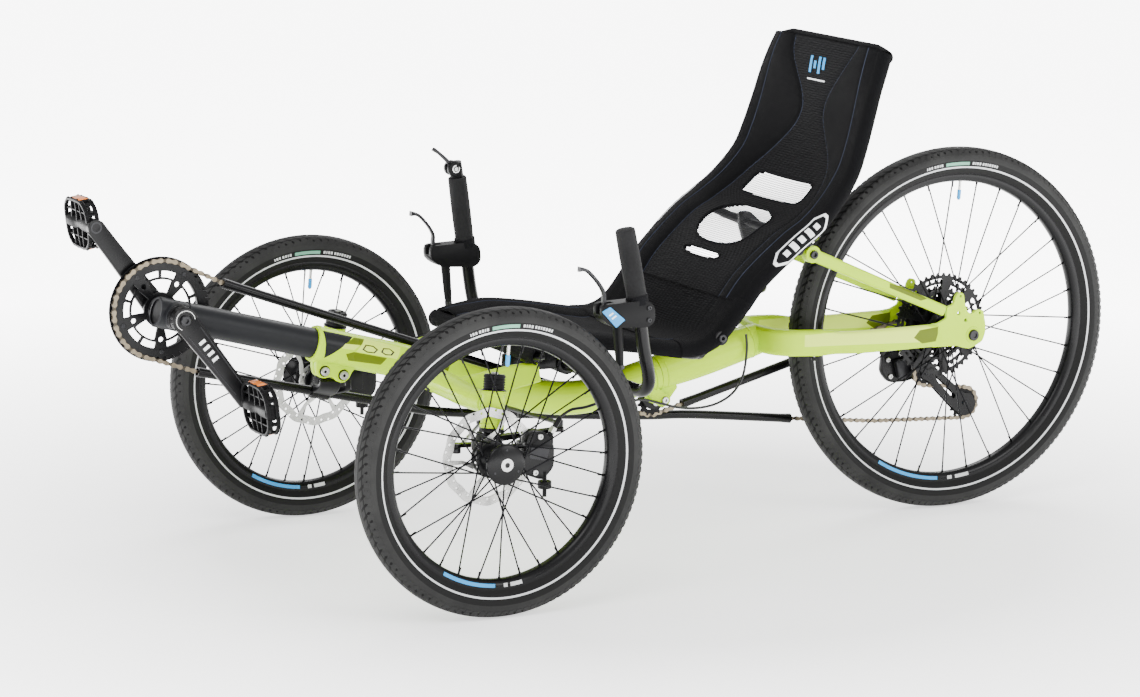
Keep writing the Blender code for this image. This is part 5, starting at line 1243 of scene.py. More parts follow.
def make_rim(suffix, body, centre, bead_r):
    """Double-walled rim with nipples, plain stickers and a valve."""
    half = [(0.0096, bead_r - 0.0070), (0.0104, bead_r + 0.0006), (0.0112, bead_r + 0.0020),
            (0.0128, bead_r + 0.0014), (0.0135, bead_r - 0.0006), (0.0134, bead_r - 0.0050),
            (0.0118, bead_r - 0.0100), (0.0082, bead_r - 0.0134), (0.0040, bead_r - 0.0148)]
    profile = half + [(-a, r) for a, r in reversed(half)]
    parts = [lathe("rim", profile, centre, [RIM_BLACK], 224, closed=True)]
    nipple = [(0.0, 0.0021), (0.0030, 0.0021), (0.0034, 0.0016), (0.0110, 0.0015), (0.0114, 0.0009)]
    for angle in turns(SPOKES):
        out = Vector((0.0, math.sin(angle), math.cos(angle)))
        parts.append(lathe("nipple", nipple, centre + out * (bead_r - NIPPLE_SEAT), [RIM_BLACK], 8, -out))
    mounted("rim_fine_" + suffix, body, parts, ["rim_" + suffix])
    stickers = []
    for sign in (1, -1):
        for start, stop, tone in ((148.0, 176.0, BLUE), (180.5, 182.5, MARK_PALE),
                                  (184.0, 190.0, MARK_PALE)):
            stickers.append(arc_patch(centre, 0.0126, bead_r - 0.0094, bead_r - 0.0034, math.radians(start),
                                      math.radians(stop), sign, tone, lean=-0.0012))
    mounted("rim_stickers_" + suffix, body, stickers)
    up = Vector((0.0, 0.06, 1.0)).normalized()
    base = centre + up * (bead_r - NIPPLE_SEAT)
    valve = [lathe("valve",
                   [(0.0, 0.0033), (0.0016, 0.0033), (0.0018, 0.0026), (0.0200, 0.0026),
                    (0.0204, 0.0018)], base,
                   [STEEL], 16, -up),
             lathe("cap",
                   [(0.0165, 0.0032), (0.0170, 0.0036), (0.0315, 0.0036), (0.0345, 0.0022),
                    (0.0350, 0.0001)], base,
                   [BLUE], 16, -up)]
    mounted("valve_" + suffix, body, valve)


def make_spokes(centre, flanges, rim_r, outward):
    """Crossed spokes from two flanges to the rim."""
    parts = []
    for k, angle in enumerate(turns(SPOKES)):
        offset, flange_r = flanges[k % 2]
        way = 1 if (k // 2) % 2 else -1
        lean = math.radians(55.0) * way
        foot_r = flange_r - 0.003
        face = offset + math.copysign(0.0016, lean)
        foot = centre + Vector((outward * face, foot_r * math.sin(angle + lean),
                                foot_r * math.cos(angle + lean)))
        tip = centre + Vector((0.0, rim_r * math.sin(angle), rim_r * math.cos(angle)))
        inside_flange = foot - X_AXIS * outward * math.copysign(0.0028, lean)
        path = [inside_flange, foot + (tip - foot).normalized() * 0.0008, foot.lerp(tip, 0.03), tip]
        parts.append(tube("spoke", path, SPOKE_R, SPOKE_STEEL, sides=8))
    return parts


FRONT_HUB = [(-0.0475, 0.0088), (-0.0475, 0.0185), (-0.0465, 0.0195), (-0.0290, 0.0195), (-0.0287, 0.0290),
             (-0.0280, 0.0300), (-0.0255, 0.0300), (-0.0248, 0.0290), (-0.0238, 0.0225), (-0.0150, 0.0185),
             (-0.0030, 0.0185), (0.0070, 0.0230), (0.0130, 0.0312), (0.0142, 0.0327), (0.0155, 0.0332),
             (0.0180, 0.0332), (0.0192, 0.0325), (0.0205, 0.0298), (0.0222, 0.0230), (0.0234, 0.0150),
             (0.0238, 0.0105)]


def make_front_wheel(suffix, sign, body):
    """Tyre, rim, hub with spokes, and brake disc."""
    centre = at(sign * TRACK / 2, 0.0, FRONT_WHEEL_R)
    make_tyre("front_" + suffix, body, centre, FRONT_BEAD_R, FRONT_WHEEL_R, FRONT_KNOBS)
    make_sidewall_marks("front_" + suffix, body, centre, FRONT_BEAD_R, FRONT_WHEEL_R)
    make_rim("front_" + suffix, body, centre, FRONT_BEAD_R)
    parts = [lathe("hub", FRONT_HUB, centre, [BLACK_METAL], 64, X_AXIS * sign)]
    parts += make_spokes(centre, ((-0.0268, 0.0300), (0.0165, 0.0330)), FRONT_BEAD_R - NIPPLE_SEAT, sign)
    parts.append(lathe("cap_ring", [(0.0236, 0.0108), (0.0240, 0.0104), (0.0240, 0.0055), (0.0232, 0.0045)],
                       centre,
                       [STEEL], 40, X_AXIS * sign))
    for a in turns(3):
        spot = centre + Vector((sign * 0.0215, 0.0235 * math.sin(a), 0.0235 * math.cos(a)))
        parts.append(lathe("dot", [(0.0, 0.0022), (0.0008, 0.0018), (0.0008, 0.0001)], spot, [GREY_METAL],
                           12,
                           X_AXIS * sign))
    mounted("hub_fine_front_" + suffix, body, parts, ["hub_front_" + suffix])
    make_rotor(suffix, sign, body)


ROTOR_WAVE = 0.0012
ROTOR_INNER_R = 0.0640
ROTOR_HOLE_CIRCLES = (0.0688, 0.0722, 0.0755)
ROTOR_HALF = 0.0009       # half thickness of the disc
ARM_HALF = 0.0008
ARM_HALF_W = 0.0030
ARM_FOOT_R = 0.0285
ARM_TIP_R = 0.0665
ARM_LAG = 0.45            # angle that an arm sweeps back
ARM_BOW = 0.004


def wavy_ring(radius):
    """Outline of a disc whose edge waves twelve times."""
    return [((radius + ROTOR_WAVE * math.cos(12 * a)) * math.cos(a),
             (radius + ROTOR_WAVE * math.cos(12 * a)) * math.sin(a))
            for a in turns(144)]


def rotor_arm(a):
    """Outline of a swept arm: wide at both ends and bowed between them."""
    foot = Vector((ARM_FOOT_R * math.sin(a), ARM_FOOT_R * math.cos(a)))
    tip = Vector((ARM_TIP_R * math.sin(a + ARM_LAG), ARM_TIP_R * math.cos(a + ARM_LAG)))
    run = (tip - foot).normalized()
    normal = Vector((-run.y, run.x))
    bow = 0.5 * (foot + tip) - normal * ARM_BOW
    ends = ((foot, 1.5), (bow, 1.0), (tip, 1.4))
    near = [tuple(p + normal * ARM_HALF_W * share) for p, share in ends]
    far = [tuple(p - normal * ARM_HALF_W * share) for p, share in reversed(ends)]
    return near + far


def make_rotor(suffix, sign, body):
    """Wavy vented disc on six swept arms."""
    outer = wavy_ring(ROTOR_R - ROTOR_WAVE)
    inner = wavy_ring(ROTOR_INNER_R)
    holes = []
    for k, a in enumerate(turns(36)):
        radius = ROTOR_HOLE_CIRCLES[k % 3]
        holes.append(ring_points((radius * math.cos(a), radius * math.sin(a)), 0.0021, 10))
    centre = (0.0, FRONT_WHEEL_R)
    parts = [flat_shape("disc", placed([outer, inner] + holes, *centre), sign * ROTOR_X - ROTOR_HALF,
                        sign * ROTOR_X + ROTOR_HALF,
                        ROTOR_STEEL, 0.0002)]
    slots = [window(0.0222, 0.0250, 2.0 * math.pi * k / 6 + 0.2, 2.0 * math.pi * (k + 1) / 6 - 0.2, 4,
                    0.001)
             for k in range(6)]
    parts.append(flat_shape("carrier",
                            placed([ring_points((0, 0), 0.0300, 48),
                                    ring_points((0, 0), 0.0204, 40)] + slots,
                                   *centre),
                            sign * ROTOR_X - ROTOR_HALF, sign * ROTOR_X + ROTOR_HALF, ROTOR_STEEL, 0.0002))
    for a in turns(6):
        parts.append(flat_shape("arm", placed([rotor_arm(a)], *centre), sign * ROTOR_X - ARM_HALF,
                                sign * ROTOR_X + ARM_HALF, ROTOR_STEEL, 0.0002))
        spot = at(sign * (ROTOR_X - 0.0012), 0.0250 * math.sin(a), FRONT_WHEEL_R + 0.0250 * math.cos(a))
        parts.append(socket_bolt(spot, -X_AXIS * sign, 0.0030, STEEL))
    mounted("rotor_fine_" + suffix, body, parts, ["rotor_front_" + suffix])


REAR_HUB = [(-0.0752, 0.0066), (-0.0752, 0.0110), (-0.0742, 0.0120), (-0.0665, 0.0120), (-0.0662, 0.0135),
            (-0.0250, 0.0135), (-0.0235, 0.0250), (-0.0215, 0.0268), (-0.0185, 0.0270), (-0.0172, 0.0255),
            (-0.0145, 0.0180), (0.0000, 0.0160), (0.0290, 0.0165), (0.0325, 0.0245), (0.0335, 0.0258),
            (0.0360, 0.0260), (0.0372, 0.0245), (0.0395, 0.0165), (0.0600, 0.0145), (0.0740, 0.0135),
            (0.0752, 0.0120), (0.0752, 0.0066)]


def make_rear_wheel():
    """Tyre, rim, hub with spokes, and the axle through the dropouts."""
    centre = at(0.0, *REAR_AXLE)
    make_tyre("rear", "wheel_r", centre, REAR_BEAD_R, REAR_WHEEL_R, REAR_KNOBS)
    make_sidewall_marks("rear", "wheel_r", centre, REAR_BEAD_R, REAR_WHEEL_R)
    make_rim("rear", "wheel_r", centre, REAR_BEAD_R)
    parts = [lathe("hub", REAR_HUB, centre, [BLACK_METAL], 64)]
    parts += make_spokes(centre, ((-0.0192, 0.0270), (0.0345, 0.0260)), REAR_BEAD_R - NIPPLE_SEAT, 1)
    mounted("hub_fine_rear", "wheel_r", parts, ["hub_rear"])
    axle = [rod("axle", at(-0.0855, *REAR_AXLE), at(0.0865, *REAR_AXLE), 0.0059, GREY_METAL),
            lathe("head",
                  [(0.0, 0.0100), (0.0040, 0.0100), (0.0058, 0.0088), (0.0058, 0.0050), (0.0030, 0.0045),
                   (0.0030, 0.0001)], at(0.0828, *REAR_AXLE), [GREY_METAL], 32),
            lathe("nut", [(0.0, 0.0100), (0.0050, 0.0100), (0.0058, 0.0090), (0.0058, 0.0001)],
                  at(-0.0828, *REAR_AXLE), [GREY_METAL], 6, -X_AXIS)]
    mounted("rear_axle_fine", "rear", axle, ["rear_axle"])


# ---------------------------------------------------------------- rear frame
STAY_X = 0.0790                  # the chain stays' middle plane
SEAT_STAY_X = 0.0850
SEAT_STAY_EYE = (0.7450, 0.4930)
STAY_EYE_PROFILE = [(-0.0080, 0.0060), (-0.0080, 0.0140), (-0.0070, 0.0150), (0.0070, 0.0150),
                    (0.0080, 0.0140), (0.0080, 0.0060)]


def make_rear_frame():
    """Spine, yoke, chain stays, dropouts and derailleur hanger."""
    path = smooth_path([at(0, 0.4897, 0.2880), at(0, 0.550, 0.3005), at(0, 0.620, 0.3170),
                        at(0, 0.690, 0.3340)], 6)
    count = len(path) - 1
    profiles = [circle(0.0288 - 0.0016 * i / count, 48, 1.02 + 0.12 * math.sin(math.pi * i / count))
                for i in range(count + 1)]
    parts = [sweep("spine", path, profiles, REAR_PAINT)]
    half_yoke = [(0.0, 0.688, 0.3365), (0.030, 0.690, 0.3365), (0.058, 0.697, 0.3370),
                 (0.074, 0.714, 0.3370), (STAY_X, 0.738, 0.3362), (STAY_X, 0.768, 0.3345)]
    yoke = [side(p, -1) for p in reversed(half_yoke[1:])] + half_yoke
    parts.append(sweep("yoke", smooth_path(laid(yoke), 6), soft_box(0.0232, 0.0100, 0.0085, 6), REAR_PAINT,
                       across=Z_AXIS))
    dropout = [(1.000, 0.310), (1.056, 0.3090), (1.064, 0.3055), (1.080, 0.3020), (1.094, 0.3070),
               (1.108, 0.3140), (1.114, 0.3300), (1.113, 0.3480), (1.110, 0.3580), (1.108, 0.3700),
               (1.094, 0.3720), (1.083, 0.3640), (1.074, 0.3700), (1.068, 0.3850), (1.065, 0.4030),
               (1.054, 0.4060), (1.048, 0.3990), (1.044, 0.3840), (1.030, 0.3800), (1.0305, 0.3600),
               (1.012, 0.3520), (1.000, 0.3520)]
    holes = [ring_points((1.0557, 0.3677), 0.0033, 16), ring_points((1.0711, 0.3541), 0.0033, 16),
             ring_points((1.0586, 0.3981), 0.0023, 12), ring_points((1.1005, 0.3655), 0.0023, 12),
             ring_points(REAR_AXLE, 0.0062, 20)]
    hanger = rounded([(1.080, 0.310), (1.094, 0.2870), (1.106, 0.2870), (1.113, 0.310), (1.100, 0.325)],
                     0.005)
    for sign in (1, -1):
        stay = [(STAY_X, 0.740, 0.3358), (STAY_X, 0.780, 0.3340), (STAY_X, 0.860, 0.3300),
                (STAY_X, 1.010, 0.3310)]
        stay_path = smooth_path(laid(stay, sign), 6)
        last = len(stay_path) - 1
        heights = [0.0200 + 0.0035 * math.sin(math.pi * min(1.0, 2.2 * i / last)) for i in range(last + 1)]
        parts.append(sweep("stay", stay_path, [soft_box(0.0080, h, 0.0060, 5) for h in heights],
                           REAR_PAINT))
        parts.append(plate("dropout", rounded(dropout, 0.0045, 4), sign * 0.0755, sign * 0.0825, REAR_PAINT,
                           0.0010,
                           holes))
        parts.append(lathe("axle_boss", [(0.0, 0.0150), (0.0012, 0.0145), (0.0014, 0.0064)],
                           at(sign * 0.0824, *REAR_AXLE), [REAR_PAINT], 40, X_AXIS * sign))
    parts.append(plate("hanger", hanger, -0.0800, -0.0755, REAR_PAINT, 0.0006,
                       [ring_points((1.100, 0.296), 0.0044, 16)]))
    tab = [(0.4995, 0.2315), (0.5085, 0.2350), (0.530, 0.2620), (0.520, 0.2760), (0.502, 0.2700),
           (0.4910, 0.2500), (0.4895, 0.2400)]
    parts.append(plate("tab", rounded(tab, 0.004), -0.0098, 0.0098, REAR_PAINT, 0.0010))
    parts.append(weld(at(0, 0.501, 0.2903), Vector((0, 1.0, 0.24)), 0.0284, REAR_PAINT))
    parts.append(weld(at(0, 0.672, 0.3296), Vector((0, 1.0, 0.24)), 0.0276, REAR_PAINT))
    mounted("rear_frame_paint", "rear", parts, ["rear_frame"])


def make_stay_clips():
    """Cable clips under the left chain stay."""
    clips = []
    for y in (0.760, 0.900):
        outline = [(y - 0.004, 0.3095), (y + 0.004, 0.3095), (y + 0.004, 0.3035), (y - 0.004, 0.3035)]
        clips.append(plate("clip", rounded(outline, 0.002), 0.0760, 0.0820, PLASTIC, 0.0008))
    mounted("stay_clips", "rear", clips)


def make_seat_stays():
    """Two struts from the dropouts up to the seat back, each with an eye and a bolt."""
    for sign, label in SIDES:
        stay = [(SEAT_STAY_X, 0.7560, 0.4880), (0.0820, 0.8900, 0.4311), (0.0790, 1.0245, 0.3742)]
        route = smooth_path(laid(stay, sign), 8)
        last = len(route) - 1
        profiles = [soft_box(0.0080 - 0.0015 * i / last, 0.0110 - 0.0015 * i / last, 0.0045, 4)
                    for i in range(last + 1)]
        pieces = [sweep("stay", route, profiles, STAY_PAINT),
                  lathe("eye", STAY_EYE_PROFILE, at(sign * SEAT_STAY_X, *SEAT_STAY_EYE), [STAY_PAINT], 48),
                  rod("bolt", at(sign * 0.0765, *SEAT_STAY_EYE), at(sign * 0.0938, *SEAT_STAY_EYE), 0.0062,
                      GREY_METAL),
                  socket_bolt(at(sign * 0.0930, *SEAT_STAY_EYE), X_AXIS * sign, 0.0075, GREY_METAL)]
        mounted("seat_stay_paint_" + label, "rear", pieces, ["seat_stay_" + label])


COG_TEETH = (46, 40, 34, 30, 26, 23, 20, 17, 15, 13, 11)
LARGEST_COG_X = -0.0277
SMALLEST_COG_X = -0.0622
COG_HALF = 0.0010        # half thickness of a cog


def cog_windows(k, pitch_r):
    """Rows of windows in the k-th largest cog as (inner radius, outer radius, number)."""
    rows = ([(0.0640, pitch_r - 0.0090, 9), (0.0400, 0.0590, 9)],
            [(0.0640, pitch_r - 0.0078, 9), (0.0400, 0.0590, 9)],
            [(0.0400, 0.0590, 9)], [(0.0400, 0.0520, 9)], [(0.0330, 0.0440, 6)])
    return rows[k] if k < len(rows) else []


def make_cassette():
    """Eleven toothed cogs on a core; the largest ones have windows."""
    parts = []
    step = (LARGEST_COG_X - SMALLEST_COG_X) / (len(COG_TEETH) - 1)
    for k, count in enumerate(COG_TEETH):
        pitch_r = CHAIN_PITCH / (2.0 * math.sin(math.pi / count))
        x = LARGEST_COG_X - step * k
        holes = [ring_points((0, 0), 0.0141, 24)]
        for r0, r1, sectors in cog_windows(k, pitch_r):
            share = 2.0 * math.pi / sectors
            holes += [window(r0, r1, share * s + 0.13, share * (s + 1) - 0.13, 6, 0.003)
                      for s in range(sectors)]
        outline = toothed(pitch_r, count, 0.0046, pitch_r - 0.0030, 0.1 * k)
        parts.append(flat_shape("cog", placed([outline] + holes, *REAR_AXLE), x - COG_HALF, x + COG_HALF,
                                GREY_METAL if k > 4 else BLACK_METAL, 0.0003))
    core = [(-0.0265, 0.0140), (-0.0265, 0.0170), (-0.0640, 0.0160), (-0.0655, 0.0185), (-0.0662, 0.0180),
            (-0.0662, 0.0140)]
    parts.append(lathe("core", core, at(0.0, *REAR_AXLE), [BLACK_METAL], 48))
    mounted("cassette_cogs", "cassette", parts, ["cassette"])


JOCKEYS = (("jockey_upper", "guide_wheel", JOCKEY_UPPER, UPPER_PITCH_R, 12),
           ("jockey_lower", "tension_wheel", JOCKEY_LOWER, LOWER_PITCH_R, 14))


def make_jockeys():
    """The two toothed wheels in the cage."""
    for name, body, centre, pitch_r, teeth in JOCKEYS:
        holes = [ring_points((0, 0), 0.0040, 16)]
        holes += [ring_points((0.0125 * math.cos(a), 0.0125 * math.sin(a)), 0.0030, 12)
                  for a in turns(6)]
        parts = [flat_shape("wheel", placed([toothed(pitch_r, teeth, 0.0052)] + holes, *centre),
                            COG_X - 0.0015,
                            COG_X + 0.0015, PLASTIC, 0.0003)]
        parts.append(lathe("bush",
                           [(-0.0040, 0.0040), (-0.0040, 0.0085), (0.0040, 0.0085), (0.0040, 0.0040)],
                           at(COG_X, *centre), [GREY_METAL], 32))
        mounted(name + "_fine", body, parts, [name])


def make_idler():
    """Toothed wheel that turns the chain up to the rear."""
    holes = [ring_points((0, 0), 0.0044, 16)]
    holes += [window(0.0090, 0.0160, 2.0 * math.pi * k / 5 + 0.22, 2.0 * math.pi * (k + 1) / 5 - 0.22, 5,
                     0.002)
              for k in range(5)]
    parts = [flat_shape("wheel", placed([toothed(IDLER_PITCH_R, 13, 0.0050)] + holes, *IDLER),
                        IDLER_X - 0.0026,
                        IDLER_X + 0.0026, PLASTIC, 0.0005),
             lathe("bush", [(-0.0060, 0.0044), (-0.0060, 0.0088), (0.0060, 0.0088), (0.0060, 0.0044)],
                   at(IDLER_X, *IDLER),
                   [GREY_METAL], 32)]
    mounted("idler_wheel_fine", "idler", parts, ["idler_wheel"])


def make_idler_plate():
    """The idler's bracket, axle and screw."""
    outline = rounded([(0.440, 0.262), (0.470, 0.250), (0.492, 0.2190), (0.508, 0.2150), (0.521, 0.2240),
                       (0.521, 0.2360), (0.499, 0.2560), (0.478, 0.2950), (0.440, 0.2900)], 0.008)
    parts = [plate("bracket", outline, -0.0338, -0.0298, BLACK_METAL, 0.0008,
                   [ring_points((0.486, 0.243), 0.0065, 20), ring_points((0.463, 0.272), 0.0090, 24)]),
             rod("axle", at(-0.0530, *IDLER), at(-0.0305, *IDLER), 0.0040, GREY_METAL),
             rod("collar", at(-0.0385, *IDLER), at(-0.0340, *IDLER), 0.0070, GREY_METAL),
             socket_bolt(at(-0.0298, *IDLER), X_AXIS, 0.0060)]
    mounted("idler_plate", "frame", parts, ["idler_bracket"])


CAGE_PLATE = 0.0014


def make_derailleur_cage():
    """Two slotted plates and the pins between them."""
    outline = rounded([(1.0720, 0.2230), (1.0850, 0.2190), (1.1500, 0.1560), (1.1680, 0.1460),
                       (1.1880, 0.1530), (1.1930, 0.1720), (1.1800, 0.1890), (1.1650, 0.1900),
                       (1.1050, 0.2400), (1.0900, 0.2500), (1.0740, 0.2470)], 0.008)
    slot = rounded([(1.1010, 0.2290), (1.1080, 0.2150), (1.1440, 0.1800), (1.1480, 0.1870)], 0.004)
    parts = []
    for x in (COG_X - 0.0050 - CAGE_PLATE, COG_X + 0.0050):
        parts.append(plate("cage", outline, x, x + CAGE_PLATE, BLACK_METAL, 0.0004, [slot]))
    for centre in (JOCKEY_UPPER, JOCKEY_LOWER):
        parts.append(rod("pin", at(COG_X - 0.0072, *centre), at(COG_X + 0.0072, *centre), 0.0034,
                         GREY_METAL))
        parts.append(socket_bolt(at(COG_X + 0.0062, *centre), X_AXIS, 0.0046, GREY_METAL))
    parts.append(rod("shaft", at(-0.0880, *JOCKEY_UPPER), at(COG_X - 0.0060, *JOCKEY_UPPER), 0.0041,
                     GREY_METAL))
    mounted("derailleur_cage_fine", "cage", parts, ["derailleur_cage"])


def make_derailleur_body():
    """Two linkage plates with their pivots and the hub that the cage turns on."""
    parts = [softened("derailleur_body", BLACK_METAL, 0.0016)]
    shell = rounded([(1.010, 0.2700), (1.066, 0.2760), (1.098, 0.2660), (1.102, 0.2420), (1.092, 0.2200),
                     (1.060, 0.2120), (1.024, 0.2130), (1.006, 0.2340)], 0.010, 5)
    parts.append(plate("link_outer", shell, -0.1010, -0.0890, BLACK_METAL, 0.0028))
    inner = rounded([(1.030, 0.2560), (1.082, 0.2600), (1.090, 0.2300), (1.040, 0.2190)], 0.008, 5)
    parts.append(plate("link_inner", inner, -0.0890, -0.0760, GREY_METAL, 0.0020))
    for y, z in ((1.020, 0.2560), (1.026, 0.2250), (1.052, 0.2230), (1.046, 0.2660)):
        parts.append(socket_bolt(at(-0.0890, y, z), X_AXIS, 0.0045, STEEL))
    parts.append(lathe("cage_hub",
                       [(0.0, 0.0160), (0.0030, 0.0165), (0.0190, 0.0165), (0.0220, 0.0145),
                        (0.0220, 0.0001)],
                       at(-0.0760, *JOCKEY_UPPER), [BLACK_METAL], 40, -X_AXIS))
    mounted("derailleur_body_fine", "derailleur", parts, ["derailleur_body"])


def make_derailleur_mount():
    """Link from the hanger to the derailleur body."""
    parts = [softened("derailleur_mount", BLACK_METAL, 0.0008),
             socket_bolt(at(-0.1000, 1.100, 0.2960), -X_AXIS, 0.0090, GREY_METAL)]
    mounted("derailleur_mount_fine", "rear", parts, ["derailleur_mount"])


# ---------------------------------------------------------------- chain
def tangent_points(c1, r1, s1, c2, r2, s2):
    """Ends of the line that touches two circles; s is +1 where the circle lies below the line."""
    dy = c2[0] - c1[0]
    dz = c2[1] - c1[1]
    offset = (s1 * r1 - s2 * r2) / math.hypot(dy, dz)
    angle = math.atan2(dz, dy) + math.pi / 2 - math.asin(offset)
    normal = (math.cos(angle), math.sin(angle))
    return ((c1[0] + s1 * r1 * normal[0], c1[1] + s1 * r1 * normal[1]),
            (c2[0] + s2 * r2 * normal[0], c2[1] + s2 * r2 * normal[1]))


def arc(centre, radius, start, end, way, steps):
    """Points on a circle from one point to another, anticlockwise where way is +1."""
    a0 = math.atan2(start[1] - centre[1], start[0] - centre[0])
    a1 = math.atan2(end[1] - centre[1], end[0] - centre[0])
    turn = (a1 - a0) % (2.0 * math.pi)
    if way < 0:
        turn -= 2.0 * math.pi
    return [(centre[0] + radius * math.cos(a0 + turn * k / steps),
             centre[1] + radius * math.sin(a0 + turn * k / steps))
            for k in range(steps + 1)]


POWER_LEAD = tangent_points((BB_Y, BB_Z), RING_PITCH_R, 1, POWER_MOUTH, 0.0, 1)
POWER_FRONT = tangent_points(POWER_MOUTH, 0.0, 1, IDLER, IDLER_PITCH_R, -1)
POWER_REAR = tangent_points(IDLER, IDLER_PITCH_R, -1, REAR_AXLE, COG_PITCH_R, 1)


def along(line, y):
    """Height of a (y, z) line at y."""
    (y0, z0), (y1, z1) = line
    return z0 + (z1 - z0) * (y - y0) / (y1 - y0)


def drift(y, start, end, x0, x1):
    """Sideways place of a run that moves from one plane to another."""
    t = min(max((y - start) / (end - start), 0.0), 1.0)
    return x0 + (x1 - x0) * t


def chain_route():
    """The chain's closed loop over ring, idler, cog and jockeys."""
    ring = (BB_Y, BB_Z)
    back = RETURN_ROUTE[-1]
    front = RETURN_ROUTE[0]
    to_guide = tangent_points(REAR_AXLE, COG_PITCH_R, 1, JOCKEY_UPPER, UPPER_PITCH_R, -1)
    to_lower = tangent_points(JOCKEY_UPPER, UPPER_PITCH_R, -1, JOCKEY_LOWER, LOWER_PITCH_R, 1)
    to_tube = tangent_points(JOCKEY_LOWER, LOWER_PITCH_R, 1, back[1:], 0.0, 1)
    to_ring = tangent_points(front[1:], 0.0, 1, ring, RING_PITCH_R, 1)
    route = [(RING_X, *p) for p in arc(ring, RING_PITCH_R, to_ring[1], POWER_LEAD[0], -1, 40)]
    route += [(drift(y, -0.30, 0.48, RING_X, IDLER_X), y, along(POWER_FRONT, y))
              for y in (POWER_MOUTH[0], -0.10, 0.10, 0.28, 0.440)]
    route += [(IDLER_X, *p) for p in arc(IDLER, IDLER_PITCH_R, POWER_FRONT[1], POWER_REAR[0], 1, 8)]
    route += [(drift(y, 0.52, 1.06, IDLER_X, COG_X), y, along(POWER_REAR, y))
              for y in (0.570, 0.690, 0.810, 0.920)]
    route += [(COG_X, *p) for p in arc(REAR_AXLE, COG_PITCH_R, POWER_REAR[1], to_guide[0], -1, 20)]
    route += [(COG_X, *p) for p in arc(JOCKEY_UPPER, UPPER_PITCH_R, to_guide[1], to_lower[0], 1, 16)]
    route += [(COG_X, *p) for p in arc(JOCKEY_LOWER, LOWER_PITCH_R, to_lower[1], to_tube[0], -1, 20)]
    tail = laid(RETURN_ROUTE)
    return laid(route) + list(reversed(tail))


def evenly(points, pitch, closed):
    """Points at an even spacing close to the pitch along a polyline."""
    loop = points + points[:1] if closed else points
    lengths = [0.0]
    for a, b in zip(loop, loop[1:]):
        lengths.append(lengths[-1] + (b - a).length)
    count = max(2, round(lengths[-1] / pitch))
    count += count % 2
    result = []
    k = 0
    total = count if closed else count + 1
    for i in range(total):
        target = lengths[-1] * i / count
        while k < len(loop) - 2 and lengths[k + 1] < target:
            k += 1
        span = max(lengths[k + 1] - lengths[k], 1e-9)
        result.append(loop[k].lerp(loop[k + 1], (target - lengths[k]) / span))
    return result


def link_outline(length):
    """Figure-of-eight side plate, along and up from its first pin."""
    points = []
    end_r = 0.0042
    for cx, first in ((length, -90.0), (0.0, 90.0)):
        for k in range(5):
            a = math.radians(first + 45.0 * k)
            points.append((cx + end_r * math.cos(a), end_r * math.sin(a)))
        points.append((length / 2, 0.0022 if cx else -0.0022))
    return points


def make_chain():
    """Links with side plates and rollers along the route, every second one narrow."""
    pins = evenly(chain_route(), CHAIN_PITCH, True)
    verts = []
    faces = []
    indices = []
    count = len(pins)
    for i in range(count):
        here = pins[i]
        there = pins[(i + 1) % count]
        run = there - here
        length = run.length
        run.normalize()
        sideways = (X_AXIS - run * X_AXIS.dot(run)).normalized()
        upward = sideways.cross(run)
        outline = link_outline(length)
        number = len(outline)
        inner = i % 2 == 0
        for way in (1, -1):
            x0, x1 = (0.0010, 0.0017) if inner else (0.0018, 0.0025)
            base = len(verts)
            for x in (x0, x1):
                verts += [here + run * u + upward * v + sideways * (x * way) for u, v in outline]
            faces.append(tuple(base + k for k in range(number)))
            faces.append(tuple(base + number + k for k in reversed(range(number))))
            faces += [(base + k, base + (k + 1) % number, base + number + (k + 1) % number,
                       base + number + k)
                      for k in range(number)]
        base = len(verts)
        sides = 8
        radius = 0.0034 if inner else 0.0016
        reach = 0.0012 if inner else 0.0028
        for x in (-reach, reach):
            verts += [here + run * radius * math.cos(2 * math.pi * k / sides)
                      + upward * radius * math.sin(2 * math.pi * k / sides) + sideways * x
                      for k in range(sides)]
        faces.append(tuple(base + k for k in range(sides)))
        faces.append(tuple(base + sides + k for k in reversed(range(sides))))
        faces += [(base + k, base + (k + 1) % sides, base + sides + (k + 1) % sides, base + sides + k)
                  for k in range(sides)]
        indices += [1 if inner else 0] * (len(faces) - len(indices))
    made = mesh_object("chain_links", verts, faces, [CHAIN_STEEL, CHAIN_DARK], None, indices)
    bm = bmesh.new()
    bm.from_mesh(made.data)
    bmesh.ops.recalc_face_normals(bm, faces=bm.faces)
    bm.to_mesh(made.data)
    bm.free()
    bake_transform(made)
    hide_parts("chain")


def open_tube(name, points, material, flare=0.0009):
    """Guide tube with thick, slightly belled mouths."""
    frames = path_frames(points)
    rows = []
    last = len(points) - 1
    for i, point in enumerate(points):
        wide = TUBE_OUT_R + (flare if i in (0, last) else 0.0)
        rows.append((point, frames[i], wide, TUBE_IN_R))
    outer = [[p + f[1] * u + f[2] * v for u, v in circle(w, 24)] for p, f, w, _ in rows]
    inner = [[p + f[1] * u + f[2] * v for u, v in circle(r, 24)] for p, f, _, r in reversed(rows)]
    return grid_object(name, outer + inner + outer[:1], [material], close_columns=True)


def dense(points, step=0.02):
    """A polyline with more points."""
    result = []
    for a, b in zip(points, points[1:]):
        count = max(1, int((b - a).length / step))
        result += [a.lerp(b, k / count) for k in range(count)]
    return result + [points[-1].copy()]


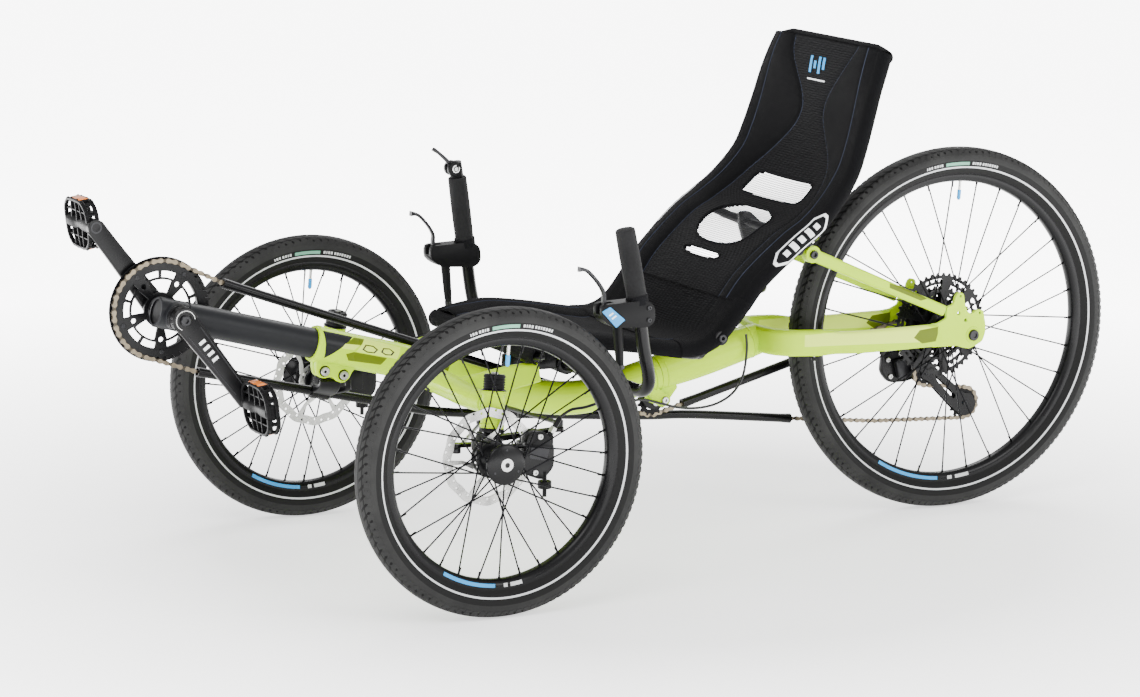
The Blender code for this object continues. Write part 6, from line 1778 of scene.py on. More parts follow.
def make_chain_tubes():
    """Guide tubes round the chain's pulling and return runs."""
    power = [at(drift(y, -0.30, 0.48, RING_X, IDLER_X), y, along(POWER_FRONT, y))
             for y in (POWER_MOUTH[0], 0.440)]
    mounted("power_tube_front", "frame", [open_tube("tube", dense(power, 0.03), TUBE_PLASTIC)],
            ["chain_tube_power_front"])
    rear = [at(drift(y, 0.52, 1.06, IDLER_X, COG_X), y, along(POWER_REAR, y)) for y in (0.570, 0.920)]
    mounted("power_tube_rear", "rear", [open_tube("tube", dense(rear, 0.03), TUBE_PLASTIC)],
            ["chain_tube_power_rear"])
    route = smooth_path(laid(RETURN_ROUTE[:-1]), 7)
    made = merged("return_tube", [open_tube("tube", route, TUBE_PLASTIC)])
    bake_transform(made)
    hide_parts("chain_tube_return")


def make_tube_holder():
    """Clip, arm and brace that carry the return tube under the clamp."""
    before = at(-0.0515, -0.180, 0.3060)
    after = at(-0.0525, -0.027, 0.2710)
    grip = before.lerp(after, 0.40)
    clip = [(-0.0160, TUBE_OUT_R), (-0.0160, 0.0112), (-0.0148, 0.0122), (-0.0060, 0.0122),
            (-0.0050, 0.0112), (0.0050, 0.0112), (0.0060, 0.0122), (0.0148, 0.0122), (0.0160, 0.0112),
            (0.0160, TUBE_OUT_R)]
    arm = [at(-0.0020, -0.122, 0.3215), at(-0.0060, -0.121, 0.3120), at(-0.0200, -0.120, 0.3020),
           at(-0.0420, -0.119, 0.2950)]
    holder = [lathe("clip", clip, grip, [PLASTIC], 40, after - before),
              sweep("arm", smooth_path(arm, 6), soft_box(0.0060, 0.0170, 0.0030), PLASTIC, across=Z_AXIS),
              sweep("brace",
                    smooth_path([p + Y_AXIS * 0.030 - Z_AXIS * 0.008 * k for k, p in enumerate(arm[:2])]
                                + [grip + Y_AXIS * 0.012], 6),
                    soft_box(0.0040, 0.0050, 0.0018), PLASTIC, across=Z_AXIS)]
    for y, z in ((-0.139, 0.3275), (-0.105, 0.3180)):
        holder.append(socket_bolt(at(-0.0142, y, z + 0.004), -X_AXIS, 0.0058, GREY_METAL))
    mounted("return_tube_holder", "frame", holder, ["chain_tube_holder"])


# ---------------------------------------------------------------- steering
def make_knuckle(label, sign, body):
    """Kingpin knuckle with its cap and the end of the wheel axle."""
    parts = [softened("knuckle_" + label, BLACK_METAL, 0.0010)]
    high = king_point(0.3748, sign)
    axis = high - king_point(0.36, sign)
    parts.append(lathe("cap",
                       [(0.0, 0.0166), (0.0010, 0.0160), (0.0012, 0.0110), (0.0002, 0.0100),
                        (0.0002, 0.0001)],
                       high, [BLACK_METAL], 40, axis))
    parts.append(socket_bolt(high, axis, 0.0060))
    parts.append(lathe("axle_end", [(0.0, 0.0084), (0.0006, 0.0080), (0.0006, 0.0044), (-0.0030, 0.0042),
                                    (-0.0030, 0.0001)], at(sign * 0.4086, 0, FRONT_WHEEL_R), [STEEL], 32,
                       X_AXIS * sign))
    mounted("knuckle_fine_" + label, body, parts, ["knuckle_" + label])


def make_caliper(label, sign, body):
    """Disc caliper with bolts, adjuster knob and cable anchor."""
    parts = [softened("caliper_" + label, BLACK_METAL, 0.0014)]
    for y, z in ((0.0780, 0.2200), (0.0860, 0.2780)):
        parts.append(socket_bolt(at(sign * 0.3523, y, z), X_AXIS * sign, 0.0048))
    knob = [(0.0, 0.0100), (0.0010, 0.0112), (0.0110, 0.0112), (0.0122, 0.0100), (0.0122, 0.0001)]
    parts.append(lathe("knob", knob, at(sign * 0.3515, 0.0960, 0.1929), [PLASTIC], 12, Z_AXIS))
    parts.append(rod("barrel_nut", at(sign * 0.328, 0.118, 0.2770), at(sign * 0.328, 0.124, 0.2860), 0.0062,
                     STEEL, 6))
    pad = rounded([(0.066, 0.244), (0.098, 0.238), (0.104, 0.256), (0.070, 0.264)], 0.004)
    parts.append(plate("pad_lip", pad, sign * 0.3520, sign * 0.3538, GREY_METAL, 0.0006))
    mounted("caliper_fine_" + label, body, parts, ["caliper_" + label])


def bar_points():
    """The handlebar's U, from the left grip down and round to the right one."""
    half = [(0.309, 0.2570, 0.5940), (0.318, 0.278, 0.476), (0.3194, 0.290, 0.400), (0.3190, 0.299, 0.362),
            (0.3120, 0.3035, 0.340), (0.2950, 0.305, 0.3265), (0.270, 0.305, 0.322)]
    left = laid(half)
    right = [Vector((-p.x, p.y, p.z)) for p in reversed(left)]
    return smooth_path(left, 8) + smooth_path(right, 8)


TAG_CORNERS = [(0.203, 0.4695), (0.2174, 0.4767), (0.2453, 0.4536), (0.2291, 0.4416)]


def make_bar():
    """The bent handlebar tube."""
    mounted("handlebar_bend", "handlebar", [tube("bar", bar_points(), BAR_R - 0.0001, BLACK_METAL, sides=32,
                                                 across=Y_AXIS)], ["handlebar_tube"])


def make_stem():
    """Clamp that holds the bar to the steering shaft."""
    parts = [softened("steering_stem", BLACK_METAL, 0.0014)]
    for x in (-0.012, 0.012):
        parts.append(socket_bolt(at(x, 0.288, 0.3330), Z_AXIS, 0.0042))
    parts.append(socket_bolt(at(0, 0.215, 0.3400), Z_AXIS, 0.0070))
    mounted("stem_fine", "handlebar", parts, ["steering_stem"])


def grip_ends(sign):
    """Lower and upper end of a grip."""
    return at(*side((0.3172, 0.2760, 0.4870), sign)), at(*side((0.3086, 0.2560, 0.5990), sign))


def make_grip(label, sign):
    """Foam sleeve; the left one is closed on top and the right one ends under the shifter."""
    bottom, top = grip_ends(sign)
    axis = top - bottom
    length = axis.length
    profile = [(0.0, 0.0112), (0.0, 0.0158), (0.0025, 0.0168)]
    steps = 16
    for k in range(steps + 1):
        t = k / steps
        profile.append((0.005 + (length - 0.010) * t, 0.0163 + 0.0006 * math.sin(math.pi * t)))
    if sign > 0:
        profile += [(length - 0.0025, 0.0155), (length - 0.0005, 0.0120), (length, 0.0001)]
    else:
        profile += [(length - 0.0015, 0.0163), (length, 0.0152), (length, 0.0112)]
    parts = [lathe("grip", profile, bottom, [FOAM], 64, axis)]
    mounted("grip_foam_" + label, "handlebar", parts, ["grip_" + label])


def make_brake_mount(label, sign):
    """Clamp for the lever, with its screws, pivot and cable adjuster."""
    parts = [softened("brake_mount_" + label, PLASTIC, 0.0022)]
    for z in (0.450, 0.470):
        parts.append(socket_bolt(at(sign * 0.3348, 0.2900, z), X_AXIS * sign, 0.0038, GREY_METAL))
    parts.append(lathe("pivot", [(0.0, 0.0068), (0.0012, 0.0062), (0.0012, 0.0001)],
                       at(sign * 0.3346, 0.2160, 0.4700),
                       [GREY_METAL], 24, X_AXIS * sign))
    collar_a = at(sign * 0.3190, 0.2475, 0.3700)
    collar_axis = Vector((0.0, -0.10, 1.0))
    parts.append(lathe("adjuster",
                       [(0.0, 0.0050), (0.0, 0.0066), (0.0070, 0.0066), (0.0080, 0.0055), (0.0180, 0.0062)],
                       collar_a, [GREY_METAL], 12, collar_axis))
    mounted("brake_mount_fine_" + label, "handlebar", parts, ["brake_mount_" + label])


def make_tag():
    """Blue tag with two plain bars on the left mount."""
    parts = [plate("tag", rounded(TAG_CORNERS, 0.0015, 3), 0.3352, 0.3366, BLUE, 0.0004)]
    lines = [[(0.30, 0.25), (0.38, 0.25), (0.38, 0.75), (0.30, 0.75)],
             [(0.50, 0.25), (0.58, 0.25), (0.58, 0.75), (0.50, 0.75)]]
    for line in lines:
        spots = []
        for u, v in line:
            near = Vector(TAG_CORNERS[0]).lerp(Vector(TAG_CORNERS[3]), u)
            far = Vector(TAG_CORNERS[1]).lerp(Vector(TAG_CORNERS[2]), u)
            spots.append(tuple(near.lerp(far, v)))
        parts.append(plate("tag_line", spots, 0.3364, 0.3370, WHITE, 0.0001))
    mounted("brake_mount_tag", "handlebar", parts)


def make_grip_strap(label, sign):
    """Webbing round the foot of a grip."""
    bottom, top = grip_ends(sign)
    axis = top - bottom
    strap_a = bottom.lerp(top, -0.03)
    parts = [lathe("strap",
                   [(0.0, 0.0120), (0.0, 0.0176), (0.0004, 0.0182), (0.0150, 0.0182), (0.0154, 0.0176),
                    (0.0154, 0.0120)], strap_a - axis.normalized() * 0.010, [WEBBING], 48, axis)]
    mounted("grip_strap_" + label, "handlebar", parts)


def make_brake_lever(label, sign):
    """Bent lever blade on its pivot barrel."""
    lever = [(0.3185, 0.2160, 0.4720), (0.3185, 0.2150, 0.4860), (0.3175, 0.2140, 0.4990),
             (0.3165, 0.2040, 0.5150), (0.3160, 0.1880, 0.5320), (0.3160, 0.1780, 0.5370),
             (0.3160, 0.1700, 0.5380)]
    path = smooth_path(laid(lever, sign), 6)
    last = len(path) - 1
    profiles = []
    for i in range(last + 1):
        t = i / last
        tip = max(0.0, t - 0.86) / 0.14
        profiles.append(soft_box(0.0046 + 0.0006 * tip,
                                 0.0036 - 0.0012 * math.sin(math.pi * t) + 0.0008 * tip, 0.0014))
    parts = [sweep("lever", path, profiles, GREY_METAL),
             rod("barrel", at(sign * 0.3122, 0.2160, 0.4720), at(sign * 0.3248, 0.2160, 0.4720), 0.0060,
                 GREY_METAL)]
    mounted("brake_lever_fine_" + label, "lever_" + label[0], parts, ["brake_lever_" + label])


SHIFTER_AXIS = (0.2480, 0.6150)


def make_shifter():
    """Shifter housing with its cover, and the paddle."""
    parts = [softened("shifter_body", PLASTIC, 0.0010),
             lathe("cover", [(0.0, 0.0132), (0.0020, 0.0120), (0.0026, 0.0060), (0.0026, 0.0001)],
                   at(-0.2990, *SHIFTER_AXIS), [PLASTIC], 40),
             lathe("badge_ring", [(0.0, 0.0070), (0.0008, 0.0070), (0.0008, 0.0050), (0.0, 0.0050)],
                   at(-0.2966, *SHIFTER_AXIS), [STEEL], 32),
             socket_bolt(at(-0.2968, *SHIFTER_AXIS), X_AXIS, 0.0034)]
    mounted("shifter_fine", "handlebar", parts, ["shifter_body"])
    mounted("shifter_lever_fine", "shift_paddle", [softened("shifter_lever", GREY_METAL, 0.0008)],
            ["shifter_lever"])


def make_steering_rods():
    """Track rod and drag link."""
    for name, body in (("track_rod", "track_rod"), ("drag_link", "drag_link")):
        mounted(name + "_fine", body, [softened(name, GREY_METAL, 0.0004)], [name])


# ---------------------------------------------------------------- cables
CABLE_R = 0.0025
SHIFT_CABLE_R = 0.0022


def make_brake_cables():
    """Each housing bends at two places, so it is two pieces that meet in the middle."""
    for sign, label in SIDES:
        route = [(0.3190, 0.2480, 0.3690), (0.3195, 0.2440, 0.3450), (0.3215, 0.2230, 0.3240),
                 (0.3250, 0.1850, 0.3140), (0.3280, 0.1550, 0.3120), (0.3280, 0.1350, 0.3020)]
        path = smooth_path(laid(route, sign), 10)
        middle = len(path) // 2
        upper = tube("brake_cable_upper_" + label, path[:middle + 1], CABLE_R, CABLE_SKIN, sides=14)
        lower = tube("brake_cable_lower_" + label, path[middle:], CABLE_R, CABLE_SKIN, sides=14)
        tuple(path[0])
        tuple(path[middle])
        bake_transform(upper)
        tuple(path[middle])
        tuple(path[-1])
        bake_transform(lower)
        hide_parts("brake_cable_" + label)


def make_shift_cable():
    """The loop of housing below the frame hinge."""
    loop = [(0.0325, 0.6500, 0.3500), (0.0330, 0.6520, 0.3210), (0.0325, 0.6460, 0.2780),
            (0.0310, 0.6285, 0.2490), (0.0295, 0.5990, 0.2320), (0.0280, 0.5630, 0.2260),
            (0.0265, 0.5240, 0.2290), (0.0250, 0.4880, 0.2390), (0.0230, 0.4540, 0.2480),
            (0.0200, 0.4200, 0.2450)]
    path = smooth_path(laid(loop), 8)
    cable = tube("shift_cable_fine", path, SHIFT_CABLE_R, CABLE_SKIN, sides=14)
    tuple(path[24])
    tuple(path[-8])
    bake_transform(cable)
    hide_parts("shift_cable")


# ---------------------------------------------------------------- seat
BASE_SIDE = [(0.187, 0.185, 0.3790), (0.190, 0.215, 0.3855), (0.190, 0.255, 0.3890),
             (0.190, 0.328, 0.3800), (0.190, 0.407, 0.3660), (0.190, 0.447, 0.3590)]
BACK_SIDE = [(0.1965, 0.506, 0.3870), (0.1965, 0.520, 0.4000), (0.1970, 0.545, 0.4330),
             (0.2000, 0.577, 0.4740), (0.2060, 0.640, 0.5300), (0.2060, 0.681, 0.5600),
             (0.1960, 0.721, 0.5970), (0.1870, 0.756, 0.6420), (0.1830, 0.774, 0.6850),
             (0.1790, 0.790, 0.7350), (0.1760, 0.804, 0.7820), (0.1730, 0.817, 0.8170)]
SAG_BACK = (0.0, 0.0, 0.002, 0.012, 0.022, 0.025, 0.023, 0.016, 0.008, 0.0)
SAG_BASE = 0.022
NET_PITCH = 0.0042    # spacing of the threads
NET_THREAD_R = 0.00055
NET_GROW = 1.04       # the threads run this far past the window
NET_STEPS = 14
MEAN_HALF = 0.190     # half width of the back, for spacing across it
EDGE_SEAM = 0.86      # the outer seam, as a share of the half width
BRACE_R = 0.0080
HOOD_THICK = 0.0020
LIP_THICK = 0.0025
PIPING_LIFT = 0.0004
WRAP = 0.35           # share of the half width given to the wrap round a side tube
PAD_STAND = 0.0054    # the pad's face above the side tubes


class Sling:
    """A padded sheet between two side tubes: point(c, t) is its face, c across and t along."""

    def __init__(self, stations, tube_r, hem, bolster, seam):
        self.rows = smooth_path([Vector(s) for s in stations], 10)
        self.tube_r = tube_r
        self.hem = hem
        self.bolster = bolster
        self.seam = seam
        self.lengths = [0.0]
        for a, b in zip(self.rows, self.rows[1:]):
            self.lengths.append(self.lengths[-1] + math.hypot(b[1] - a[1], b[2] - a[2]))

    def station(self, t):
        target = t * self.lengths[-1]
        k = 0
        while k < len(self.rows) - 2 and self.lengths[k + 1] < target:
            k += 1
        span = max(self.lengths[k + 1] - self.lengths[k], 1e-9)
        share = (target - self.lengths[k]) / span
        row = self.rows[k].lerp(self.rows[k + 1], share)
        low = max(k - 2, 0)
        high = min(k + 3, len(self.rows) - 1)
        run = Vector((0.0, self.rows[high][1] - self.rows[low][1],
                      self.rows[high][2] - self.rows[low][2])).normalized()
        return row, X_AXIS.cross(run)

    def profile(self, c, t):
        """Height of the padding over the stretched sheet."""
        seam = self.seam(t)
        reach = abs(c)
        groove = -0.0022 * math.exp(-((reach - seam) / 0.022) ** 2)
        groove -= 0.0014 * math.exp(-((reach - EDGE_SEAM) / 0.018) ** 2)
        if reach <= seam:
            share = reach / max(seam, 0.05)
            return groove + 0.0020 * math.cos(0.5 * math.pi * share)
        share = (reach - seam) / max(1.0 - seam, 0.05)
        return groove + self.bolster * math.sin(math.pi * min(share, 1.0)) ** 0.8

    def point(self, c, t, lift=0.0):
        row, normal = self.station(t)
        half, y, z, sag = row
        reach = self.tube_r + PAD_STAND + lift
        sign = 1.0 if c >= 0 else -1.0
        if abs(c) <= 1.0:
            u = half * c
            v = reach - sag * (1.0 - c * c) + self.profile(c, t)
        else:
            angle = math.radians(90.0 - (abs(c) - 1.0) / WRAP * (90.0 + self.hem))
            u = sign * (half + reach * math.cos(angle))
            v = reach * math.sin(angle)
        return at(0.0, y, z) + X_AXIS * u + normal * v


def in_window(window_spec, c, t):
    """Distance from a window's centre, 1 at its edge."""
    c0, t0, a, b, power = window_spec
    return (abs((c - c0) / a) ** power + abs((t - t0) / b) ** power) ** (1.0 / power)


def sling_mesh(name, sling, windows, across, lengthways, thickness, centre_material, side_material):
    """Pad with its windows left open; grid points near a window's edge are moved onto it."""
    cs = [(-1.0 - WRAP) + 2.0 * (1.0 + WRAP) * k / across for k in range(across + 1)]
    ts = [k / lengthways for k in range(lengthways + 1)]
    verts = []
    flags = []
    params = []
    for t in ts:
        for c in cs:
            cc, tt, flag = c, t, False
            for spec in windows:
                rho = in_window(spec, c, t)
                margin = 0.55 * (cs[1] - cs[0]) / spec[2]
                if rho < 1.0 + margin:
                    flag = True
                    if rho > 1.0 - margin * 1.2:
                        cc = spec[0] + (c - spec[0]) / rho
                        tt = spec[1] + (t - spec[1]) / rho
            verts.append(sling.point(cc, tt))
            params.append((cc, tt))
            flags.append(flag)
    count = across + 1
    faces = []
    indices = []
    uvs = []
    width = 0.19
    length = sling.lengths[-1]
    for i in range(lengthways):
        for k in range(across):
            quad = (i * count + k, i * count + k + 1, (i + 1) * count + k + 1, (i + 1) * count + k)
            if all(flags[q] for q in quad):
                continue
            faces.append(quad)
            middle = sum(params[q][0] for q in quad) / 4
            t_mid = sum(params[q][1] for q in quad) / 4
            indices.append(0 if abs(middle) < sling.seam(t_mid) else 1)
            uvs += [(params[q][0] * width, params[q][1] * length) for q in quad]
    made = mesh_object(name, verts, faces, [centre_material, side_material], uvs, indices)
    return solidified(made, thickness)


def net_patch(sling, spec, lift):
    """Knitted net over a window: crossing threads that end under its edge."""
    c0, t0, a, b, power = spec
    made = []
    for half, other, pitch, across in ((b, a, NET_PITCH / sling.lengths[-1], True),
                                       (a, b, NET_PITCH / MEAN_HALF, False)):
        count = int(half / pitch)
        for k in range(-count, count + 1):
            offset = k * pitch
            reach = NET_GROW * other * max(0.0, 1.0 - abs(offset / half) ** power) ** (1.0 / power)
            if reach < 0.02:
                continue
            spots = [reach * (2.0 * i / NET_STEPS - 1.0) for i in range(NET_STEPS + 1)]
            if across:
                points = [sling.point(c0 + spot, t0 + offset, lift) for spot in spots]
            else:
                points = [sling.point(c0 + offset, t0 + spot, lift) for spot in spots]
            helper = Z_AXIS if across else X_AXIS
            made.append(tube("thread", points, NET_THREAD_R, NET, sides=4, across=helper))
    return made


def window_edge(spec, steps=56):
    """Points round a window's edge as (c, t)."""
    c0, t0, a, b, power = spec
    points = []
    for angle in turns(steps):
        cos_a = math.cos(angle)
        sin_a = math.sin(angle)
        scale = (abs(cos_a) ** power + abs(sin_a) ** power) ** (-1.0 / power)
        points.append((c0 + a * cos_a * scale, t0 + b * sin_a * scale))
    return points


def piping(sling, params, radius, material, closed=False, lift=0.0):
    """A thin cord laid on the pad."""
    points = [sling.point(c, t, lift) for c, t in params]
    return tube("piping", points, radius, material, closed=closed, sides=8)


def back_seam(t):
    """Half width of the back's centre panel: broad at the ends, narrow at shoulder height."""
    waist = math.exp(-((t - 0.77) / 0.16) ** 2)
    return 0.68 - 0.48 * waist


def base_seam(t):
    """Half width of the base's centre panel."""
    return 0.70 - 0.06 * math.cos(2.0 * math.pi * t)


BACK_WINDOWS = [(0.0, 0.475, 0.50, 0.052, 6.0), (0.0, 0.276, 0.44, 0.103, 2.6),
                (0.0, 0.127, 0.30, 0.018, 3.0)]


def make_seat_tubes():
    """The base's tube loop, hinge lugs, pins and feet."""
    loop = [(0.0, 0.162, 0.3720), (0.120, 0.163, 0.3720), (0.172, 0.169, 0.3740)] + BASE_SIDE
    loop += [(0.182, 0.466, 0.3560), (0.165, 0.474, 0.3550), (0.0, 0.474, 0.3550)]
    loop += [(-x, y, z) for x, y, z in reversed(loop[1:-1])]
    parts = [tube("tube", smooth_path(laid(loop), 5, True), SEAT_TUBE_R - 0.0002, BLACK_METAL, closed=True,
                  across=Z_AXIS)]
    lug = rounded([(0.435, 0.3530), (0.470, 0.3465), (0.484, 0.3530), (0.505, 0.3710), (0.5135, 0.3800),
                   (0.5100, 0.3925), (0.4980, 0.3950), (0.4860, 0.3860), (0.4550, 0.3680),
                   (0.4380, 0.3700)], 0.004)
    for sign in (1, -1):
        parts.append(plate("lug", lug, sign * 0.1800, sign * 0.1865, BLACK_METAL, 0.0012))
        parts.append(rod("pin", at(sign * 0.1830, *SEAT_HINGE), at(sign * 0.2060, *SEAT_HINGE), 0.0050,
                         GREY_METAL))
        parts.append(block("foot", (sign * 0.1470, 0.1520, 0.3605), (sign * 0.1690, 0.1840, 0.3740),
                           BLACK_METAL))
    mounted("seat_base_tubes", "frame", parts, ["seat_base_frame"])


def make_back_tubes():
    """The back's arch, its cross braces, the saddles for the stays and the hinge eyes."""
    arch = BACK_SIDE + [(0.1620, 0.8270, 0.8370), (0.1300, 0.8300, 0.8450), (0.0, 0.8320, 0.8480)]
    parts = [tube("arch", smooth_path(laid(mirrored(arch)), 6), BACK_TUBE_R - 0.0002, BLACK_METAL,
                  across=Y_AXIS)]
    for row in ([(0.2000, 0.577, 0.4740), (0.1500, 0.603, 0.4520), (0.0, 0.610, 0.4460)],
                [(0.2070, 0.679, 0.5600), (0.1500, 0.704, 0.5340), (0.0, 0.712, 0.5260)]):
        parts.append(tube("brace", smooth_path(laid(mirrored(row)), 8), BRACE_R, BLACK_METAL,
                          across=Y_AXIS))
    saddle = rounded([(0.7000, 0.5450), (0.7180, 0.5450), (0.7420, 0.5240), (0.7440, 0.5100),
                      (0.7280, 0.5040), (0.7230, 0.4930), (0.7090, 0.4930), (0.7000, 0.5200)], 0.005)
    hinge_eye = [(-0.0090, 0.0056), (-0.0090, 0.0118), (-0.0080, 0.0125), (0.0080, 0.0125), (0.0090, 0.0118),
                 (0.0090, 0.0056)]
    for sign in (1, -1):
        parts.append(plate("saddle", saddle, sign * 0.0770, sign * 0.0930, BLACK_METAL, 0.0014))
        parts.append(lathe("eye", hinge_eye, at(sign * 0.1965, *SEAT_HINGE), [BLACK_METAL], 40))
        parts.append(socket_bolt(at(sign * 0.2050, *SEAT_HINGE), X_AXIS * sign, 0.0068, GREY_METAL))
    mounted("seat_back_tubes", "seat_back", parts, ["seat_back_frame"])


def make_seat_back():
    """Padded back with windows, hood, nets, piping and badges."""
    stations = []
    for i, (x, y, z) in enumerate(BACK_SIDE):
        if i < 2:
            continue
        stations.append((x, y, z, SAG_BACK[i - 2]))
    stations.append((0.1680, 0.8290, 0.8460, 0.0))
    sling = Sling(stations, BACK_TUBE_R, 40.0, 0.0060, back_seam)
    pad = sling_mesh("seat_back_pad", sling, BACK_WINDOWS, 108, 128, 0.0046, RIBBED, FABRIC)
    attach(pad, "seat_back")
    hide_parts("seat_back_cover")
    make_hood(sling)
    make_nets(sling)
    make_back_piping(sling)
    make_badges(sling)


def make_hood(sling):
    """The cover's hood folds over the top bar and hangs down behind it."""
    bar = at(0.0, 0.8310, 0.8455)
    _, normal = sling.station(1.0)
    rows = []
    for k in range(13):
        angle = math.radians(-12.0 + 190.0 * k / 12)
        out = Matrix.Rotation(-angle, 3, "X") @ normal
        rows.append((bar + out * (BACK_TUBE_R + 0.0040), 0.1680 - 0.0030 * k / 12))
    down = (rows[-1][0] - rows[-2][0]).normalized()
    for k in range(1, 4):
        rows.append((rows[12][0] + down * 0.005 * k, 0.1620 - 0.0020 * k))
    grid = []
    for centre, half in rows:
        line = []
        for k in range(49):
            c = 2.0 * k / 48 - 1.0
            drop = 0.008 * max(0.0, abs(c) - 0.80) / 0.20
            line.append(centre + X_AXIS * (half + 0.006) * c - Z_AXIS * drop * abs(c))
        grid.append(line)
    hood = solidified(grid_object("seat_back_hood", grid, [FABRIC]), HOOD_THICK)
    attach(hood, "seat_back")


def make_nets(sling):
    """Nets in all windows of the back."""
    nets = []
    for spec in BACK_WINDOWS:
        nets += net_patch(sling, spec, -0.0038)
    net = merged("seat_back_nets", nets)
    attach(net, "seat_back")


def make_back_piping(sling):
    """Piping along the seams and webbing round the windows."""
    steps = 64
    lines = []
    for sign in (1, -1):
        lines.append(piping(sling,
                            [(sign * back_seam(t), t)
                             for t in (k / steps for k in range(steps + 1))], 0.0010,
                            PIPING, lift=PIPING_LIFT))
        lines.append(piping(sling, [(sign * EDGE_SEAM, t) for t in (k / steps for k in range(steps + 1))],
                            0.0011, PIPING,
                            lift=PIPING_LIFT))
    for spec in BACK_WINDOWS:
        lines.append(piping(sling, window_edge(spec), 0.0014, WEBBING, closed=True, lift=PIPING_LIFT))
    mounted("seat_back_piping", "seat_back", lines)


def surface_patch(sling, corners, material, lift, steps=8):
    """Four-cornered patch laid on the pad, corners as (c, t)."""
    rows = []
    (c00, t00), (c10, t10), (c11, t11), (c01, t01) = corners
    for i in range(steps + 1):
        v = i / steps
        line = []
        for k in range(steps + 1):
            u = k / steps
            c = (1 - u) * (1 - v) * c00 + u * (1 - v) * c10 + u * v * c11 + (1 - u) * v * c01
            t = (1 - u) * (1 - v) * t00 + u * (1 - v) * t10 + u * v * t11 + (1 - u) * v * t01
            line.append(sling.point(c, t, lift))
        rows.append(line)
    return grid_object("patch", rows, [material])


def hexagon_patch(sling, c0, t0, half_c, half_t, material, lift):
    """Long hexagon, pointed along t."""
    rows = []
    steps = 20
    for i in range(steps + 1):
        v = 2.0 * i / steps - 1.0
        wide = half_c * min(1.0, (1.0 - abs(v)) / 0.38 + 0.22)
        rows.append([sling.point(c0 + wide * (2.0 * k / 8 - 1.0), t0 + half_t * v, lift) for k in range(9)])
    return grid_object("hexagon", rows, [material])


BADGE_C = 1.15
BADGE_T = 0.288


def make_badges(sling):
    """Plain side badges and a small mark near the top, without letters."""
    parts = []
    for sign in (1, -1):
        parts.append(hexagon_patch(sling, sign * BADGE_C, BADGE_T, 0.160, 0.125, WHITE, 0.0006))
        parts.append(hexagon_patch(sling, sign * BADGE_C, BADGE_T, 0.130, 0.112, WEBBING, 0.0010))
        for k, wide in enumerate((0.050, 0.085, 0.060, 0.085, 0.050)):
            t = BADGE_T + 0.034 * (k - 2)
            parts.append(surface_patch(sling,
                                       [(sign * (BADGE_C - wide), t - 0.010),
                                        (sign * (BADGE_C + wide), t - 0.010),
                                        (sign * (BADGE_C + wide), t + 0.010),
                                        (sign * (BADGE_C - wide), t + 0.010)],
                                       WHITE, 0.0013, 3))
    for c, low, high in ((-0.15, 0.885, 0.940), (-0.07, 0.900, 0.925), (0.01, 0.885, 0.940),
                         (0.09, 0.900, 0.940)):
        parts.append(surface_patch(sling, [(c, low), (c + 0.045, low), (c + 0.045, high), (c, high)], BLUE,
                                   0.0008, 3))
    parts.append(surface_patch(sling, [(-0.16, 0.862), (0.17, 0.862), (0.17, 0.867), (-0.16, 0.867)], WHITE,
                               0.0008, 6))
    mounted("seat_badges", "seat_back", parts)


def make_seat_base():
    """Padded base with its lip, piping and the cloth behind it."""
    stations = [(0.190, 0.1700, 0.3765, 0.0), (0.190, 0.1870, 0.3805, 0.1 * SAG_BASE)]
    for (x, y, z), share in zip(BASE_SIDE[1:5], (0.6, 0.9, 1.0, 0.75)):
        stations.append((x, y, z, SAG_BASE * share))
    stations.append((0.190, 0.428, 0.3624, 0.3 * SAG_BASE))
    sling = Sling(stations, SEAT_TUBE_R, 35.0, 0.0050, base_seam)
    pad = sling_mesh("seat_base_pad", sling, [], 96, 64, 0.0046, RIBBED, FABRIC)
    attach(pad, "frame")
    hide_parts("seat_base_cover")
    make_lip(sling)
    make_base_piping(sling)
    make_bridge_cloth()


def make_lip(sling):
    """Rolled front edge round the front bar."""
    rows = []
    _, normal = sling.station(0.0)
    bar = at(0.0, 0.1640, 0.3740)
    for k in range(12):
        angle = math.radians(-8.0 + 150.0 * k / 11)
        out = Matrix.Rotation(angle, 3, "X") @ normal
        rows.append([bar + out * (SEAT_TUBE_R + 0.0050) + X_AXIS * 0.196 * (2.0 * c / 40 - 1.0)
                     for c in range(41)])
    lip = solidified(grid_object("seat_base_lip", rows, [FABRIC]), LIP_THICK, 1.0)
    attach(lip, "frame")


def make_base_piping(sling):
    """Piping along the base's seams."""
    steps = 48
    lines = []
    for sign in (1, -1):
        for place in (None, EDGE_SEAM):
            params = [(sign * (base_seam(t) if place is None else place), t)
                      for t in (k / steps for k in range(steps + 1))]
            lines.append(piping(sling, params, 0.0010, PIPING, lift=PIPING_LIFT))
    mounted("seat_base_piping", "frame", lines)


def make_bridge_cloth():
    """Cloth that closes the gap between the base and the back."""
    middle = [(0.190, 0.4240, 0.3640, 0.010), (0.190, 0.4600, 0.3640, 0.014),
              (0.191, 0.4950, 0.3780, 0.020), (0.193, 0.5220, 0.4050, 0.016),
              (0.1965, 0.5500, 0.4400, 0.008)]
    bridge = Sling(middle, SEAT_TUBE_R + 0.0008, 30.0, 0.0030, lambda t: 0.66)
    cloth = sling_mesh("seat_bridge_cloth", bridge, [], 80, 36, 0.0028, RIBBED, FABRIC)
    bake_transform(cloth)


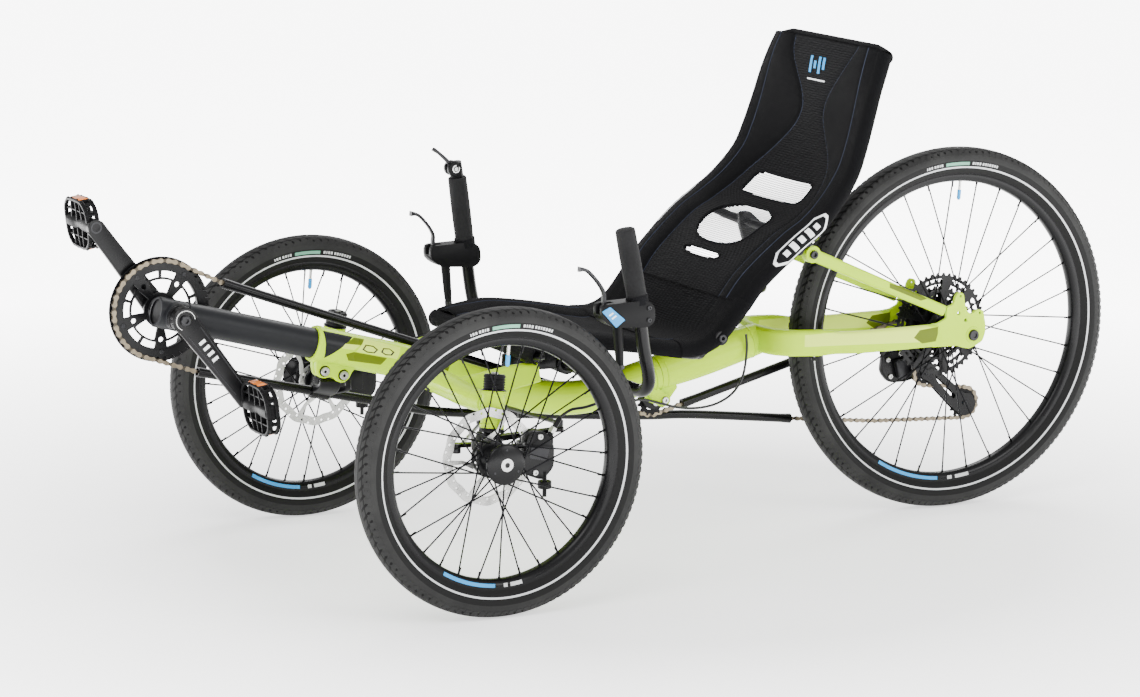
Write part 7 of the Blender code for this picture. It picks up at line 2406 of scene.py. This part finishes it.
# ---------------------------------------------------------------- build
make_front_frame()
make_headset()
make_clamp_bolts()
make_boom()
make_crank_arm("left", 1)
make_crank_arm("right", -1)
make_chainring()
make_pedal("left", 1, "pedal_l")
make_pedal("right", -1, "pedal_r")
make_front_wheel("left", 1, "wheel_fl")
make_front_wheel("right", -1, "wheel_fr")
make_rear_wheel()
make_rear_frame()
make_stay_clips()
make_seat_stays()
make_cassette()
make_jockeys()
make_idler()
make_idler_plate()
make_derailleur_cage()
make_derailleur_body()
make_derailleur_mount()
make_chain()
make_chain_tubes()
make_tube_holder()
for hand, hand_label in SIDES:
    make_knuckle(hand_label, hand, "knuckle_" + hand_label[0])
    make_caliper(hand_label, hand, "knuckle_" + hand_label[0])
make_bar()
make_stem()
for hand, hand_label in SIDES:
    make_grip(hand_label, hand)
    make_brake_mount(hand_label, hand)
    if hand > 0:
        make_tag()
    make_grip_strap(hand_label, hand)
    make_brake_lever(hand_label, hand)
make_shifter()
make_steering_rods()
make_brake_cables()
make_shift_cable()
make_seat_tubes()
make_back_tubes()
make_seat_back()
make_seat_base()


# ---------------------------------------------------------------- stage, light and camera
FLOOR_HALF = 14.0
WORLD_STRENGTH = 1.15
GLOW_NEAR = 1.1     # the floor glows faintly near the trike
GLOW_FAR = 7.0      # and strongly far from it, as a white studio sweep does


def make_stage():
    """Pale floor that glows, and an even white sky."""
    floor = Nodes("studio_floor")
    cloudy = floor.noise(floor.position, 1.5, 3.0)
    floor.use(floor.blend(floor.spread(cloudy, 0.0, 1.0), (0.90, 0.90, 0.90), (0.93, 0.93, 0.925)),
              floor.spread(cloudy, 0.60, 0.70))
    x, y, _ = floor.axes(floor.position)
    away = floor.math("SQRT", floor.math("ADD", floor.math("MULTIPLY", x, x), floor.math("MULTIPLY", y, y)))
    floor.link(floor.spread(away, GLOW_NEAR, GLOW_FAR, 0.7, 2.6), floor.shader.inputs["Emission Strength"])
    floor.fixed(Emission_Color=(1.0, 1.0, 1.0, 1.0))
    plane = mesh_object("floor",
                        [(-FLOOR_HALF, -FLOOR_HALF, 0), (FLOOR_HALF, -FLOOR_HALF, 0),
                         (FLOOR_HALF, FLOOR_HALF, 0), (-FLOOR_HALF, FLOOR_HALF, 0)],
                        [(0, 1, 2, 3)], [floor.material])
    world = bpy.data.worlds.new("studio")
    bpy.context.scene.world = world
    world.use_nodes = True
    background = world.node_tree.nodes["Background"]
    background.inputs["Color"].default_value = (1.0, 1.0, 1.0, 1.0)
    background.inputs["Strength"].default_value = WORLD_STRENGTH


def make_light(name, place, target, size, power):
    """A soft rectangular lamp that faces its target."""
    data = bpy.data.lights.new(name, "AREA")
    data.shape = "RECTANGLE"
    data.size = size[0]
    data.size_y = size[1]
    data.energy = power
    made = linked(name, data)
    made.location = place
    made.rotation_euler = (target - place).to_track_quat("-Z", "Y").to_euler()


CAMERA_AZIMUTH = math.radians(62.2202)
CAMERA_ELEVATION = math.radians(10.6617)
CAMERA_ROLL = math.radians(1.0068)
CAMERA_LENS = 120.65
CAMERA_PLACE = (5.651, -2.654, 1.545)


def make_camera():
    """The photo's camera, solved from the three wheels."""
    data = bpy.data.cameras.new("camera")
    data.sensor_width = 36.0
    data.lens = CAMERA_LENS
    data.clip_end = 60.0
    made = linked("camera", data)
    back = Vector((math.sin(CAMERA_AZIMUTH) * math.cos(CAMERA_ELEVATION),
                   -math.cos(CAMERA_AZIMUTH) * math.cos(CAMERA_ELEVATION),
                   math.sin(CAMERA_ELEVATION)))
    right = (-back).cross(Z_AXIS).normalized()
    up = back.cross(right)
    right_rolled = right * math.cos(CAMERA_ROLL) + up * math.sin(CAMERA_ROLL)
    up_rolled = up * math.cos(CAMERA_ROLL) - right * math.sin(CAMERA_ROLL)
    basis = Matrix((right_rolled, up_rolled, back)).transposed().to_4x4()
    made.matrix_world = Matrix.Translation(at(*CAMERA_PLACE)) @ basis
    bpy.context.scene.camera = made


make_stage()
make_light("key", Vector((2.6, -3.4, 4.6)), Vector((0.0, 0.0, 0.3)), (3.0, 3.0), 210.0)
make_light("fill", Vector((4.5, 2.4, 2.6)), Vector((0.0, 0.1, 0.3)), (2.5, 2.0), 130.0)
make_light("rim", Vector((-3.2, 2.6, 3.6)), Vector((0.0, 0.1, 0.4)), (2.5, 2.0), 110.0)
make_camera()
